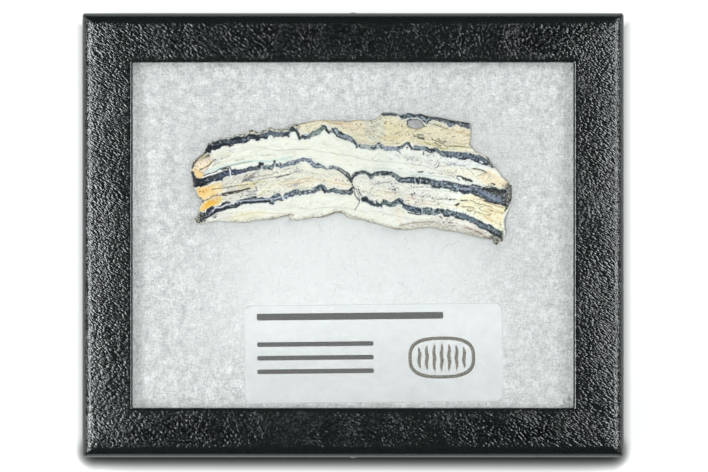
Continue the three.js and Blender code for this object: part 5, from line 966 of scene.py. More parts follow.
# ends left rough
ROUGH_ENDS = [
    ([(38.47, 12.70), (39.77, 13.73), (42.09, 13.47), (42.09, 7.01), (39.51, 6.75), (38.60, 7.79)], 1.00),
    ([(35.12, -0.48), (36.41, 0.56), (38.73, 1.07), (40.02, -1.25), (40.02, -4.35), (36.41, -3.84)], 0.90),
    ([(-41.08, 4.69), (-39.53, 6.24), (-37.98, 5.72), (-38.24, 3.40), (-40.05, 2.36)], 0.90),
    ([(32.79, 11.92), (35.37, 12.44), (39.51, 12.18), (39.77, 10.63), (36.92, 10.37), (33.82, 11.15)], 0.60),
    ([(-42.12, 16.83), (-41.08, 16.31), (-40.31, 13.21), (-42.12, 12.18)], 0.30),
]


# ---------------------------------------------------------------- lid
def rounded_loop(hx, hy, r, n_long, n_short, n_corner):
    """Points of a rounded rectangle, anticlockwise, the same count whatever its size."""
    pts = []
    cs = [(hx - r, -hy + r, -90), (hx - r, hy - r, 0), (-hx + r, hy - r, 90), (-hx + r, -hy + r, 180)]
    ends = [((-hx + r, -hy), (hx - r, -hy), n_long), ((hx, -hy + r), (hx, hy - r), n_short),
            ((hx - r, hy), (-hx + r, hy), n_long), ((-hx, hy - r), (-hx, -hy + r), n_short)]
    for ((ax, ay), (bx, by), n), (cx, cy, a0) in zip(ends, cs):
        t = np.arange(n) / n
        pts.append(np.stack([ax + (bx - ax) * t, ay + (by - ay) * t], 1))
        a = np.radians(a0 + 90 * np.arange(n_corner) / n_corner)
        pts.append(np.stack([cx + r * np.cos(a), cy + r * np.sin(a)], 1))
    return np.concatenate(pts)


def arc(cx, cz, r, a0, a1, n):
    a = np.radians(np.linspace(a0, a1, n))
    return [(cx + r * math.cos(t), cz + r * math.sin(t)) for t in a]


def build_lid():
    top, bottom = LID_HI[2], LID_LO[2]
    wall = float(LID_HI[0]) - WIN_X
    lip, round_r, card = 0.875, 2.75, 1.75
    skin = 0.04                      # the covering lies just inside the nominal faces
    profile = []                     # (outward from the window's edge, height), running outwards over the top
    profile += arc(lip, top - lip, lip, 200, 90, 7)
    # the covered card is crowned: level near the window, falling away towards the outer edge
    crown_from, lean, R = 2.0, math.radians(CROWN_LEAN), 2.9
    crown_to = wall - R + R * math.sin(lean)
    drop, last = 0.0, lip
    for o in np.linspace(lip, crown_to, 24)[1:]:
        s_mid = max(0.0, (0.5 * (o + last) - crown_from) / (crown_to - crown_from))
        drop += math.tan(lean * s_mid ** 1.25) * (o - last)
        profile.append((o, top - drop))
        last = o
    zc = top - drop - R * math.cos(lean)
    profile += arc(wall - R, zc, R, 90 - CROWN_LEAN, 0, 15)[1:]
    profile += [(wall, z) for z in np.linspace(zc, bottom + 0.35, 12)[1:]]
    profile += arc(wall - 0.35, bottom + 0.35, 0.35, 0, -90, 4)[1:]
    n_out = len(profile)
    profile += [(wall - card + 0.25, bottom), (wall - card, bottom + 0.25)]
    profile += [(wall - card, z) for z in (8.0, top - card)]
    profile += [(o, top - card) for o in (5.0, lip + 0.35)]
    prof = np.array(profile)
    n_long, n_short, n_corner = 392, 322, 7
    hx0, hy0 = WIN_X, WIN_Y
    sy = (LID_HI[1] - hy0) / wall
    loops = []
    for o, z in prof:
        r = 0.35 + 0.45 * (max(o, 0) / wall) ** 1.5
        xy = rounded_loop(hx0 + o, hy0 + o * sy, r, n_long, n_short, n_corner)
        loops.append(np.column_stack([xy, np.full(len(xy), z)]))
    V = np.stack(loops)              # profile x perimeter x 3
    P, N = V.shape[:2]
    # outward normals of the undisplaced surface
    du = np.roll(V, -1, 1) - np.roll(V, 1, 1)
    dv = np.roll(V, -1, 0) - np.roll(V, 1, 0)
    nrm = np.cross(du, dv)
    nrm /= np.linalg.norm(nrm, axis=2, keepdims=True) + 1e-12
    if nrm[15, 10, 2] < 0:
        nrm = -nrm
    X, Y, Z = V[..., 0], V[..., 1], V[..., 2]
    # a slow swell of the card under the covering
    swell = noise(X * 0.10, Y * 0.10, Z * 0.1, 21)
    # the grain is stretched flat where the covering turns down over the edge, and along the window's lip
    run = np.gradient(prof[:, 0])
    fall = -np.gradient(prof[:, 1])
    slope = np.degrees(np.arctan2(fall, run))
    keep = 1 - 0.85 * np.interp(slope, [38, 50, 68, 88], [0, 1, 1, 0.25])
    keep[:8] = [0.0, 0.0, 0.05, 0.12, 0.25, 0.45, 0.7, 0.9]
    keep[n_out - 3:] = 0
    # along the two long sides a wider band is rubbed smooth before the edge
    across = np.arctan2(np.abs(nrm[n_out - 12, :, 1]), np.abs(nrm[n_out - 12, :, 0]))
    on_long = smooth(0.5, 1.1, across)
    band = 1 - 0.86 * smooth(wall - 3.1, wall - 2.5, prof[:, 0])
    keep = keep[:, None] * (1 - on_long[None, :] * (1 - band[:, None]))
    strip = np.interp(slope, [34, 52], [0, 1])
    strip[:16] = 0
    strip[n_out:] = 1
    d = 0.03 * (swell - 0.8) * keep - skin
    V = V + nrm * d[..., None]
    V[..., 2] = np.minimum(V[..., 2], top - 0.01)
    verts = V.reshape(-1, 3)
    faces = grid_faces(P, N, wrap_u=True, wrap_v=True)
    # which way round: the faces of the top must point up
    f = faces[20 * N]
    a, b, c = verts[f[0]], verts[f[1]], verts[f[2]]
    if np.cross(b - a, c - a)[2] < 0:
        faces = faces[:, ::-1]
    ob = make_mesh("lid_leatherette", verts, faces)
    add_float(ob, "grain_depth", keep.ravel())
    add_float(ob, "edge_strip", np.repeat(strip, N))
    out = ob.data.attributes.new(name="outward", type="FLOAT_VECTOR", domain="POINT")
    out.data.foreach_set("vector", nrm.reshape(-1, 3).astype(np.float32).ravel())
    # bake map: the frame from above at full size, the hidden inside squeezed into the window's place
    k = 1 / 178.0
    pr = np.arange(P)
    ux = np.where(pr[:, None] <= n_out, V[..., 0] + np.sign(V[..., 0]) * 0, V[..., 0] * 0.5)
    uy = np.where(pr[:, None] <= n_out, V[..., 1], V[..., 1] * 0.5)
    drop = np.clip(top - round_r - V[..., 2], 0, None)
    long_side = np.abs(V[..., 0]) / LID_HI[0] < np.abs(V[..., 1]) / LID_HI[1]
    grow = 1 + drop * np.where(pr <= n_out, 1, 0)[:, None] / 69.0
    U = np.stack([0.5 + ux * grow * k, 0.5 + uy * grow * k], -1)
    add_uv(ob, U.reshape(-1, 2))
    return emboss(ob, 0.020)


def grain_height(t, position):
    """Node sockets for the covering's embossed grain, the same in a geometry tree and a shader tree:
    (pebble height 0 to 1, turned coordinates). position is in mm. The pebbles are low domes, longer than
    they are wide, in staggered rows that run down to the right, with a sharp valley between neighbours."""
    def node(kind, **props):
        n = t.nodes.new(kind)
        for k, v in props.items():
            setattr(n, k, v)
        return n

    def feed(sock, v):
        if isinstance(v, bpy.types.NodeSocket):
            t.links.new(v, sock)
        else:
            sock.default_value = v

    def vmath(op, a, b, c=None):
        n = node("ShaderNodeVectorMath", operation=op)
        feed(n.inputs[0], a)
        feed(n.inputs[1], b)
        if c is not None:
            feed(n.inputs[2], c)
        return n.outputs[0]

    def fmath(op, a, b, c=None, clamp=False):
        n = node("ShaderNodeMath", operation=op, use_clamp=clamp)
        feed(n.inputs[0], a)
        feed(n.inputs[1], b)
        if c is not None:
            feed(n.inputs[2], c)
        return n.outputs[0]

    def wobble(vec, scale, detail, amount):
        n = node("ShaderNodeTexNoise")
        feed(n.inputs["Vector"], vec)
        n.inputs["Scale"].default_value = scale
        n.inputs["Detail"].default_value = detail
        return vmath("MULTIPLY_ADD", n.outputs["Color"], (amount,) * 3, vec)

    v = wobble(position, 0.10, 1.0, 2.8)
    v = wobble(v, 0.8, 1.0, 0.35)
    turn = node("ShaderNodeVectorRotate", rotation_type="Z_AXIS")
    feed(turn.inputs["Vector"], v)
    turn.inputs["Angle"].default_value = math.radians(GRAIN_TURN)
    turned = turn.outputs[0]
    cell = node("ShaderNodeTexVoronoi", feature="F1")
    feed(cell.inputs["Vector"], vmath("MULTIPLY", turned, (GRAIN_ALONG, GRAIN_ACROSS, GRAIN_ACROSS * 0.8)))
    cell.inputs["Scale"].default_value = 1.0
    cell.inputs["Randomness"].default_value = 0.85
    far = cell.outputs["Distance"]
    dome = fmath("SUBTRACT", 1.0, fmath("MULTIPLY", fmath("MULTIPLY", far, far), 1 / 0.60), clamp=True)
    # no two pebbles stand equally high
    tall = node("ShaderNodeTexNoise")
    feed(tall.inputs["Vector"], vmath("MULTIPLY", turned, (GRAIN_ALONG * 0.9, GRAIN_ACROSS * 0.9, GRAIN_ACROSS * 0.7)))
    tall.inputs["Scale"].default_value = 1.0
    tall.inputs["Detail"].default_value = 1.0
    gain = fmath("MULTIPLY_ADD", tall.outputs["Fac"], 1.5, 0.12)
    return fmath("MULTIPLY", dome, gain), turned


CROWN_LEAN = 4.0         # degrees
GRAIN_TURN = 25.0        # rows run down to the right
GRAIN_ALONG = 1.02       # cells per mm
GRAIN_ACROSS = 2.45


def emboss(ob, depth):
    """Presses the grain into the mesh, inwards only, and returns the object with the result applied."""
    t = bpy.data.node_groups.new("emboss", "GeometryNodeTree")
    t.interface.new_socket("Geometry", in_out="INPUT", socket_type="NodeSocketGeometry")
    t.interface.new_socket("Geometry", in_out="OUTPUT", socket_type="NodeSocketGeometry")
    gi, go = t.nodes.new("NodeGroupInput"), t.nodes.new("NodeGroupOutput")
    pos = t.nodes.new("GeometryNodeInputPosition")
    mm = t.nodes.new("ShaderNodeVectorMath")
    mm.operation = "SCALE"
    t.links.new(pos.outputs[0], mm.inputs[0])
    mm.inputs["Scale"].default_value = 1000.0
    height, turned = grain_height(t, mm.outputs[0])
    low = t.nodes.new("ShaderNodeMath")
    low.operation = "SUBTRACT"
    t.links.new(height, low.inputs[0])
    low.inputs[1].default_value = 1.30
    keep = t.nodes.new("GeometryNodeInputNamedAttribute")
    keep.data_type = "FLOAT"
    keep.inputs["Name"].default_value = "grain_depth"
    k = t.nodes.new("ShaderNodeMath")
    k.operation = "MULTIPLY"
    t.links.new(low.outputs[0], k.inputs[0])
    t.links.new(keep.outputs[0], k.inputs[1])
    out = t.nodes.new("GeometryNodeInputNamedAttribute")
    out.data_type = "FLOAT_VECTOR"
    out.inputs["Name"].default_value = "outward"
    off = t.nodes.new("ShaderNodeVectorMath")
    off.operation = "SCALE"
    t.links.new(out.outputs[0], off.inputs[0])
    scl = t.nodes.new("ShaderNodeMath")
    scl.operation = "MULTIPLY"
    t.links.new(k.outputs[0], scl.inputs[0])
    scl.inputs[1].default_value = depth * MM
    t.links.new(scl.outputs[0], off.inputs["Scale"])
    sp = t.nodes.new("GeometryNodeSetPosition")
    t.links.new(gi.outputs[0], sp.inputs["Geometry"])
    t.links.new(off.outputs[0], sp.inputs["Offset"])
    t.links.new(sp.outputs[0], go.inputs[0])
    mod = ob.modifiers.new("emboss", "NODES")
    mod.node_group = t
    bpy.context.view_layer.update()
    dg = bpy.context.evaluated_depsgraph_get()
    me = bpy.data.meshes.new_from_object(ob.evaluated_get(dg))
    ob.modifiers.clear()
    old = ob.data
    ob.data = me
    bpy.data.meshes.remove(old)
    bpy.data.node_groups.remove(t)
    for name in ("outward",):
        if name in me.attributes:
            me.attributes.remove(me.attributes[name])
    me.name = ob.name
    me.polygons.foreach_set("use_smooth", np.ones(len(me.polygons), bool))
    return ob


def leather_material(name="black_leatherette", level=1.0):
    m = Mat(name)
    base = m.coords(scale=(1000, 1000, 1000))
    height, turned = grain_height(m.t, base)
    keep = m.attr("grain_depth")
    small = m.noise(m.coords(vector=turned, scale=(1.5, 3.4, 3.0)), 1.0, 2.0, 0.5)
    pore = m.noise(m.coords(vector=base, scale=(8, 8, 8)), 1.0, 2.0, 0.5)
    h = m.math("MULTIPLY_ADD", small, GRAIN_SMALL, height)
    h = m.math("MULTIPLY_ADD", pore, 0.05, h)
    h = m.math("MULTIPLY", h, keep)
    normal = m.bump(h, 1.0, GRAIN_BUMP)
    wear = m.noise(m.coords(vector=base, scale=(0.05, 0.05, 0.05)), 1.0, 3.0, 0.55)
    rough = m.math("MULTIPLY_ADD", wear, 0.05, m.maprange(height, 0.0, 1.0, 0.17, 0.105, "LINEAR"))
    rough = m.math("MULTIPLY_ADD", m.attr("edge_strip"), 0.26, rough)
    # painted shade: the valleys between the pebbles are coloured darker than their tops
    col = m.mix(height, srgb(1, 4, 4), srgb(17, 26, 26))
    s = m.principled(col, rough, normal)
    s.inputs["Specular IOR Level"].default_value = level
    s.inputs["IOR"].default_value = 1.6
    s.inputs["Specular Tint"].default_value = (0.955, 1.0, 1.0, 1.0)
    return m.finish(s.outputs[0])


GRAIN_BUMP = 0.000094     # metres, full height of the grain that is shaded rather than meshed
GRAIN_SMALL = 0.30


def turned_edge(ob):
    """Gives the faces that turn down over the case's edge a duller finish of the same covering."""
    me = ob.data
    n = len(me.polygons)
    corners = np.empty(len(me.loops), np.int32)
    me.loops.foreach_get("vertex_index", corners)
    starts = np.empty(n, np.int32)
    me.polygons.foreach_get("loop_start", starts)
    strip = np.empty(len(me.vertices), np.float32)
    me.attributes["edge_strip"].data.foreach_get("value", strip)
    me.materials.append(leather_material("black_leatherette_edge", 0.55))
    me.polygons.foreach_set("material_index", (np.minimum.reduceat(strip[corners], starts) > 0.3).astype(np.int32))
    me.update()


# ---------------------------------------------------------------- glass, tray, pins
def glass_material():
    m = Mat("clear_glass")
    haze = m.noise(m.coords(scale=(60, 60, 60)), 1.0, 3.0, 0.5)
    rough = m.maprange(haze, 0.3, 0.8, 0.0, 0.012, "LINEAR")
    s = m.principled((0.97, 0.985, 0.98), 0.0)
    s.inputs["Transmission Weight"].default_value = 1.0
    s.inputs["IOR"].default_value = 1.5
    return m.finish(s.outputs[0])


def tray_material():
    m = Mat("black_paper_over_card")
    p = m.coords(scale=(1000, 1000, 1000))
    fibre = m.noise(m.coords(vector=p, scale=(1.2, 3.5, 2.0)), 1.0, 5.0, 0.65)
    cloud = m.noise(m.coords(vector=p, scale=(0.05, 0.05, 0.05)), 1.0, 3.0, 0.5)
    # on the base: turned-in margin of the covering round a plain paper panel
    sep = m.node("ShaderNodeSeparateXYZ")
    m.link(p, sep.inputs[0])
    ax = m.math("ABSOLUTE", sep.outputs[0])
    ay = m.math("ABSOLUTE", sep.outputs[1])
    rag = m.noise(m.coords(vector=p, scale=(0.2, 0.2, 0.2)), 1.0, 2.0, 0.5)
    ragged = m.math("MULTIPLY", m.math("SUBTRACT", rag, 0.5), 0.5)
    inx = m.maprange(m.math("ADD", ax, ragged), 57.0, 57.12, 0.0, 1.0)
    iny = m.maprange(m.math("ADD", ay, ragged), 45.0, 45.12, 0.0, 1.0)
    margin = m.math("MAXIMUM", inx, iny)
    cells = m.voronoi(m.coords(vector=p, scale=(0.8, 1.3, 1.0), rotation=(0, 0, 0.7)), 1.0, "SMOOTH_F1", 1.0, 0.4)
    grain = m.math("MULTIPLY", m.maprange(cells, 0.0, 0.8, 1.0, 0.0), margin)
    h = m.math("ADD", m.math("MULTIPLY", fibre, 0.3), m.math("MULTIPLY_ADD", margin, 1.2, grain))
    normal = m.bump(h, 0.8, 0.00012)
    paper = m.mix(cloud, srgb(34, 34, 35), srgb(46, 46, 47))
    col = m.mix(margin, paper, srgb(26, 27, 28))
    rough = m.maprange(fibre, 0.3, 0.7, 0.62, 0.78, "LINEAR")
    s = m.principled(col, rough, normal)
    return m.finish(s.outputs[0])


def pin_material():
    m = Mat("nickel_plated_pin")
    p = m.coords(scale=(1000, 1000, 1000))
    scratch = m.noise(m.coords(vector=p, scale=(3, 3, 14)), 1.0, 4.0, 0.6)
    rough = m.maprange(scratch, 0.3, 0.7, 0.16, 0.3, "LINEAR")
    col = m.mix(scratch, srgb(92, 92, 94), srgb(124, 124, 124))
    s = m.principled(col, rough, m.bump(scratch, 0.2, 0.00002))
    s.inputs["Metallic"].default_value = 1.0
    return m.finish(s.outputs[0])


# ---------------------------------------------------------------- distances
def line_distance(px, py, line, closed=False):
    pts = np.asarray(line, float)
    if len(pts) == 1:
        return np.hypot(px - pts[0, 0], py - pts[0, 1])
    if closed:
        pts = np.vstack([pts, pts[:1]])
    best = np.full(px.shape, 1e9)
    for a, b in zip(pts[:-1], pts[1:]):
        dx, dy = b - a
        t = np.clip(((px - a[0]) * dx + (py - a[1]) * dy) / max(dx * dx + dy * dy, 1e-12), 0, 1)
        np.minimum(best, (px - a[0] - t * dx) ** 2 + (py - a[1] - t * dy) ** 2, out=best)
    return np.sqrt(best)


def inside_polygon(px, py, poly):
    pts = np.asarray(poly, float)
    hit = np.zeros(px.shape, bool)
    for (x0, y0), (x1, y1) in zip(pts, np.roll(pts, -1, 0)):
        if y0 == y1:
            continue
        cross = (y0 > py) != (y1 > py)
        hit ^= cross & (px < (x1 - x0) * (py - y0) / (y1 - y0) + x0)
    return hit


def depth_inside(px, py, poly):
    """Distance to a closed outline, positive inside it."""
    d = line_distance(px, py, poly, closed=True)
    return np.where(inside_polygon(px, py, poly), d, -d)


def near(px, py, pts, margin):
    q = np.asarray(pts, float)
    return ((px > q[:, 0].min() - margin) & (px < q[:, 0].max() + margin)
            & (py > q[:, 1].min() - margin) & (py < q[:, 1].max() + margin))


def height_at(line, x):
    """A ridge line's y at each x, taking the line as running left to right."""
    q = np.asarray(line, float)
    order = np.argsort(q[:, 0], kind="stable")
    return np.interp(x, q[order, 0], q[order, 1])


def slice_depth(px, py):
    """Distance inside the slice's edge; its rind is ragged at two scales."""
    wx = px + 0.10 * noise(px * 1.1, py * 1.1, 0.3, 101) + 0.05 * noise(px * 3.1, py * 3.1, 0.7, 103)
    wy = py + 0.10 * noise(px * 1.1, py * 1.1, 5.3, 102) + 0.05 * noise(px * 3.1, py * 3.1, 8.7, 104)
    outer = depth_inside(wx, wy, OUTLINE)
    hole = -depth_inside(wx, wy, HOLE)
    return np.minimum(outer, hole), hole


# ---------------------------------------------------------------- painting the polished face
def paint_slice(x, y):
    """Colour (sRGB 0-255) and surface facts at points of the polished face."""
    n = len(x)
    f1 = fbm(x * 0.35, y * 0.35, 0.0, 4, 201)
    f2 = fbm(x * 1.2, y * 1.2, 1.0, 4, 202)
    f3 = fbm(x * 3.6, y * 3.6, 2.0, 3, 203)
    ye1 = 0.5 * (height_at(E1U, x) + height_at(E1L, x))
    ye2 = 0.5 * (height_at(E2U, x) + height_at(E2L, x))
    lo_left = 0.5 * (height_at(E3U, x) + height_at(E3L, x))
    lo_right = 0.5 * (height_at(E3BU, x) + height_at(E3BL, x))
    ye3 = np.where(x < 1.2, lo_left, lo_right)
    # layering follows the ridges: position between neighbouring ridges, 0 to 1
    lay = np.where(y > ye2, 1 + (y - ye2) / np.maximum(ye1 - ye2, 2.0), (y - ye3) / np.maximum(ye2 - ye3, 2.0))
    band = noise(x * 0.10, lay * 7.0, 0.0, 210)
    band2 = noise(x * 0.22, lay * 17.0, 3.0, 211)
    rgb = np.empty((n, 3))
    rgb[:] = (244, 247, 233)                                  # dentine, warm white
    t = smooth(-0.25, 0.45, f1)[:, None]
    rgb = rgb * (1 - 0.35 * t) + np.array((249, 247, 222)) * 0.35 * t
    c = ((y < ye2) & (y > ye3))[:, None] * 0.8
    rgb = rgb * (1 - c) + np.array((243, 240, 220)) * c
    up = ((y > ye1) & (x > -14.5))[:, None] * 0.9
    rgb = rgb * (1 - up) + np.array((249, 238, 198)) * up

    def lay_on(mask, colour):
        rgb[:] = rgb * (1 - mask[:, None]) + np.asarray(colour, float) * mask[:, None]

    for k, (colour, alpha, soft, ragged, poly) in enumerate(PATCHES):
        sel = near(x, y, poly, soft + ragged + 0.5)
        if not sel.any():
            continue
        px, py = x[sel], y[sel]
        s = depth_inside(px, py, poly) + ragged * 1.2 * f2[sel] + ragged * 0.8 * f3[sel]
        m = np.zeros(n)
        m[sel] = alpha * smooth(-soft * 0.6, soft * 0.6, s)
        lay_on(m, colour)
    vivid = (0.55 * smooth(60.0, 120.0, rgb[:, 0] - rgb[:, 2]) * smooth(-26.0, -32.0, x))[:, None]
    clean = rgb.copy()
    # lamination: faint lines that follow the ridges, stronger in cementum
    cem = ((y < ye2) & (y > ye3)) | ((y > ye1) & (x > -14.5))
    strength = np.where(cem, 0.085, 0.028)
    tone = 1 - strength * (1.1 * smooth(0.12, 0.5, band2) + 0.8 * smooth(0.1, 0.5, band)) \
             + 0.5 * strength * smooth(0.1, 0.5, -band2)
    rgb *= tone[:, None]
    cream = smooth(0.15, 0.55, noise(x * 0.35, lay * 6.0, 9.0, 214))
    lay_on(0.22 * cream, (244, 232, 190))
    # speckle fields: fine grey-green and brown grains in the cementum
    grains = noise(x * 1.9, y * 2.3, 0.5, 220) + 0.55 * noise(x * 3.6, y * 4.2, 2.5, 221)
    zone = np.zeros(n)
    for poly, w in SPECKLED:
        zone = np.maximum(zone, w * smooth(-0.6, 0.6, depth_inside(x, y, poly) + 0.5 * f2))
    lay_on(0.75 * zone * smooth(0.42, 0.72, grains), (118, 114, 96))
    lay_on(0.30 * zone * smooth(0.25, 0.6, -grains), (250, 246, 226))
    pale = smooth(0.45, 0.8, noise(x * 1.7, y * 1.7, 7.0, 225) + 0.3 * f3)
    lay_on(0.16 * pale, (206, 210, 206))

    # fine dark and light grains all over, thick in the cementum and towards both ends, thin in the dentine
    right = smooth(9.0, 20.0, x)
    left = smooth(-27.0, -36.0, x)
    much = np.clip(0.24 + 0.60 * cem + 0.46 * right + 0.35 * left, 0, 1)
    g = noise(x * 1.7, y * 2.3, 11.0, 230) + 0.65 * noise(x * 3.3, y * 4.1, 13.0, 231)
    lum = rgb @ np.array((0.35, 0.5, 0.15))
    fade = (0.10 + 0.20 * right * (y > ye3) + 0.06 * cem)[:, None]
    rgb[:] = rgb * (1 - fade) + lum[:, None] * fade
    patchy = 0.08 + 1.15 * smooth(-0.10, 0.50, noise(x * 0.30, y * 0.75, 17.0, 232) + 0.35 * noise(x * 0.9, y * 1.6, 3.0, 238))
    streak = noise(x * 0.55, lay * 22.0, 19.0, 235) + 0.6 * noise(x * 2.1, lay * 40.0, 27.0, 236)
    lay_on(0.42 * much * (0.3 + 0.7 * patchy) * smooth(0.30, 0.80, streak), (122, 122, 108))
    lay_on(0.35 * much * smooth(0.30, 0.80, -streak), (252, 250, 236))
    lay_on(np.clip(0.95 * much * patchy, 0, 0.92) * smooth(0.26, 0.62, g), (88, 95, 92))
    lay_on(0.62 * much * smooth(0.22, 0.62, -g), (254, 254, 246))
    # a dull, mid-grey mottle in drifts
    drift = smooth(-0.15, 0.45, noise(x * 0.22, lay * 3.2, 33.0, 240) + 0.4 * noise(x * 0.7, y * 1.1, 35.0, 241))
    mottle = noise(x * 1.7, y * 2.5, 37.0, 242) + 0.6 * noise(x * 3.9, y * 4.9, 39.0, 243)
    lay_on(np.clip(0.30 + 0.30 * cem + 0.30 * right, 0, 0.75) * drift * smooth(0.10, 0.62, mottle), (176, 182, 176))
    # the iron stain at the left end stays clear through the grain
    rgb[:] = rgb * (1 - vivid) + clean * vivid
    # the sawn edge darkens, more so along the top: partly stain, partly painted edge shade; and the left end of the top
    # edge keeps a rough crust
    depth = slice_depth(x, y)[0]
    stain_and_edge_shade = (1 - smooth(0.0, 0.42, depth + 0.30 * f3)) * np.where(y > ye2, 0.46, 0.10)
    stain_and_edge_shade = stain_and_edge_shade * (0.35 + 0.65 * smooth(-0.3, 0.4, noise(x * 0.33, y * 0.33, 29.0, 237)))
    lay_on(stain_and_edge_shade, (166, 162, 142))
    # the lower edge keeps a ragged, dusty rind of cementum
    wide = 1 + 1.1 * smooth(10.0, 20.0, x)
    rind = 1 - smooth(0.05, 1.05, depth / wide + 0.55 * f2 + 0.40 * f3 + 0.5 * noise(x * 0.35, y * 0.35, 31.0, 239))
    rind = rind * (y < ye3) * smooth(-34.0, -31.0, x)
    lay_on(0.66 * rind, (205, 202, 186))
    lay_on(0.70 * rind * smooth(0.05, 0.5, g), (138, 134, 118))
    lay_on(0.45 * rind * smooth(0.20, 0.6, -g), (244, 240, 228))
    # dentine and cementum are a little lighter towards the right end
    lighter = (0.022 * smooth(6.0, 14.0, x) + 0.042 * smooth(20.0, 30.0, x)) * (1 - 0.9 * rind)
    between = smooth(-0.2, 0.2, ye2 - y) * smooth(-0.2, 0.2, y - ye3) * smooth(18.0, 26.0, x)
    over = smooth(-0.2, 0.2, y - height_at(E1U, x)) * smooth(-13.0, -11.0, x)
    rgb *= (1 + lighter + 0.060 * between - 0.050 * over)[:, None] * np.array((0.995, 1.005, 1.0))
    rgb *= 1 + between[:, None] * np.array((-0.006, 0.014, 0.0))
    crust = smooth(-0.12, 0.12, y - height_at(E1U, x)) * smooth(-13.4, -14.6, x) * smooth(-43.0, -40.0, x)
    lay_on(0.92 * crust, (186, 184, 158))
    bits = noise(x * 1.7, y * 2.1, 21.0, 233) + 0.7 * noise(x * 3.4, y * 3.9, 23.0, 234)
    lay_on(0.90 * crust * smooth(-0.05, 0.30, bits), (52, 58, 60))
    lay_on(0.75 * crust * smooth(0.15, 0.50, -bits), (234, 231, 212))

    # enamel ridges
    enamel = np.zeros(n)
    rough = np.full(n, 0.42)
    for key, upper, lower in (("E0", E0U, E0L), ("E1", E1U, E1L), ("E2", E2U, E2L), ("E3", E3U, E3L), ("E3B", E3BU, E3BL)):
        poly = list(upper) + list(lower)[::-1]
        sel = near(x, y, poly, 1.0)
        px, py = x[sel], y[sel]
        wx = px + 0.15 * noise(px * 1.5, py * 1.5, 1.0, 301) + 0.12 * noise(px * 3.2, py * 3.2, 2.0, 303)
        wy = py + 0.20 * noise(px * 1.5, py * 1.5, 6.0, 302) + 0.15 * noise(px * 3.2, py * 3.2, 7.0, 304)
        s = depth_inside(wx, wy, poly) + 0.09 * f3[sel]
        table = ENAMEL[key]
        tx = np.array([r[0] for r in table])
        core = np.stack([np.interp(px, tx, [r[1][i] for r in table]) for i in range(3)], 1)
        rim = np.stack([np.interp(px, tx, [r[2][i] for r in table]) for i in range(3)], 1)
        v = fbm(px * 1.5, py * 1.9, 4.0, 3, 310)
        prisms = noise(px * 3.4, py * 0.9, 2.0, 311)
        into = smooth(0.10, 0.55, s + 0.16 * v)[:, None]
        col = rim * (1 - into) + core * into
        lift = np.interp(px, [-42, -30, -20, -8, 6, 20, 50], [-16, -12, 14, 28, 30, 24, 16])[:, None]
        # the lower ridges darken towards the left end, and the middle one is palest half way along
        if key in ("E2", "E3"):
            lift = lift - (16 * smooth(-24.0, -30.0, px))[:, None]
        if key == "E2":
            lift = lift + (16 * np.exp(-((px - 2.0) / 8.0) ** 2))[:, None]
        col = col + lift * np.array((1.12, 1.08, 0.62))
        # weathered enamel is slate rather than blue, greyest at the right end
        col = col + (smooth(-28.0, -20.0, px) * smooth(20.0, 10.0, px))[:, None] * np.array((5.0, 15.0, 18.0))
        col = col + smooth(2.0, 12.0, px)[:, None] * np.array((-7.0, 1.0, -3.0))
        grey = col @ np.array((0.3, 0.55, 0.15))
        dull = (0.26 + 0.22 * smooth(14.0, 34.0, px))[:, None]
        col = col * (1 - dull) + (grey[:, None] + np.array((-3, 1, 5))) * dull
        col = col * (1 + 0.34 * v[:, None] + 0.12 * prisms[:, None])
        spark = noise(px * 1.5, py * 2.5, 5.0, 315) + 0.70 * noise(px * 3.1, py * 4.0, 6.0, 317)
        glint = smooth(0.20, 0.62, spark)[:, None]
        col = col * (1 - 0.74 * glint) + np.array((210, 217, 216)) * 0.74 * glint
        dark = smooth(0.08, 0.48, -spark)[:, None]
        col = col * (1 - 0.80 * dark) + np.array((22, 28, 33)) * 0.80 * dark
        m = smooth(-0.07, 0.09, s)
        full = np.zeros(n); full[sel] = m
        out = np.zeros((n, 3)); out[sel] = col
        rgb = rgb * (1 - full[:, None]) + out * full[:, None]
        enamel = np.maximum(enamel, full)
        # a pale bluish skin where dentine meets the enamel
        halo = np.zeros(n); halo[sel] = 0.35 * smooth(-0.55, -0.05, s) * (1 - m)
        rgb = rgb * (1 - halo[:, None]) + np.array((222, 230, 230)) * halo[:, None]

    pit = np.zeros(n)
    for k, (colour, alpha, width, soft, line) in enumerate(MARKS):
        sel = near(x, y, line, width + soft + 0.3)
        if not sel.any():
            continue
        px, py = x[sel], y[sel]
        wx = px + 0.07 * noise(px * 2.2, py * 2.2, k * 1.7, 401)
        wy = py + 0.07 * noise(px * 2.2, py * 2.2, k * 1.7 + 40, 402)
        d = line_distance(wx, wy, line)
        w = 0.5 * width * (1 + 0.35 * noise(px * 1.8, py * 1.8, k * 2.3, 403))
        m = np.zeros(n)
        m[sel] = alpha * (1 - smooth(w - 0.5 * soft, w + 0.6 * soft, d))
        if colour[2] - colour[0] > 30:              # bluish strokes are duller than they look beside the cream
            colour = [0.5 * c + 0.5 * (sum(colour) / 3 + e) for c, e in zip(colour, (-4, 0, 5))]
        rgb = rgb * (1 - m[:, None]) + np.asarray(colour, float) * m[:, None]
        if max(colour) < 110:
            pit = np.maximum(pit, m * 0.8)
    ends = np.zeros(n)
    for poly, w in ROUGH_ENDS:
        ends = np.maximum(ends, w * smooth(-0.3, 0.4, depth_inside(x, y, poly) + 0.35 * f2))
    mott = noise(x * 2.6, y * 2.6, 3.0, 410) + 0.6 * noise(x * 5.5, y * 5.5, 3.0, 411)
    rgb = rgb * (1 - (0.9 * ends * smooth(-0.12, 0.35, mott))[:, None]) + np.array((30, 32, 31)) * (0.9 * ends * smooth(-0.12, 0.35, mott))[:, None]
    rgb = rgb * (1 - (0.6 * ends * smooth(0.12, 0.5, -mott))[:, None]) + np.array((206, 208, 190)) * (0.6 * ends * smooth(0.12, 0.5, -mott))[:, None]
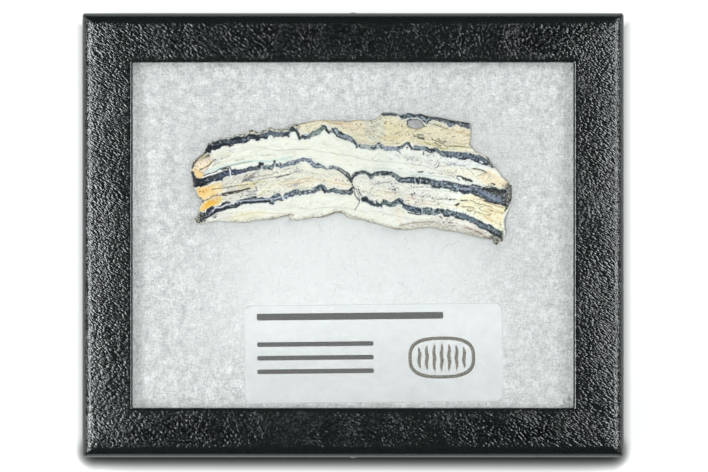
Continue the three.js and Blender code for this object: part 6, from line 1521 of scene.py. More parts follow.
    # dentine isn't quite even: thin grey and warm streaks along the tooth, and small paler flecks
    run = noise(x * 0.35, y * 2.4, 11.0, 420) + 0.6 * noise(x * 1.1, y * 5.0, 12.0, 421)
    soft = (1 - enamel) * (1 - ends)
    rgb = rgb - (soft * 9 * smooth(0.15, 0.85, run))[:, None] * np.array((1.0, 0.95, 0.7))
    rgb = rgb + (soft * 5 * smooth(0.15, 0.85, -run))[:, None] * np.array((0.9, 0.8, 1.6))
    rgb = rgb - (soft * 16 * smooth(0.42, 0.75, noise(x * 2.6, y * 3.4, 13.0, 422)))[:, None]
    rgb *= (1 + 0.020 * f3)[:, None]
    rgb *= np.array((1.0, 0.986, 1.0))
    return np.clip(rgb, 4, 255), enamel, pit, ends, mott


PAINT_GAIN = 0.605       # the tables hold the colours as lit in the case; the surface itself is a little darker


def to_linear(c):
    c = np.clip(c, 0, 255) / 255.0
    return PAINT_GAIN * np.where(c <= 0.04045, c / 12.92, ((c + 0.055) / 1.055) ** 2.4)


def grid_shape(x0, x1, y0, y1, h, depth):
    """Grid over a region, kept where depth(x, y) is positive, with its edge pulled onto the outline."""
    nx, ny = int(math.ceil((x1 - x0) / h)) + 1, int(math.ceil((y1 - y0) / h)) + 1
    xs, ys = x0 + h * np.arange(nx), y0 + h * np.arange(ny)
    X, Y = np.meshgrid(xs, ys, indexing="ij")
    F = depth(X.ravel(), Y.ravel()).reshape(nx, ny)
    mark = F > -0.45 * h
    cell = mark[:-1, :-1] & mark[1:, :-1] & mark[1:, 1:] & mark[:-1, 1:]
    # one connected piece
    seed = np.zeros_like(cell)
    i, j = np.unravel_index(np.argmax(F[:-1, :-1] * cell), cell.shape)
    seed[i, j] = True
    count = 0
    while True:
        for _ in range(40):
            g = seed.copy()
            g[1:] |= seed[:-1]; g[:-1] |= seed[1:]; g[:, 1:] |= seed[:, :-1]; g[:, :-1] |= seed[:, 1:]
            seed = g & cell
        if seed.sum() == count:
            break
        count = seed.sum()
    cell = seed
    for _ in range(30):                    # no two cells meeting only at a corner
        a, b, c, d = cell[:-1, :-1], cell[1:, :-1], cell[1:, 1:], cell[:-1, 1:]
        bad1 = a & c & ~b & ~d
        bad2 = b & d & ~a & ~c
        if not (bad1.any() or bad2.any()):
            break
        cell[:-1, :-1] &= ~bad1
        cell[1:, :-1] &= ~bad2
    GX, GY = np.gradient(F, h)
    used = np.zeros((nx, ny), int)
    for dx in (0, 1):
        for dy in (0, 1):
            used[dx:nx - 1 + dx, dy:ny - 1 + dy] += cell
    edge = (used > 0) & (used < 4)
    L2 = np.maximum(GX ** 2 + GY ** 2, 0.25)
    step = np.clip(F / L2, -0.9 * h, 0.9 * h)
    PX = np.where(edge, X - step * GX, X)
    PY = np.where(edge, Y - step * GY, Y)
    index = np.full((nx, ny), -1)
    keep = used > 0
    index[keep] = np.arange(keep.sum())
    quads = np.stack([index[:-1, :-1], index[1:, :-1], index[1:, 1:], index[:-1, 1:]], -1)[cell]
    norm = np.sqrt(L2)
    return PX[keep], PY[keep], quads, edge[keep], -(GX / norm)[keep], -(GY / norm)[keep]


def border_edges(quads):
    """Directed border edges of a patch of quads."""
    e = np.concatenate([quads[:, [0, 1]], quads[:, [1, 2]], quads[:, [2, 3]], quads[:, [3, 0]]])
    key = e[:, 0].astype(np.int64) * 10_000_000 + e[:, 1]
    rev = e[:, 1].astype(np.int64) * 10_000_000 + e[:, 0]
    return e[~np.isin(key, rev)]


def close_below(name, verts, quads, ring_edges, ring_index, extra_quads, uv=None, uv_below=None):
    """Joins the top grid, its wall and a filled underside into one closed mesh."""
    import bmesh
    ob = make_mesh(name, verts, [quads, extra_quads])
    bm = bmesh.new()
    bm.from_mesh(ob.data)
    bm.verts.ensure_lookup_table()
    bm.edges.ensure_lookup_table()
    border = [e for e in bm.edges if e.is_boundary]
    old = set(bm.faces)
    bmesh.ops.triangle_fill(bm, use_beauty=True, edges=border)
    bmesh.ops.recalc_face_normals(bm, faces=bm.faces[:])
    new = [f for f in bm.faces if f not in old]
    if uv is not None:
        layer = bm.loops.layers.uv.new("OFBake")
        for f in bm.faces:
            below = f in new if len(new) < 50 else False
            for lp in f.loops:
                lp[layer].uv = uv[lp.vert.index]
        for f in new:
            for lp in f.loops:
                lp[layer].uv = uv_below[lp.vert.index]
    for f in new:
        f.smooth = False
    bm.to_mesh(ob.data)
    bm.free()
    return ob


def build_slice():
    h = 0.165
    o = np.array(OUTLINE)
    x, y, quads, edge, nx, ny = grid_shape(o[:, 0].min() - 1, o[:, 0].max() + 1, o[:, 1].min() - 1, o[:, 1].max() + 1,
                                           h, lambda a, b: slice_depth(a, b)[0])
    rgb, enamel, pit, ends, mott = paint_slice(x, y)
    depth, hole = slice_depth(x, y)
    top = SLICE_HI[2]
    rim = 1 - smooth(0.0, 0.40, depth)
    relief = 0.02 + 0.015 * (1 + noise(x * 0.8, y * 0.8, 0.0, 501)) + 0.02 * (1 + fbm(x * 2.5, y * 2.5, 0.0, 2, 502)) * (1 - enamel)
    relief = relief + 0.10 * pit + 0.06 * rim * (1 + 0.6 * noise(x * 2, y * 2, 0, 503)) + ends * (0.25 + 0.22 * mott) \
        + 0.8 * ends * (1 - smooth(0.0, 1.2, depth))
    z = top - np.clip(relief, 0.01, 2.2)
    border = border_edges(quads)
    ring = np.unique(border)
    m = len(x)
    slot_of = np.full(m, -1)
    slot_of[ring] = np.arange(len(ring))
    levels = np.array([0.10, 0.24, 0.40, 0.56, 0.72, 0.88, 1.0])
    verts = [np.column_stack([x, y, z])]
    colour = [to_linear(rgb)]
    flags = [np.column_stack([enamel, ends])]
    bottom = SLICE_LO[2] + 0.02
    rx, ry, rz = x[ring], y[ring], z[ring]
    grown = [np.column_stack([rx, ry])]
    for k, t in enumerate(levels):
        zz = rz + (bottom - rz) * t
        swell = 0.16 * fbm(rx * 0.7, ry * 0.7, zz * 0.9, 3, 510) + 0.08 * noise(rx * 2.4, ry * 2.4, zz * 2.4, 511) - 0.06
        swell = np.minimum(swell, 0.0) * np.where(hole[ring] < 0.5, 0.5, 1.0)
        verts.append(np.column_stack([rx + nx[ring] * swell, ry + ny[ring] * swell, zz]))
        tone = 0.82 + 0.16 * fbm(rx * 0.9, ry * 0.9, zz * 1.4, 3, 512)
        side = (0.6 * rgb[ring] + 0.4 * np.array((214, 210, 188))) * (0.06 + tone[:, None]) * np.array((0.98, 0.97, 0.93))
        colour.append(to_linear(side))
        flags.append(np.column_stack([enamel[ring], np.ones(len(ring))]))
        grown.append(np.column_stack([rx + nx[ring] * 2.0 * t, ry + ny[ring] * 2.0 * t]))
    walls = []
    R = len(ring)
    a, b = border[:, 0], border[:, 1]
    for k in range(len(levels)):
        if k == 0:
            ta, tb = a, b
        else:
            ta, tb = m + (k - 1) * R + slot_of[a], m + (k - 1) * R + slot_of[b]
        ba, bb = m + k * R + slot_of[a], m + k * R + slot_of[b]
        walls.append(np.stack([tb, ta, ba, bb], 1))
    V = np.concatenate(verts)
    plan = np.concatenate([np.column_stack([x, y])] + grown[1:])
    lo = np.array([o[:, 0].min() - 2.6, o[:, 1].min() - 2.6])
    span = (o[:, 0].max() + 2.6) - lo[0]
    uv = (plan - lo) / span * 0.998 + 0.001
    below = (V[:, :2] - lo) / span * 0.998 + 0.001
    below[:, 1] += 0.5
    ob = close_below("molar_slice_tooth", V, quads, border, ring, np.concatenate(walls), uv, below)
    add_color(ob, "paint", np.column_stack([np.concatenate(colour), np.ones(len(V))]))
    fl = np.concatenate(flags)
    # the polished face is smooth shaded and the sawn wall is not, so no dark seam runs round the edge
    nz = np.empty(len(ob.data.polygons) * 3, np.float32)
    ob.data.polygons.foreach_get("normal", nz)
    ob.data.polygons.foreach_set("use_smooth", np.abs(nz.reshape(-1, 3)[:, 2]) > 0.55)
    add_float(ob, "enamel", fl[:, 0])
    add_float(ob, "broken", fl[:, 1])
    return ob


def tooth_material():
    m = Mat("polished_fossil_tooth")
    p = m.coords(scale=(1000, 1000, 1000))
    paint = m.attr("paint", "Color")
    enamel = m.attr("enamel")
    broken = m.attr("broken")
    grain = m.noise(m.coords(vector=p, scale=(2.2, 7.5, 4.0)), 1.0, 4.0, 0.62)
    fine = m.noise(m.coords(vector=p, scale=(11, 13, 11)), 1.0, 3.0, 0.6)
    pores = m.voronoi(m.coords(vector=p, scale=(5.5, 6.5, 6.0)), 1.0, "F1")
    pore = m.math("MULTIPLY", m.maprange(pores, 0.05, 0.22, 1.0, 0.0), m.math("SUBTRACT", 1.0, enamel))
    # slight shifts of tone, finer than the painted layers
    tone = m.maprange(grain, 0.25, 0.75, 0.90, 1.07, "LINEAR")
    tone2 = m.maprange(fine, 0.25, 0.75, 0.94, 1.05, "LINEAR")
    tones = m.math("MULTIPLY", tone, tone2)
    grey = m.node("ShaderNodeCombineColor")
    for i in range(3):
        m.link(tones, grey.inputs[i])
    col = m.mix(1.0, paint, grey.outputs[0], "MULTIPLY")
    warm = m.mix(m.maprange(grain, 0.5, 0.8, 0.0, 0.22), col, (0.80, 0.70, 0.48), "MULTIPLY")
    warm = m.mix(m.math("MULTIPLY", pore, 0.35), warm, (0.42, 0.36, 0.26), "MULTIPLY")
    rough = m.math("MULTIPLY_ADD", m.math("SUBTRACT", 1.0, enamel), 0.16, 0.30)
    rough = m.math("MULTIPLY_ADD", broken, 0.35, m.math("MULTIPLY_ADD", fine, 0.1, rough), clamp=True)
    # saw and polish marks, very fine and nearly parallel
    saw = m.noise(m.coords(vector=p, scale=(0.4, 9.0, 1.0), rotation=(0, 0, 0.35)), 1.0, 3.0, 0.7)
    h = m.math("MULTIPLY_ADD", saw, 0.25, m.math("MULTIPLY", fine, 0.35))
    h = m.math("MULTIPLY_ADD", pore, -0.8, h)
    h = m.math("MULTIPLY_ADD", m.math("MULTIPLY", broken, grain), 3.0, h)
    normal = m.bump(h, 0.35, 0.00004)
    s = m.principled(warm, rough, normal)
    s.inputs["IOR"].default_value = 1.52
    s.inputs["Specular IOR Level"].default_value = 0.2
    s.inputs["Subsurface Weight"].default_value = 0.0
    return m.finish(s.outputs[0])


# ---------------------------------------------------------------- batting
def fibre_height(x, y):
    """Height of the batting's top, in mm, and distance outside the slice's edge."""
    d = -slice_depth(x, y)[0]
    ceiling = FIB_HI[2] - 0.06
    edge = np.minimum(WIN_X - np.abs(x), WIN_Y - np.abs(y))
    body = ceiling - 0.10 * (1 + fbm(x * 0.22, y * 0.22, 0.0, 3, 601)) \
        - 0.08 * (1 + fbm(x * 0.75, y * 0.75, 2.0, 3, 602)) \
        - 0.06 * (1 - smooth(-1.5, 9.0, edge)) * (1 + 0.35 * noise(x * 0.3, y * 0.3, 1.0, 603))
    below = smooth(2.0, -4.0, y - height_at(E2U, x))
    pull = 0.30 + 0.25 * below + 0.22 * noise(x * 0.16, y * 0.16, 4.0, 604)
    body = body - np.maximum(pull, 0.15) * np.exp(-np.maximum(d, 0) / 2.1)
    nest = FIB_LO[2] + 6.85
    in_hole = smooth(-0.1, 0.9, depth_inside(x, y, HOLE) + 0.1)
    floor = nest + in_hole * 3.0
    drop = smooth(-0.45, -1.0, d)
    z = body * (1 - drop) + floor * drop
    fine = 0.05 * noise(x * 1.7, y * 1.7, 0.0, 605) + 0.035 * noise(x * 3.3, y * 3.3, 0.0, 606)
    fine = fine * (0.8 - 0.7 * calm_at(x, y))
    return np.minimum(z + fine * (1 - drop), ceiling), d


def smooth_rev(a, b, x):
    return 1 - smooth(b, a, x)


def fibre_tone_and_painted_light_at(x, y):
    """The fibre's diffuse reflectance with painted light and shade in it: brightest over the middle of the window,
    greyer towards its ends and its left half, beside the slice where it is pressed down and in the slice's hole, all
    painted shade, and whiter along the window's edges, painted light."""
    d = -slice_depth(x, y)[0]
    ex, ey = np.abs(x), np.abs(y + 7.0 + 3.0 * noise(x * 0.05, y * 0.05, 1.0, 622))
    far_y, far_x = smooth(10.0, 40.0, ey), smooth(20.0, 50.0, ex)
    # painted shade: greyer towards the window's ends, and a little towards the left
    w = 0.494 - 0.066 * (far_x + far_y - far_x * far_y)
    w = w * (1 - 0.075 * smooth(10.0, 38.0, -x))
    # painted light: the fibre is made whiter along the window's edges, most at its left end, where the lid's shadow
    # falls
    w = w + np.where(x < 0, 0.13, 0.05) * (1 - smooth(0.0, 6.5, WIN_X - ex)) + np.where(x < 0, 0.37, 0.12) * (1 - smooth(1.3, 3.1, WIN_X - ex))
    w = w + np.where(y < 0, 0.06, 0.03) * (1 - smooth(0.0, 2.5, WIN_Y - np.abs(y)))
    w = w + 0.016 * fbm(x * 0.18, y * 0.18, 5.0, 3, 623) \
        + 0.150 * fbm(x * 0.42, y * 0.42, 7.0, 3, 624) * (1 - calm_at(x, y))
    # painted shade beside the slice
    w = w * (1 - 0.15 * np.exp(-np.maximum(d, 0) / 3.2) * (0.9 + 0.3 * noise(x * 0.4, y * 0.4, 2.0, 620)))
    # painted shade where the fibre shows through the slice's hole
    hole = smooth(-0.6, 0.2, depth_inside(x, y, HOLE))
    return np.clip(w * (1 - 0.30 * hole), 0.2, 0.95)


def calm_at(x, y):
    """The middle of the sheet is smooth; towards the window's edges the fibre is tufted."""
    edge = np.minimum(WIN_X - np.abs(x), WIN_Y - np.abs(y))
    return smooth(4.0, 33.0, edge + 6.0 * noise(x * 0.07, y * 0.07, 3.0, 621))


def build_batting():
    lo, hi = FIB_LO, FIB_HI
    hx, hy = hi[0] - 0.1, hi[1] - 0.1
    nx, ny = 300, 245
    xs, ys = np.linspace(-hx, hx, nx), np.linspace(-hy, hy, ny)
    X, Y = np.meshgrid(xs, ys, indexing="ij")
    x, y = X.ravel(), Y.ravel()
    z, d = fibre_height(x, y)
    edge = np.minimum(hx - np.abs(x), hy - np.abs(y))
    z = z - 1.6 * (1 - smooth(0, 2.6, edge)) ** 2
    quads = grid_faces(nx, ny)
    border = border_edges(quads)
    ring = np.unique(border)
    slot_of = np.full(len(x), -1)
    slot_of[ring] = np.arange(len(ring))
    verts = [np.column_stack([x, y, z])]
    rx, ry, rz = x[ring], y[ring], z[ring]
    sx = np.where(np.abs(rx) > hx - 1e-6, np.sign(rx), 0)
    sy = np.where(np.abs(ry) > hy - 1e-6, np.sign(ry), 0)
    bottom = lo[2] + 0.05
    R, m = len(ring), len(x)
    walls, grown = [], [np.column_stack([x, y])]
    levels = (0.12, 0.3, 0.5, 0.7, 0.88, 1.0)
    for k, t in enumerate(levels):
        zz = rz + (bottom - rz) * t
        puff = 0.05 - 0.5 * abs(t - 0.45) ** 2 * 2 + 0.25 * fbm(rx * 0.4, ry * 0.4, zz * 0.4, 3, 610) - 0.2
        puff = np.minimum(puff, 0.06)
        verts.append(np.column_stack([rx + sx * puff, ry + sy * puff, zz]))
        grown.append(np.column_stack([rx + sx * 3 * t, ry + sy * 3 * t]))
        a, b = border[:, 0], border[:, 1]
        ta, tb = (a, b) if k == 0 else (m + (k - 1) * R + slot_of[a], m + (k - 1) * R + slot_of[b])
        ba, bb = m + k * R + slot_of[a], m + k * R + slot_of[b]
        walls.append(np.stack([tb, ta, ba, bb], 1))
    V = np.concatenate(verts)
    plan = np.concatenate(grown)
    uv = plan / 140.0 + 0.5
    ob = close_below("fibre_batting_pad", V, quads, border, ring, np.concatenate(walls), uv, uv)
    add_float(ob, "fibre_tone_and_painted_light", fibre_tone_and_painted_light_at(V[:, 0], V[:, 1]))
    add_float(ob, "calm", calm_at(V[:, 0], V[:, 1]))
    return ob


def build_strands(name, count, seed, z_up, radius, length, steps=9):
    """Loose polyester strands lying on the batting, each a thin closed flattened tube along a wandering line."""
    rng = np.random.default_rng(seed)
    made, tries = [], 0
    x0 = rng.uniform(-WIN_X - 2, WIN_X + 2, count * 3)
    y0 = rng.uniform(-WIN_Y - 2, WIN_Y + 2, count * 3)
    # strands gather in tufts, and are sparser in the middle where the pad is pressed flat
    tuft = fbm(x0 * 0.45, y0 * 0.45, 0.0, 3, seed + 1)
    edge = np.minimum(WIN_X - np.abs(x0), WIN_Y - np.abs(y0))
    want = 0.12 + 0.55 * smooth(-0.35, 0.45, tuft) * (1 - smooth(10, 34, edge)) + 0.9 * (1 - smooth(0, 26, edge))
    keep = rng.uniform(0, 1.3, len(x0)) < want
    x0, y0 = x0[keep], y0[keep]
    n = len(x0)
    heading = rng.uniform(0, 2 * np.pi, n) + 0.0
    # a slight lean to the direction the sheet was carded in
    heading = np.where(rng.uniform(0, 1, n) < 0.45, np.radians(68) + rng.normal(0, 0.45, n), heading)
    bend = rng.normal(0, 0.16, n)
    seg = rng.uniform(0.6, 1.25, n) * length / steps
    P = np.zeros((n, steps + 1, 2))
    P[:, 0, 0], P[:, 0, 1] = x0, y0
    h = heading.copy()
    for k in range(steps):
        bend = bend * 0.75 + rng.normal(0, 0.13, n)
        h = h + bend
        P[:, k + 1, 0] = P[:, k, 0] + seg * np.cos(h)
        P[:, k + 1, 1] = P[:, k, 1] + seg * np.sin(h)
    flat = P.reshape(-1, 2)
    z, d = fibre_height(flat[:, 0], flat[:, 1])
    z = z.reshape(n, steps + 1)
    d = d.reshape(n, steps + 1)
    inside = (np.abs(P[..., 0]) < WIN_X + 5) & (np.abs(P[..., 1]) < WIN_Y + 5) & (d > 0.06)
    ok = inside.all(1)
    P, z = P[ok][:count], z[ok][:count]
    n = len(P)
    lift = rng.uniform(-0.03, z_up, n)[:, None] * np.sin(np.linspace(0.25, np.pi - 0.25, steps + 1))[None, :]
    wave = 0.02 * np.sin(rng.uniform(0, 6.28, n)[:, None] + np.linspace(0, 5, steps + 1)[None, :])
    Z = np.minimum(z + lift + wave, GLASS_LO[2] - 0.07)
    C = np.concatenate([P, Z[..., None]], -1)
    T = np.gradient(C, axis=1)
    T /= np.linalg.norm(T, axis=2, keepdims=True)
    up = np.array([0, 0, 1.0])
    S = np.cross(T, up)
    S /= np.linalg.norm(S, axis=2, keepdims=True) + 1e-9
    U = np.cross(S, T)
    r = rng.uniform(0.7, 1.3, n)[:, None] * radius * np.ones(steps + 1)[None, :]
    r[:, 0] *= 0.3
    r[:, -1] *= 0.3
    ringpts = []
    for a in (np.pi / 2, np.pi / 2 + 2 * np.pi / 3, np.pi / 2 + 4 * np.pi / 3):
        ringpts.append(C + r[..., None] * (np.cos(a) * S + 0.18 * np.sin(a) * U))
    V = np.stack(ringpts, 2)                       # n, steps + 1, 3, 3
    idx = np.arange(n * (steps + 1) * 3).reshape(n, steps + 1, 3)
    q = []
    for j in range(3):
        j2 = (j + 1) % 3
        q.append(np.stack([idx[:, :-1, j], idx[:, 1:, j], idx[:, 1:, j2], idx[:, :-1, j2]], -1).reshape(-1, 4))
    caps = np.concatenate([idx[:, 0, :], idx[:, -1, ::-1]])
    ob = make_mesh(name, V.reshape(-1, 3), [np.concatenate(q), caps[:, ::-1]])
    plan = V.reshape(-1, 3)[:, :2]
    add_uv(ob, plan / 140.0 + 0.5)
    add_float(ob, "fibre_tone_and_painted_light", fibre_tone_and_painted_light_at(plan[:, 0], plan[:, 1]))
    add_float(ob, "calm", calm_at(plan[:, 0], plan[:, 1]))
    return ob


def batting_material(name="white_polyester_batting", strands=False):
    m = Mat(name)
    p = m.coords(scale=(1000, 1000, 1000))
    a = m.noise(m.coords(vector=p, scale=(2.7, 0.85, 0.8), rotation=(0, 0, 0.5)), 1.0, 5.0, 0.68, 0.5)
    b = m.noise(m.coords(vector=p, scale=(0.85, 2.9, 0.8), rotation=(0, 0, -0.35)), 1.0, 5.0, 0.68, 0.5)
    c = m.noise(m.coords(vector=p, scale=(1.9, 1.9, 1.9)), 1.0, 4.0, 0.66, 0.4)
    cloud = m.noise(m.coords(vector=p, scale=(0.07, 0.07, 0.07)), 1.0, 3.0, 0.5)
    web = m.math("MULTIPLY", m.math("ADD", m.math("ADD", a, b), c), 1 / 3)
    calm, fibre_tone_and_painted_light = m.attr("calm"), m.attr("fibre_tone_and_painted_light")
    # threads and the gaps between them, softer in the middle of the sheet
    spread = m.maprange(calm, 0.0, 1.0, 0.62, 0.12, "LINEAR") if not strands else m.maprange(calm, 0.0, 1.0, 0.16, 0.05, "LINEAR")
    tone = m.math("SUBTRACT", m.maprange(web, 0.38, 0.62, 0.0, 1.0), 0.5)
    tone = m.math("MULTIPLY_ADD", tone, spread, m.math("MULTIPLY_ADD", cloud, 0.03, 0.985))
    value = m.math("MULTIPLY", fibre_tone_and_painted_light, tone)
    # painted light: the loose strands are coloured lighter than the pad they lie on, most towards the window's edges
    if strands:
        value = m.math("MULTIPLY", value, m.maprange(calm, 0.0, 1.0, 1.30, 1.02, "LINEAR"))
    col = m.node("ShaderNodeCombineColor")
    m.link(m.math("MULTIPLY", value, 0.985), col.inputs[0])
    m.link(value, col.inputs[1])
    m.link(m.math("MULTIPLY", value, 1.0), col.inputs[2])
    col = col.outputs[0]
    h = m.math("MULTIPLY", m.math("MULTIPLY_ADD", c, 0.6, web), m.maprange(calm, 0.0, 1.0, 1.0, 0.25, "LINEAR"))
    normal = m.bump(h, 0.5, 0.00006)
    s = m.principled(col, 0.9, normal)
    s.inputs["Sheen Weight"].default_value = 0.1
    s.inputs["Sheen Roughness"].default_value = 0.5
    s.inputs["Specular IOR Level"].default_value = 0.25
    return m.finish(s.outputs[0])


# ---------------------------------------------------------------- label
LABEL_TURN = math.radians(0.6)
LABEL_C = (float(LABEL_LO[0] + LABEL_HI[0]) / 2, float(LABEL_LO[1] + LABEL_HI[1]) / 2)
LABEL_W, LABEL_H = 66.7, 25.4


def label_place(u, v):
    """From the label's own axes (right, up, from its middle) to the case."""
    c, s = math.cos(LABEL_TURN), math.sin(LABEL_TURN)
    return LABEL_C[0] + u * c - v * s, LABEL_C[1] + u * s + v * c


def prism(name, outline, z0, z1, bevel=0.0):
    """A thin flat piece with a softened upper edge."""
    import bmesh
    bm = bmesh.new()
    for loop in (outline,):
        rows = []
        q = np.asarray(loop, float)
        t = np.roll(q, -1, 0) - np.roll(q, 1, 0)
        nrm = np.column_stack([t[:, 1], -t[:, 0]])
        nrm /= np.linalg.norm(nrm, axis=1, keepdims=True) + 1e-12
        for z, inset in ((z0, 0.0), (z1 - bevel, 0.0), (z1, bevel)):
            rows.append([bm.verts.new(((x - nx_ * inset) * MM, (y - ny_ * inset) * MM, z * MM))
                         for (x, y), (nx_, ny_) in zip(q, nrm)])
        n = len(q)
        for a, b in zip(rows[:-1], rows[1:]):
            for i in range(n):
                j = (i + 1) % n
                bm.faces.new((a[i], a[j], b[j], b[i]))
        lids = [bm.faces.new(rows[-1]), bm.faces.new(rows[0][::-1])]
    bmesh.ops.triangulate(bm, faces=lids)
    bmesh.ops.recalc_face_normals(bm, faces=bm.faces[:])
    me = bpy.data.meshes.new(name)
    bm.to_mesh(me)
    bm.free()
    ob = bpy.data.objects.new(name, me)
    bpy.context.scene.collection.objects.link(ob)
    return ob


def ring_prism(name, outer, inner, z0, z1):
    """A thin flat closed band between two outlines with the same number of points."""
    n = len(outer)
    V = [(x, y, z) for loop, z in ((outer, z0), (outer, z1), (inner, z1), (inner, z0)) for x, y in loop]
    q = []
    for k in range(4):
        a, b = k * n, ((k + 1) % 4) * n
        q += [(a + i, a + (i + 1) % n, b + (i + 1) % n, b + i) for i in range(n)]
    return make_mesh(name, np.array(V), [np.array(q)], shade_smooth=False)


def rounded_rect(w, h, r, n=8):
    pts = []
    for cx, cy, a0 in ((w / 2 - r, -h / 2 + r, -90), (w / 2 - r, h / 2 - r, 0), (-w / 2 + r, h / 2 - r, 90), (-w / 2 + r, -h / 2 + r, 180)):
        for a in np.radians(np.linspace(a0, a0 + 90, n)):
            pts.append((cx + r * math.cos(a), cy + r * math.sin(a)))
    return pts


def build_label():
    w, h = LABEL_W, LABEL_H
    # a gently waved film: a grid inside a rounded outline
    nx, ny = 134, 52
    r = 1.8

    def depth(x, y):
        qx, qy = np.abs(x) - (w / 2 - r), np.abs(y) - (h / 2 - r)
        out = np.hypot(np.maximum(qx, 0), np.maximum(qy, 0)) + np.minimum(np.maximum(qx, qy), 0) - r
        return -out
    x, y, quads, edge, gx, gy = grid_shape(-w / 2 - 0.5, w / 2 + 0.5, -h / 2 - 0.5, h / 2 + 0.5, 0.5, depth)
    z1 = LABEL_HI[2] - 0.012 + 0.010 * noise(x * 0.12, y * 0.12, 0, 701)
    cx, cy = label_place(x, y)
    border = border_edges(quads)
    m = len(x)
    V = np.concatenate([np.column_stack([cx, cy, z1]), np.column_stack([cx, cy, z1 * 0 + LABEL_LO[2] + 0.005])])
    a, b = border[:, 0], border[:, 1]
    walls = np.stack([b, a, m + a, m + b], 1)
    uv = np.column_stack([(V[:, 0] - LABEL_C[0]) / 70 + 0.5, (V[:, 1] - LABEL_C[1]) / 70 + 0.75])
    uv[m:, 1] -= 0.5
    ob = make_mesh("label_film", V, [quads, quads[:, ::-1] + m, walls], shade_smooth=False)
    add_uv(ob, uv)
    return ob


def label_material():
    m = Mat("frosted_label_film")
    p = m.coords(scale=(1000, 1000, 1000))
    cloud = m.noise(m.coords(vector=p, scale=(0.25, 0.25, 0.25)), 1.0, 4.0, 0.55)
    grit = m.noise(m.coords(vector=p, scale=(5, 5, 5)), 1.0, 3.0, 0.6)
    sep = m.node("ShaderNodeSeparateXYZ")
    m.link(p, sep.inputs[0])
    # the film's colour is paler towards its upper and right-hand edges
    fade = m.math("ADD", m.maprange(sep.outputs[1], -37.0, -21.0, 0.0, 0.75), m.maprange(sep.outputs[0], 14.0, 36.0, 0.0, 0.35))
    fade = m.math("MULTIPLY_ADD", m.math("SUBTRACT", cloud, 0.5), 0.25, fade, clamp=True)
    col = m.mix(fade, (0.722, 0.742, 0.740), (0.852, 0.870, 0.868))
    rough = m.maprange(grit, 0.3, 0.7, 0.42, 0.6, "LINEAR")
    s = m.principled(col, rough, m.bump(grit, 0.25, 0.00002))
    s.inputs["Specular IOR Level"].default_value = 0.35
    clear = m.node("ShaderNodeBsdfTransparent")
    clear.inputs[0].default_value = (0.97, 0.98, 0.98, 1.0)
    mixer = m.node("ShaderNodeMixShader")
    share = m.maprange(cloud, 0.2, 0.8, 0.40, 0.46, "LINEAR")
    m.link(share, mixer.inputs[0])
    m.link(clear.outputs[0], mixer.inputs[1])
    m.link(s.outputs[0], mixer.inputs[2])
    return m.finish(mixer.outputs[0])


def print_material(name, dark, light, spread=0.5):
    m = Mat(name)
    p = m.coords(scale=(1000, 1000, 1000))
    dots = m.noise(m.coords(vector=p, scale=(3.2, 3.2, 3.2)), 1.0, 4.0, 0.7)
    col = m.mix(m.maprange(dots, 0.35, 0.65, 0.0, 1.0), dark, light)
    s = m.principled(col, m.maprange(dots, 0.3, 0.7, 0.55, 0.7, "LINEAR"), m.bump(dots, 0.2, 0.00001))
    return m.finish(s.outputs[0])


def bar_outline(u0, u1, v0, v1, rnd):
    w, h = u1 - u0, v1 - v0
    return [label_place((u0 + u1) / 2 + a, (v0 + v1) / 2 + b) for a, b in rounded_rect(w, h, rnd, 4)]


def join(name, objs):
    import bmesh
    bm = bmesh.new()
    for o in objs:
        bm.from_mesh(o.data)
        bpy.data.objects.remove(o)
    me = bpy.data.meshes.new(name)
    bm.to_mesh(me)
    bm.free()
    ob = bpy.data.objects.new(name, me)
    bpy.context.scene.collection.objects.link(ob)
    return ob


def label_uv(px, py, z=17.1):
    """Case coordinates to the label's own axes."""
    dx, dy = px - LABEL_C[0], py - LABEL_C[1]
    c, s = math.cos(LABEL_TURN), math.sin(LABEL_TURN)
    return dx * c + dy * s, -dx * s + dy * c


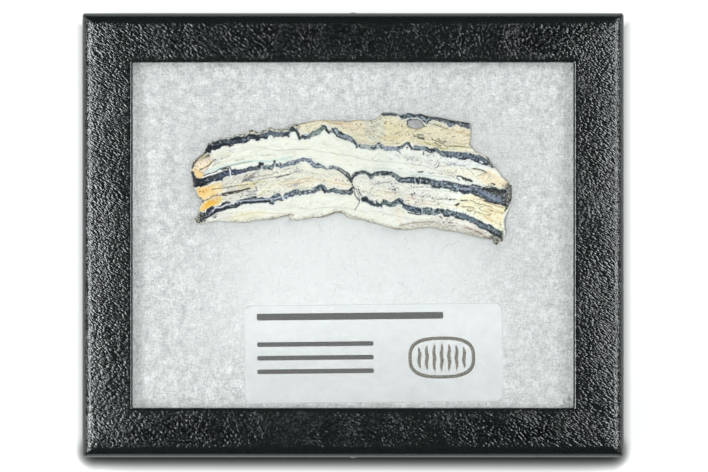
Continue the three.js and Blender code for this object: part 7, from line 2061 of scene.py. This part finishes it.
def build_print():
    z0, z1 = LABEL_HI[2] - 0.004, LABEL_HI[2] + 0.014
    bars = []
    # a heading rule and three plain ruled lines, in place of print
    lines = [  # left end, lower edge, height of the bar, length, all mm on the label
        (-30.0, 8.8, 1.75, 48.0),
        (-30.0, 2.0, 1.20, 30.0),
        (-30.0, -1.5, 1.20, 30.0),
        (-30.0, -5.0, 1.20, 30.0),
    ]
    for u, v, h, length in lines:
        bars.append(prism("bar", bar_outline(u, u + length, v, v + h, 0.42), z0, z1, 0.004))
    words = join("label_print_bars", bars)
    # a plain sign for a ridged grinding tooth, its face seen from above: a rounded rim around upright plates
    cu, cv, half_w, half_h = 17.5, -1.2, 8.6, 5.4
    turn = [2 * math.pi * i / 72 for i in range(72)]

    def loop(inset):
        out = []
        for t in turn:
            c, q = math.cos(t), math.sin(t)
            out.append(label_place(cu + (half_w - inset) * math.copysign(abs(c) ** 0.72, c),
                                   cv + (half_h - inset) * math.copysign(abs(q) ** 0.72, q)))
        return out

    plates = [ring_prism("rim", loop(0.0), loop(0.85), z0, z1)]
    for k in range(7):
        t = k / 3 - 1
        u = cu + 5.75 * t
        tall = (half_h - 1.75) * (1 - 0.22 * t * t)
        outline = []
        for i in range(13):
            v = -tall + 2 * tall * i / 12
            outline.append((0.46 * math.cos(math.pi * (i / 12 - 0.5)) ** 0.45 + 0.12 * math.sin(v * 1.9 + k), v))
        for i in range(11, 0, -1):
            v = -tall + 2 * tall * i / 12
            outline.append((-0.46 * math.cos(math.pi * (i / 12 - 0.5)) ** 0.45 + 0.12 * math.sin(v * 1.9 + k), v))
        plates.append(prism("plate", [label_place(u + a, cv + b) for a, b in outline], z0, z1, 0.004))
    sign = join("label_print_tooth_sign", plates)
    for ob in (words, sign):
        me = ob.data
        co = np.empty(len(me.vertices) * 3, np.float32)
        me.vertices.foreach_get("co", co)
        co = co.reshape(-1, 3) / MM
        add_uv(ob, np.column_stack([(co[:, 0] - LABEL_C[0]) / 70 + 0.5, (co[:, 1] - LABEL_C[1]) / 70 + 0.5]))
    return words, sign


# ---------------------------------------------------------------- assembly
def with_slot(ob, node, mat):
    set_material(ob, mat)
    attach(ob, "root")
    if node:
        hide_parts(node)
    return ob


turned_edge(with_slot(build_lid(), "lid", leather_material()))
with_slot(build_slice(), "molar_slice", tooth_material())
pad = with_slot(build_batting(), "fibre_batting", batting_material())
loose = batting_material("loose_polyester_strands", True)
with_slot(build_strands("fibre_strands_long", 3300, 71, 0.03, 0.060, 3.6), None, loose)
with_slot(build_strands("fibre_strands_short", 6000, 72, 0.03, 0.085, 1.7, 5), None, loose)
film = with_slot(build_label(), "label", label_material())
words, sign = build_print()
film.visible_shadow = False
words.visible_shadow = False
sign.visible_shadow = False
with_slot(words, None, print_material("label_ink", srgb(84, 85, 84), srgb(122, 123, 122)))
with_slot(sign, None, print_material("label_picture_ink", srgb(84, 82, 76), srgb(168, 166, 156)))

set_material(nodes["glass_pane"], glass_material())
nodes["glass_pane"].visible_shadow = False
set_material(nodes["tray"], tray_material())
steel = pin_material()
for n in ("pin_left", "pin_right", "pin_front", "pin_back"):
    set_material(nodes[n], steel)

# ---------------------------------------------------------------- stage
def floor():
    n = 24
    xs = np.linspace(-1500, 1500, n)
    X, Y = np.meshgrid(xs, xs, indexing="ij")
    # a hair above the base's plane, so that the two faces never coincide
    ob = make_mesh("floor", np.column_stack([X.ravel(), Y.ravel(), np.full(n * n, 0.02)]), grid_faces(n, n))
    m = Mat("plain_floor")
    p = m.coords(scale=(1000, 1000, 1000))
    soft = m.noise(m.coords(vector=p, scale=(0.003, 0.003, 0.003)), 1.0, 2.0, 0.5)
    col = m.mix(soft, (0.93, 0.945, 0.94), (0.95, 0.96, 0.955))
    sep = m.node("ShaderNodeSeparateXYZ")
    m.link(p, sep.inputs[0])
    ox = m.math("MAXIMUM", m.math("SUBTRACT", m.math("ABSOLUTE", sep.outputs[0]), float(LID_HI[0])), 0.0)
    oy = m.math("MAXIMUM", m.math("SUBTRACT", m.math("ABSOLUTE", sep.outputs[1]), float(LID_HI[1])), 0.0)
    away = m.math("SQRT", m.math("ADD", m.math("MULTIPLY", ox, ox), m.math("MULTIPLY", oy, oy)))
    # the case's contact shadow, deepest along its front edge
    fx = m.math("MAXIMUM", m.math("SUBTRACT", m.math("ABSOLUTE", sep.outputs[0]), float(LID_HI[0]) - 2.0), 0.0)
    fy = m.math("ADD", sep.outputs[1], float(LID_HI[1]))
    front = m.math("SQRT", m.math("ADD", m.math("MULTIPLY", fx, fx), m.math("MULTIPLY", fy, fy)))
    shade = m.maprange(front, 0.0, 5.0, 0.0, 1.0, "LINEAR")
    shade = m.math("MULTIPLY_ADD", m.math("POWER", shade, 1.45), 0.99, 0.01)
    behind = m.maprange(sep.outputs[1], float(LID_HI[1]) - 6.0, float(LID_HI[1]), 0.0, 1.0)
    shade = m.math("MULTIPLY", shade, m.maprange(front, 0.0, 6.2, 0.16, 1.0, "LINEAR"))
    rim = m.maprange(away, 0.0, 3.8, 0.32, 1.0, "LINEAR")
    rim = m.math("MAXIMUM", rim, behind)
    lit = m.math("MULTIPLY", shade, rim)
    s = m.principled(m.mix(lit, (0.0, 0.0, 0.0), col), 0.9)
    s.inputs["Specular IOR Level"].default_value = 0.1
    # the floor glows, a painted light, fainter close to the case where the painted contact shadow lies
    s.inputs["Emission Color"].default_value = (0.98, 1.0, 0.995, 1.0)
    glow = m.math("MAXIMUM", m.maprange(away, 0.0, 4.0, 0.18, 0.50), m.math("MULTIPLY", behind, 0.5))
    m.link(m.math("MULTIPLY", lit, glow), s.inputs["Emission Strength"])
    set_material(ob, m.finish(s.outputs[0]))
    return ob


floor()





def softbox(name, side, distance, elevation, width, height, power, back, color=(1, 1, 1)):
    """A soft rectangular light aimed at the case, turned `back` degrees behind its middle line."""
    e = math.radians(elevation)
    data = bpy.data.lights.new(name, "AREA")
    data.shape = "RECTANGLE"
    data.size, data.size_y = width, height
    data.energy = power
    data.color = color
    ob = bpy.data.objects.new(name, data)
    bpy.context.scene.collection.objects.link(ob)
    ob.visible_camera = False
    pos = Vector((side * distance * math.cos(e), 0, distance * math.sin(e)))
    look = -pos.normalized()
    # the box's width runs along Y
    z = -look
    x = Vector((0, 1, 0)) if side > 0 else Vector((0, -1, 0))
    y = z.cross(x)
    from mathutils import Matrix
    turn = Matrix.Rotation(math.radians(side * back), 3, "Z")
    ob.location = turn @ pos
    ob.rotation_euler = (turn @ Matrix((x, y, z)).transposed()).to_euler()
    return ob


softbox("softbox_left", -1, 0.38, 48.0, 0.42, 0.125, 1.22, -5.0, (0.985, 1.0, 1.0))
softbox("softbox_right", 1, 0.38, 48.0, 0.42, 0.125, 0.86, 9.5, (0.985, 1.0, 1.0))

world = bpy.data.worlds.new("studio")
bpy.context.scene.world = world
world.use_nodes = True
bg = world.node_tree.nodes["Background"]
bg.inputs[0].default_value = (0.95, 1.0, 1.0, 1.0)
bg.inputs[1].default_value = 0.065

cam_data = bpy.data.cameras.new("camera")
cam_data.lens = 138.63
cam_data.sensor_width = 36.0
cam_data.clip_start = 0.01
cam_data.clip_end = 20.0
cam = bpy.data.objects.new("camera", cam_data)
bpy.context.scene.collection.objects.link(cam)
cam.location = (0.000244, -0.000218, 0.719)
cam.rotation_euler = (0, 0, 0)
bpy.context.scene.camera = cam
bpy.context.scene.view_settings.view_transform = "Standard"
bpy.context.scene.view_settings.look = "None"
bpy.context.scene.view_settings.exposure = 0.0
bpy.context.scene.view_settings.gamma = 1.0
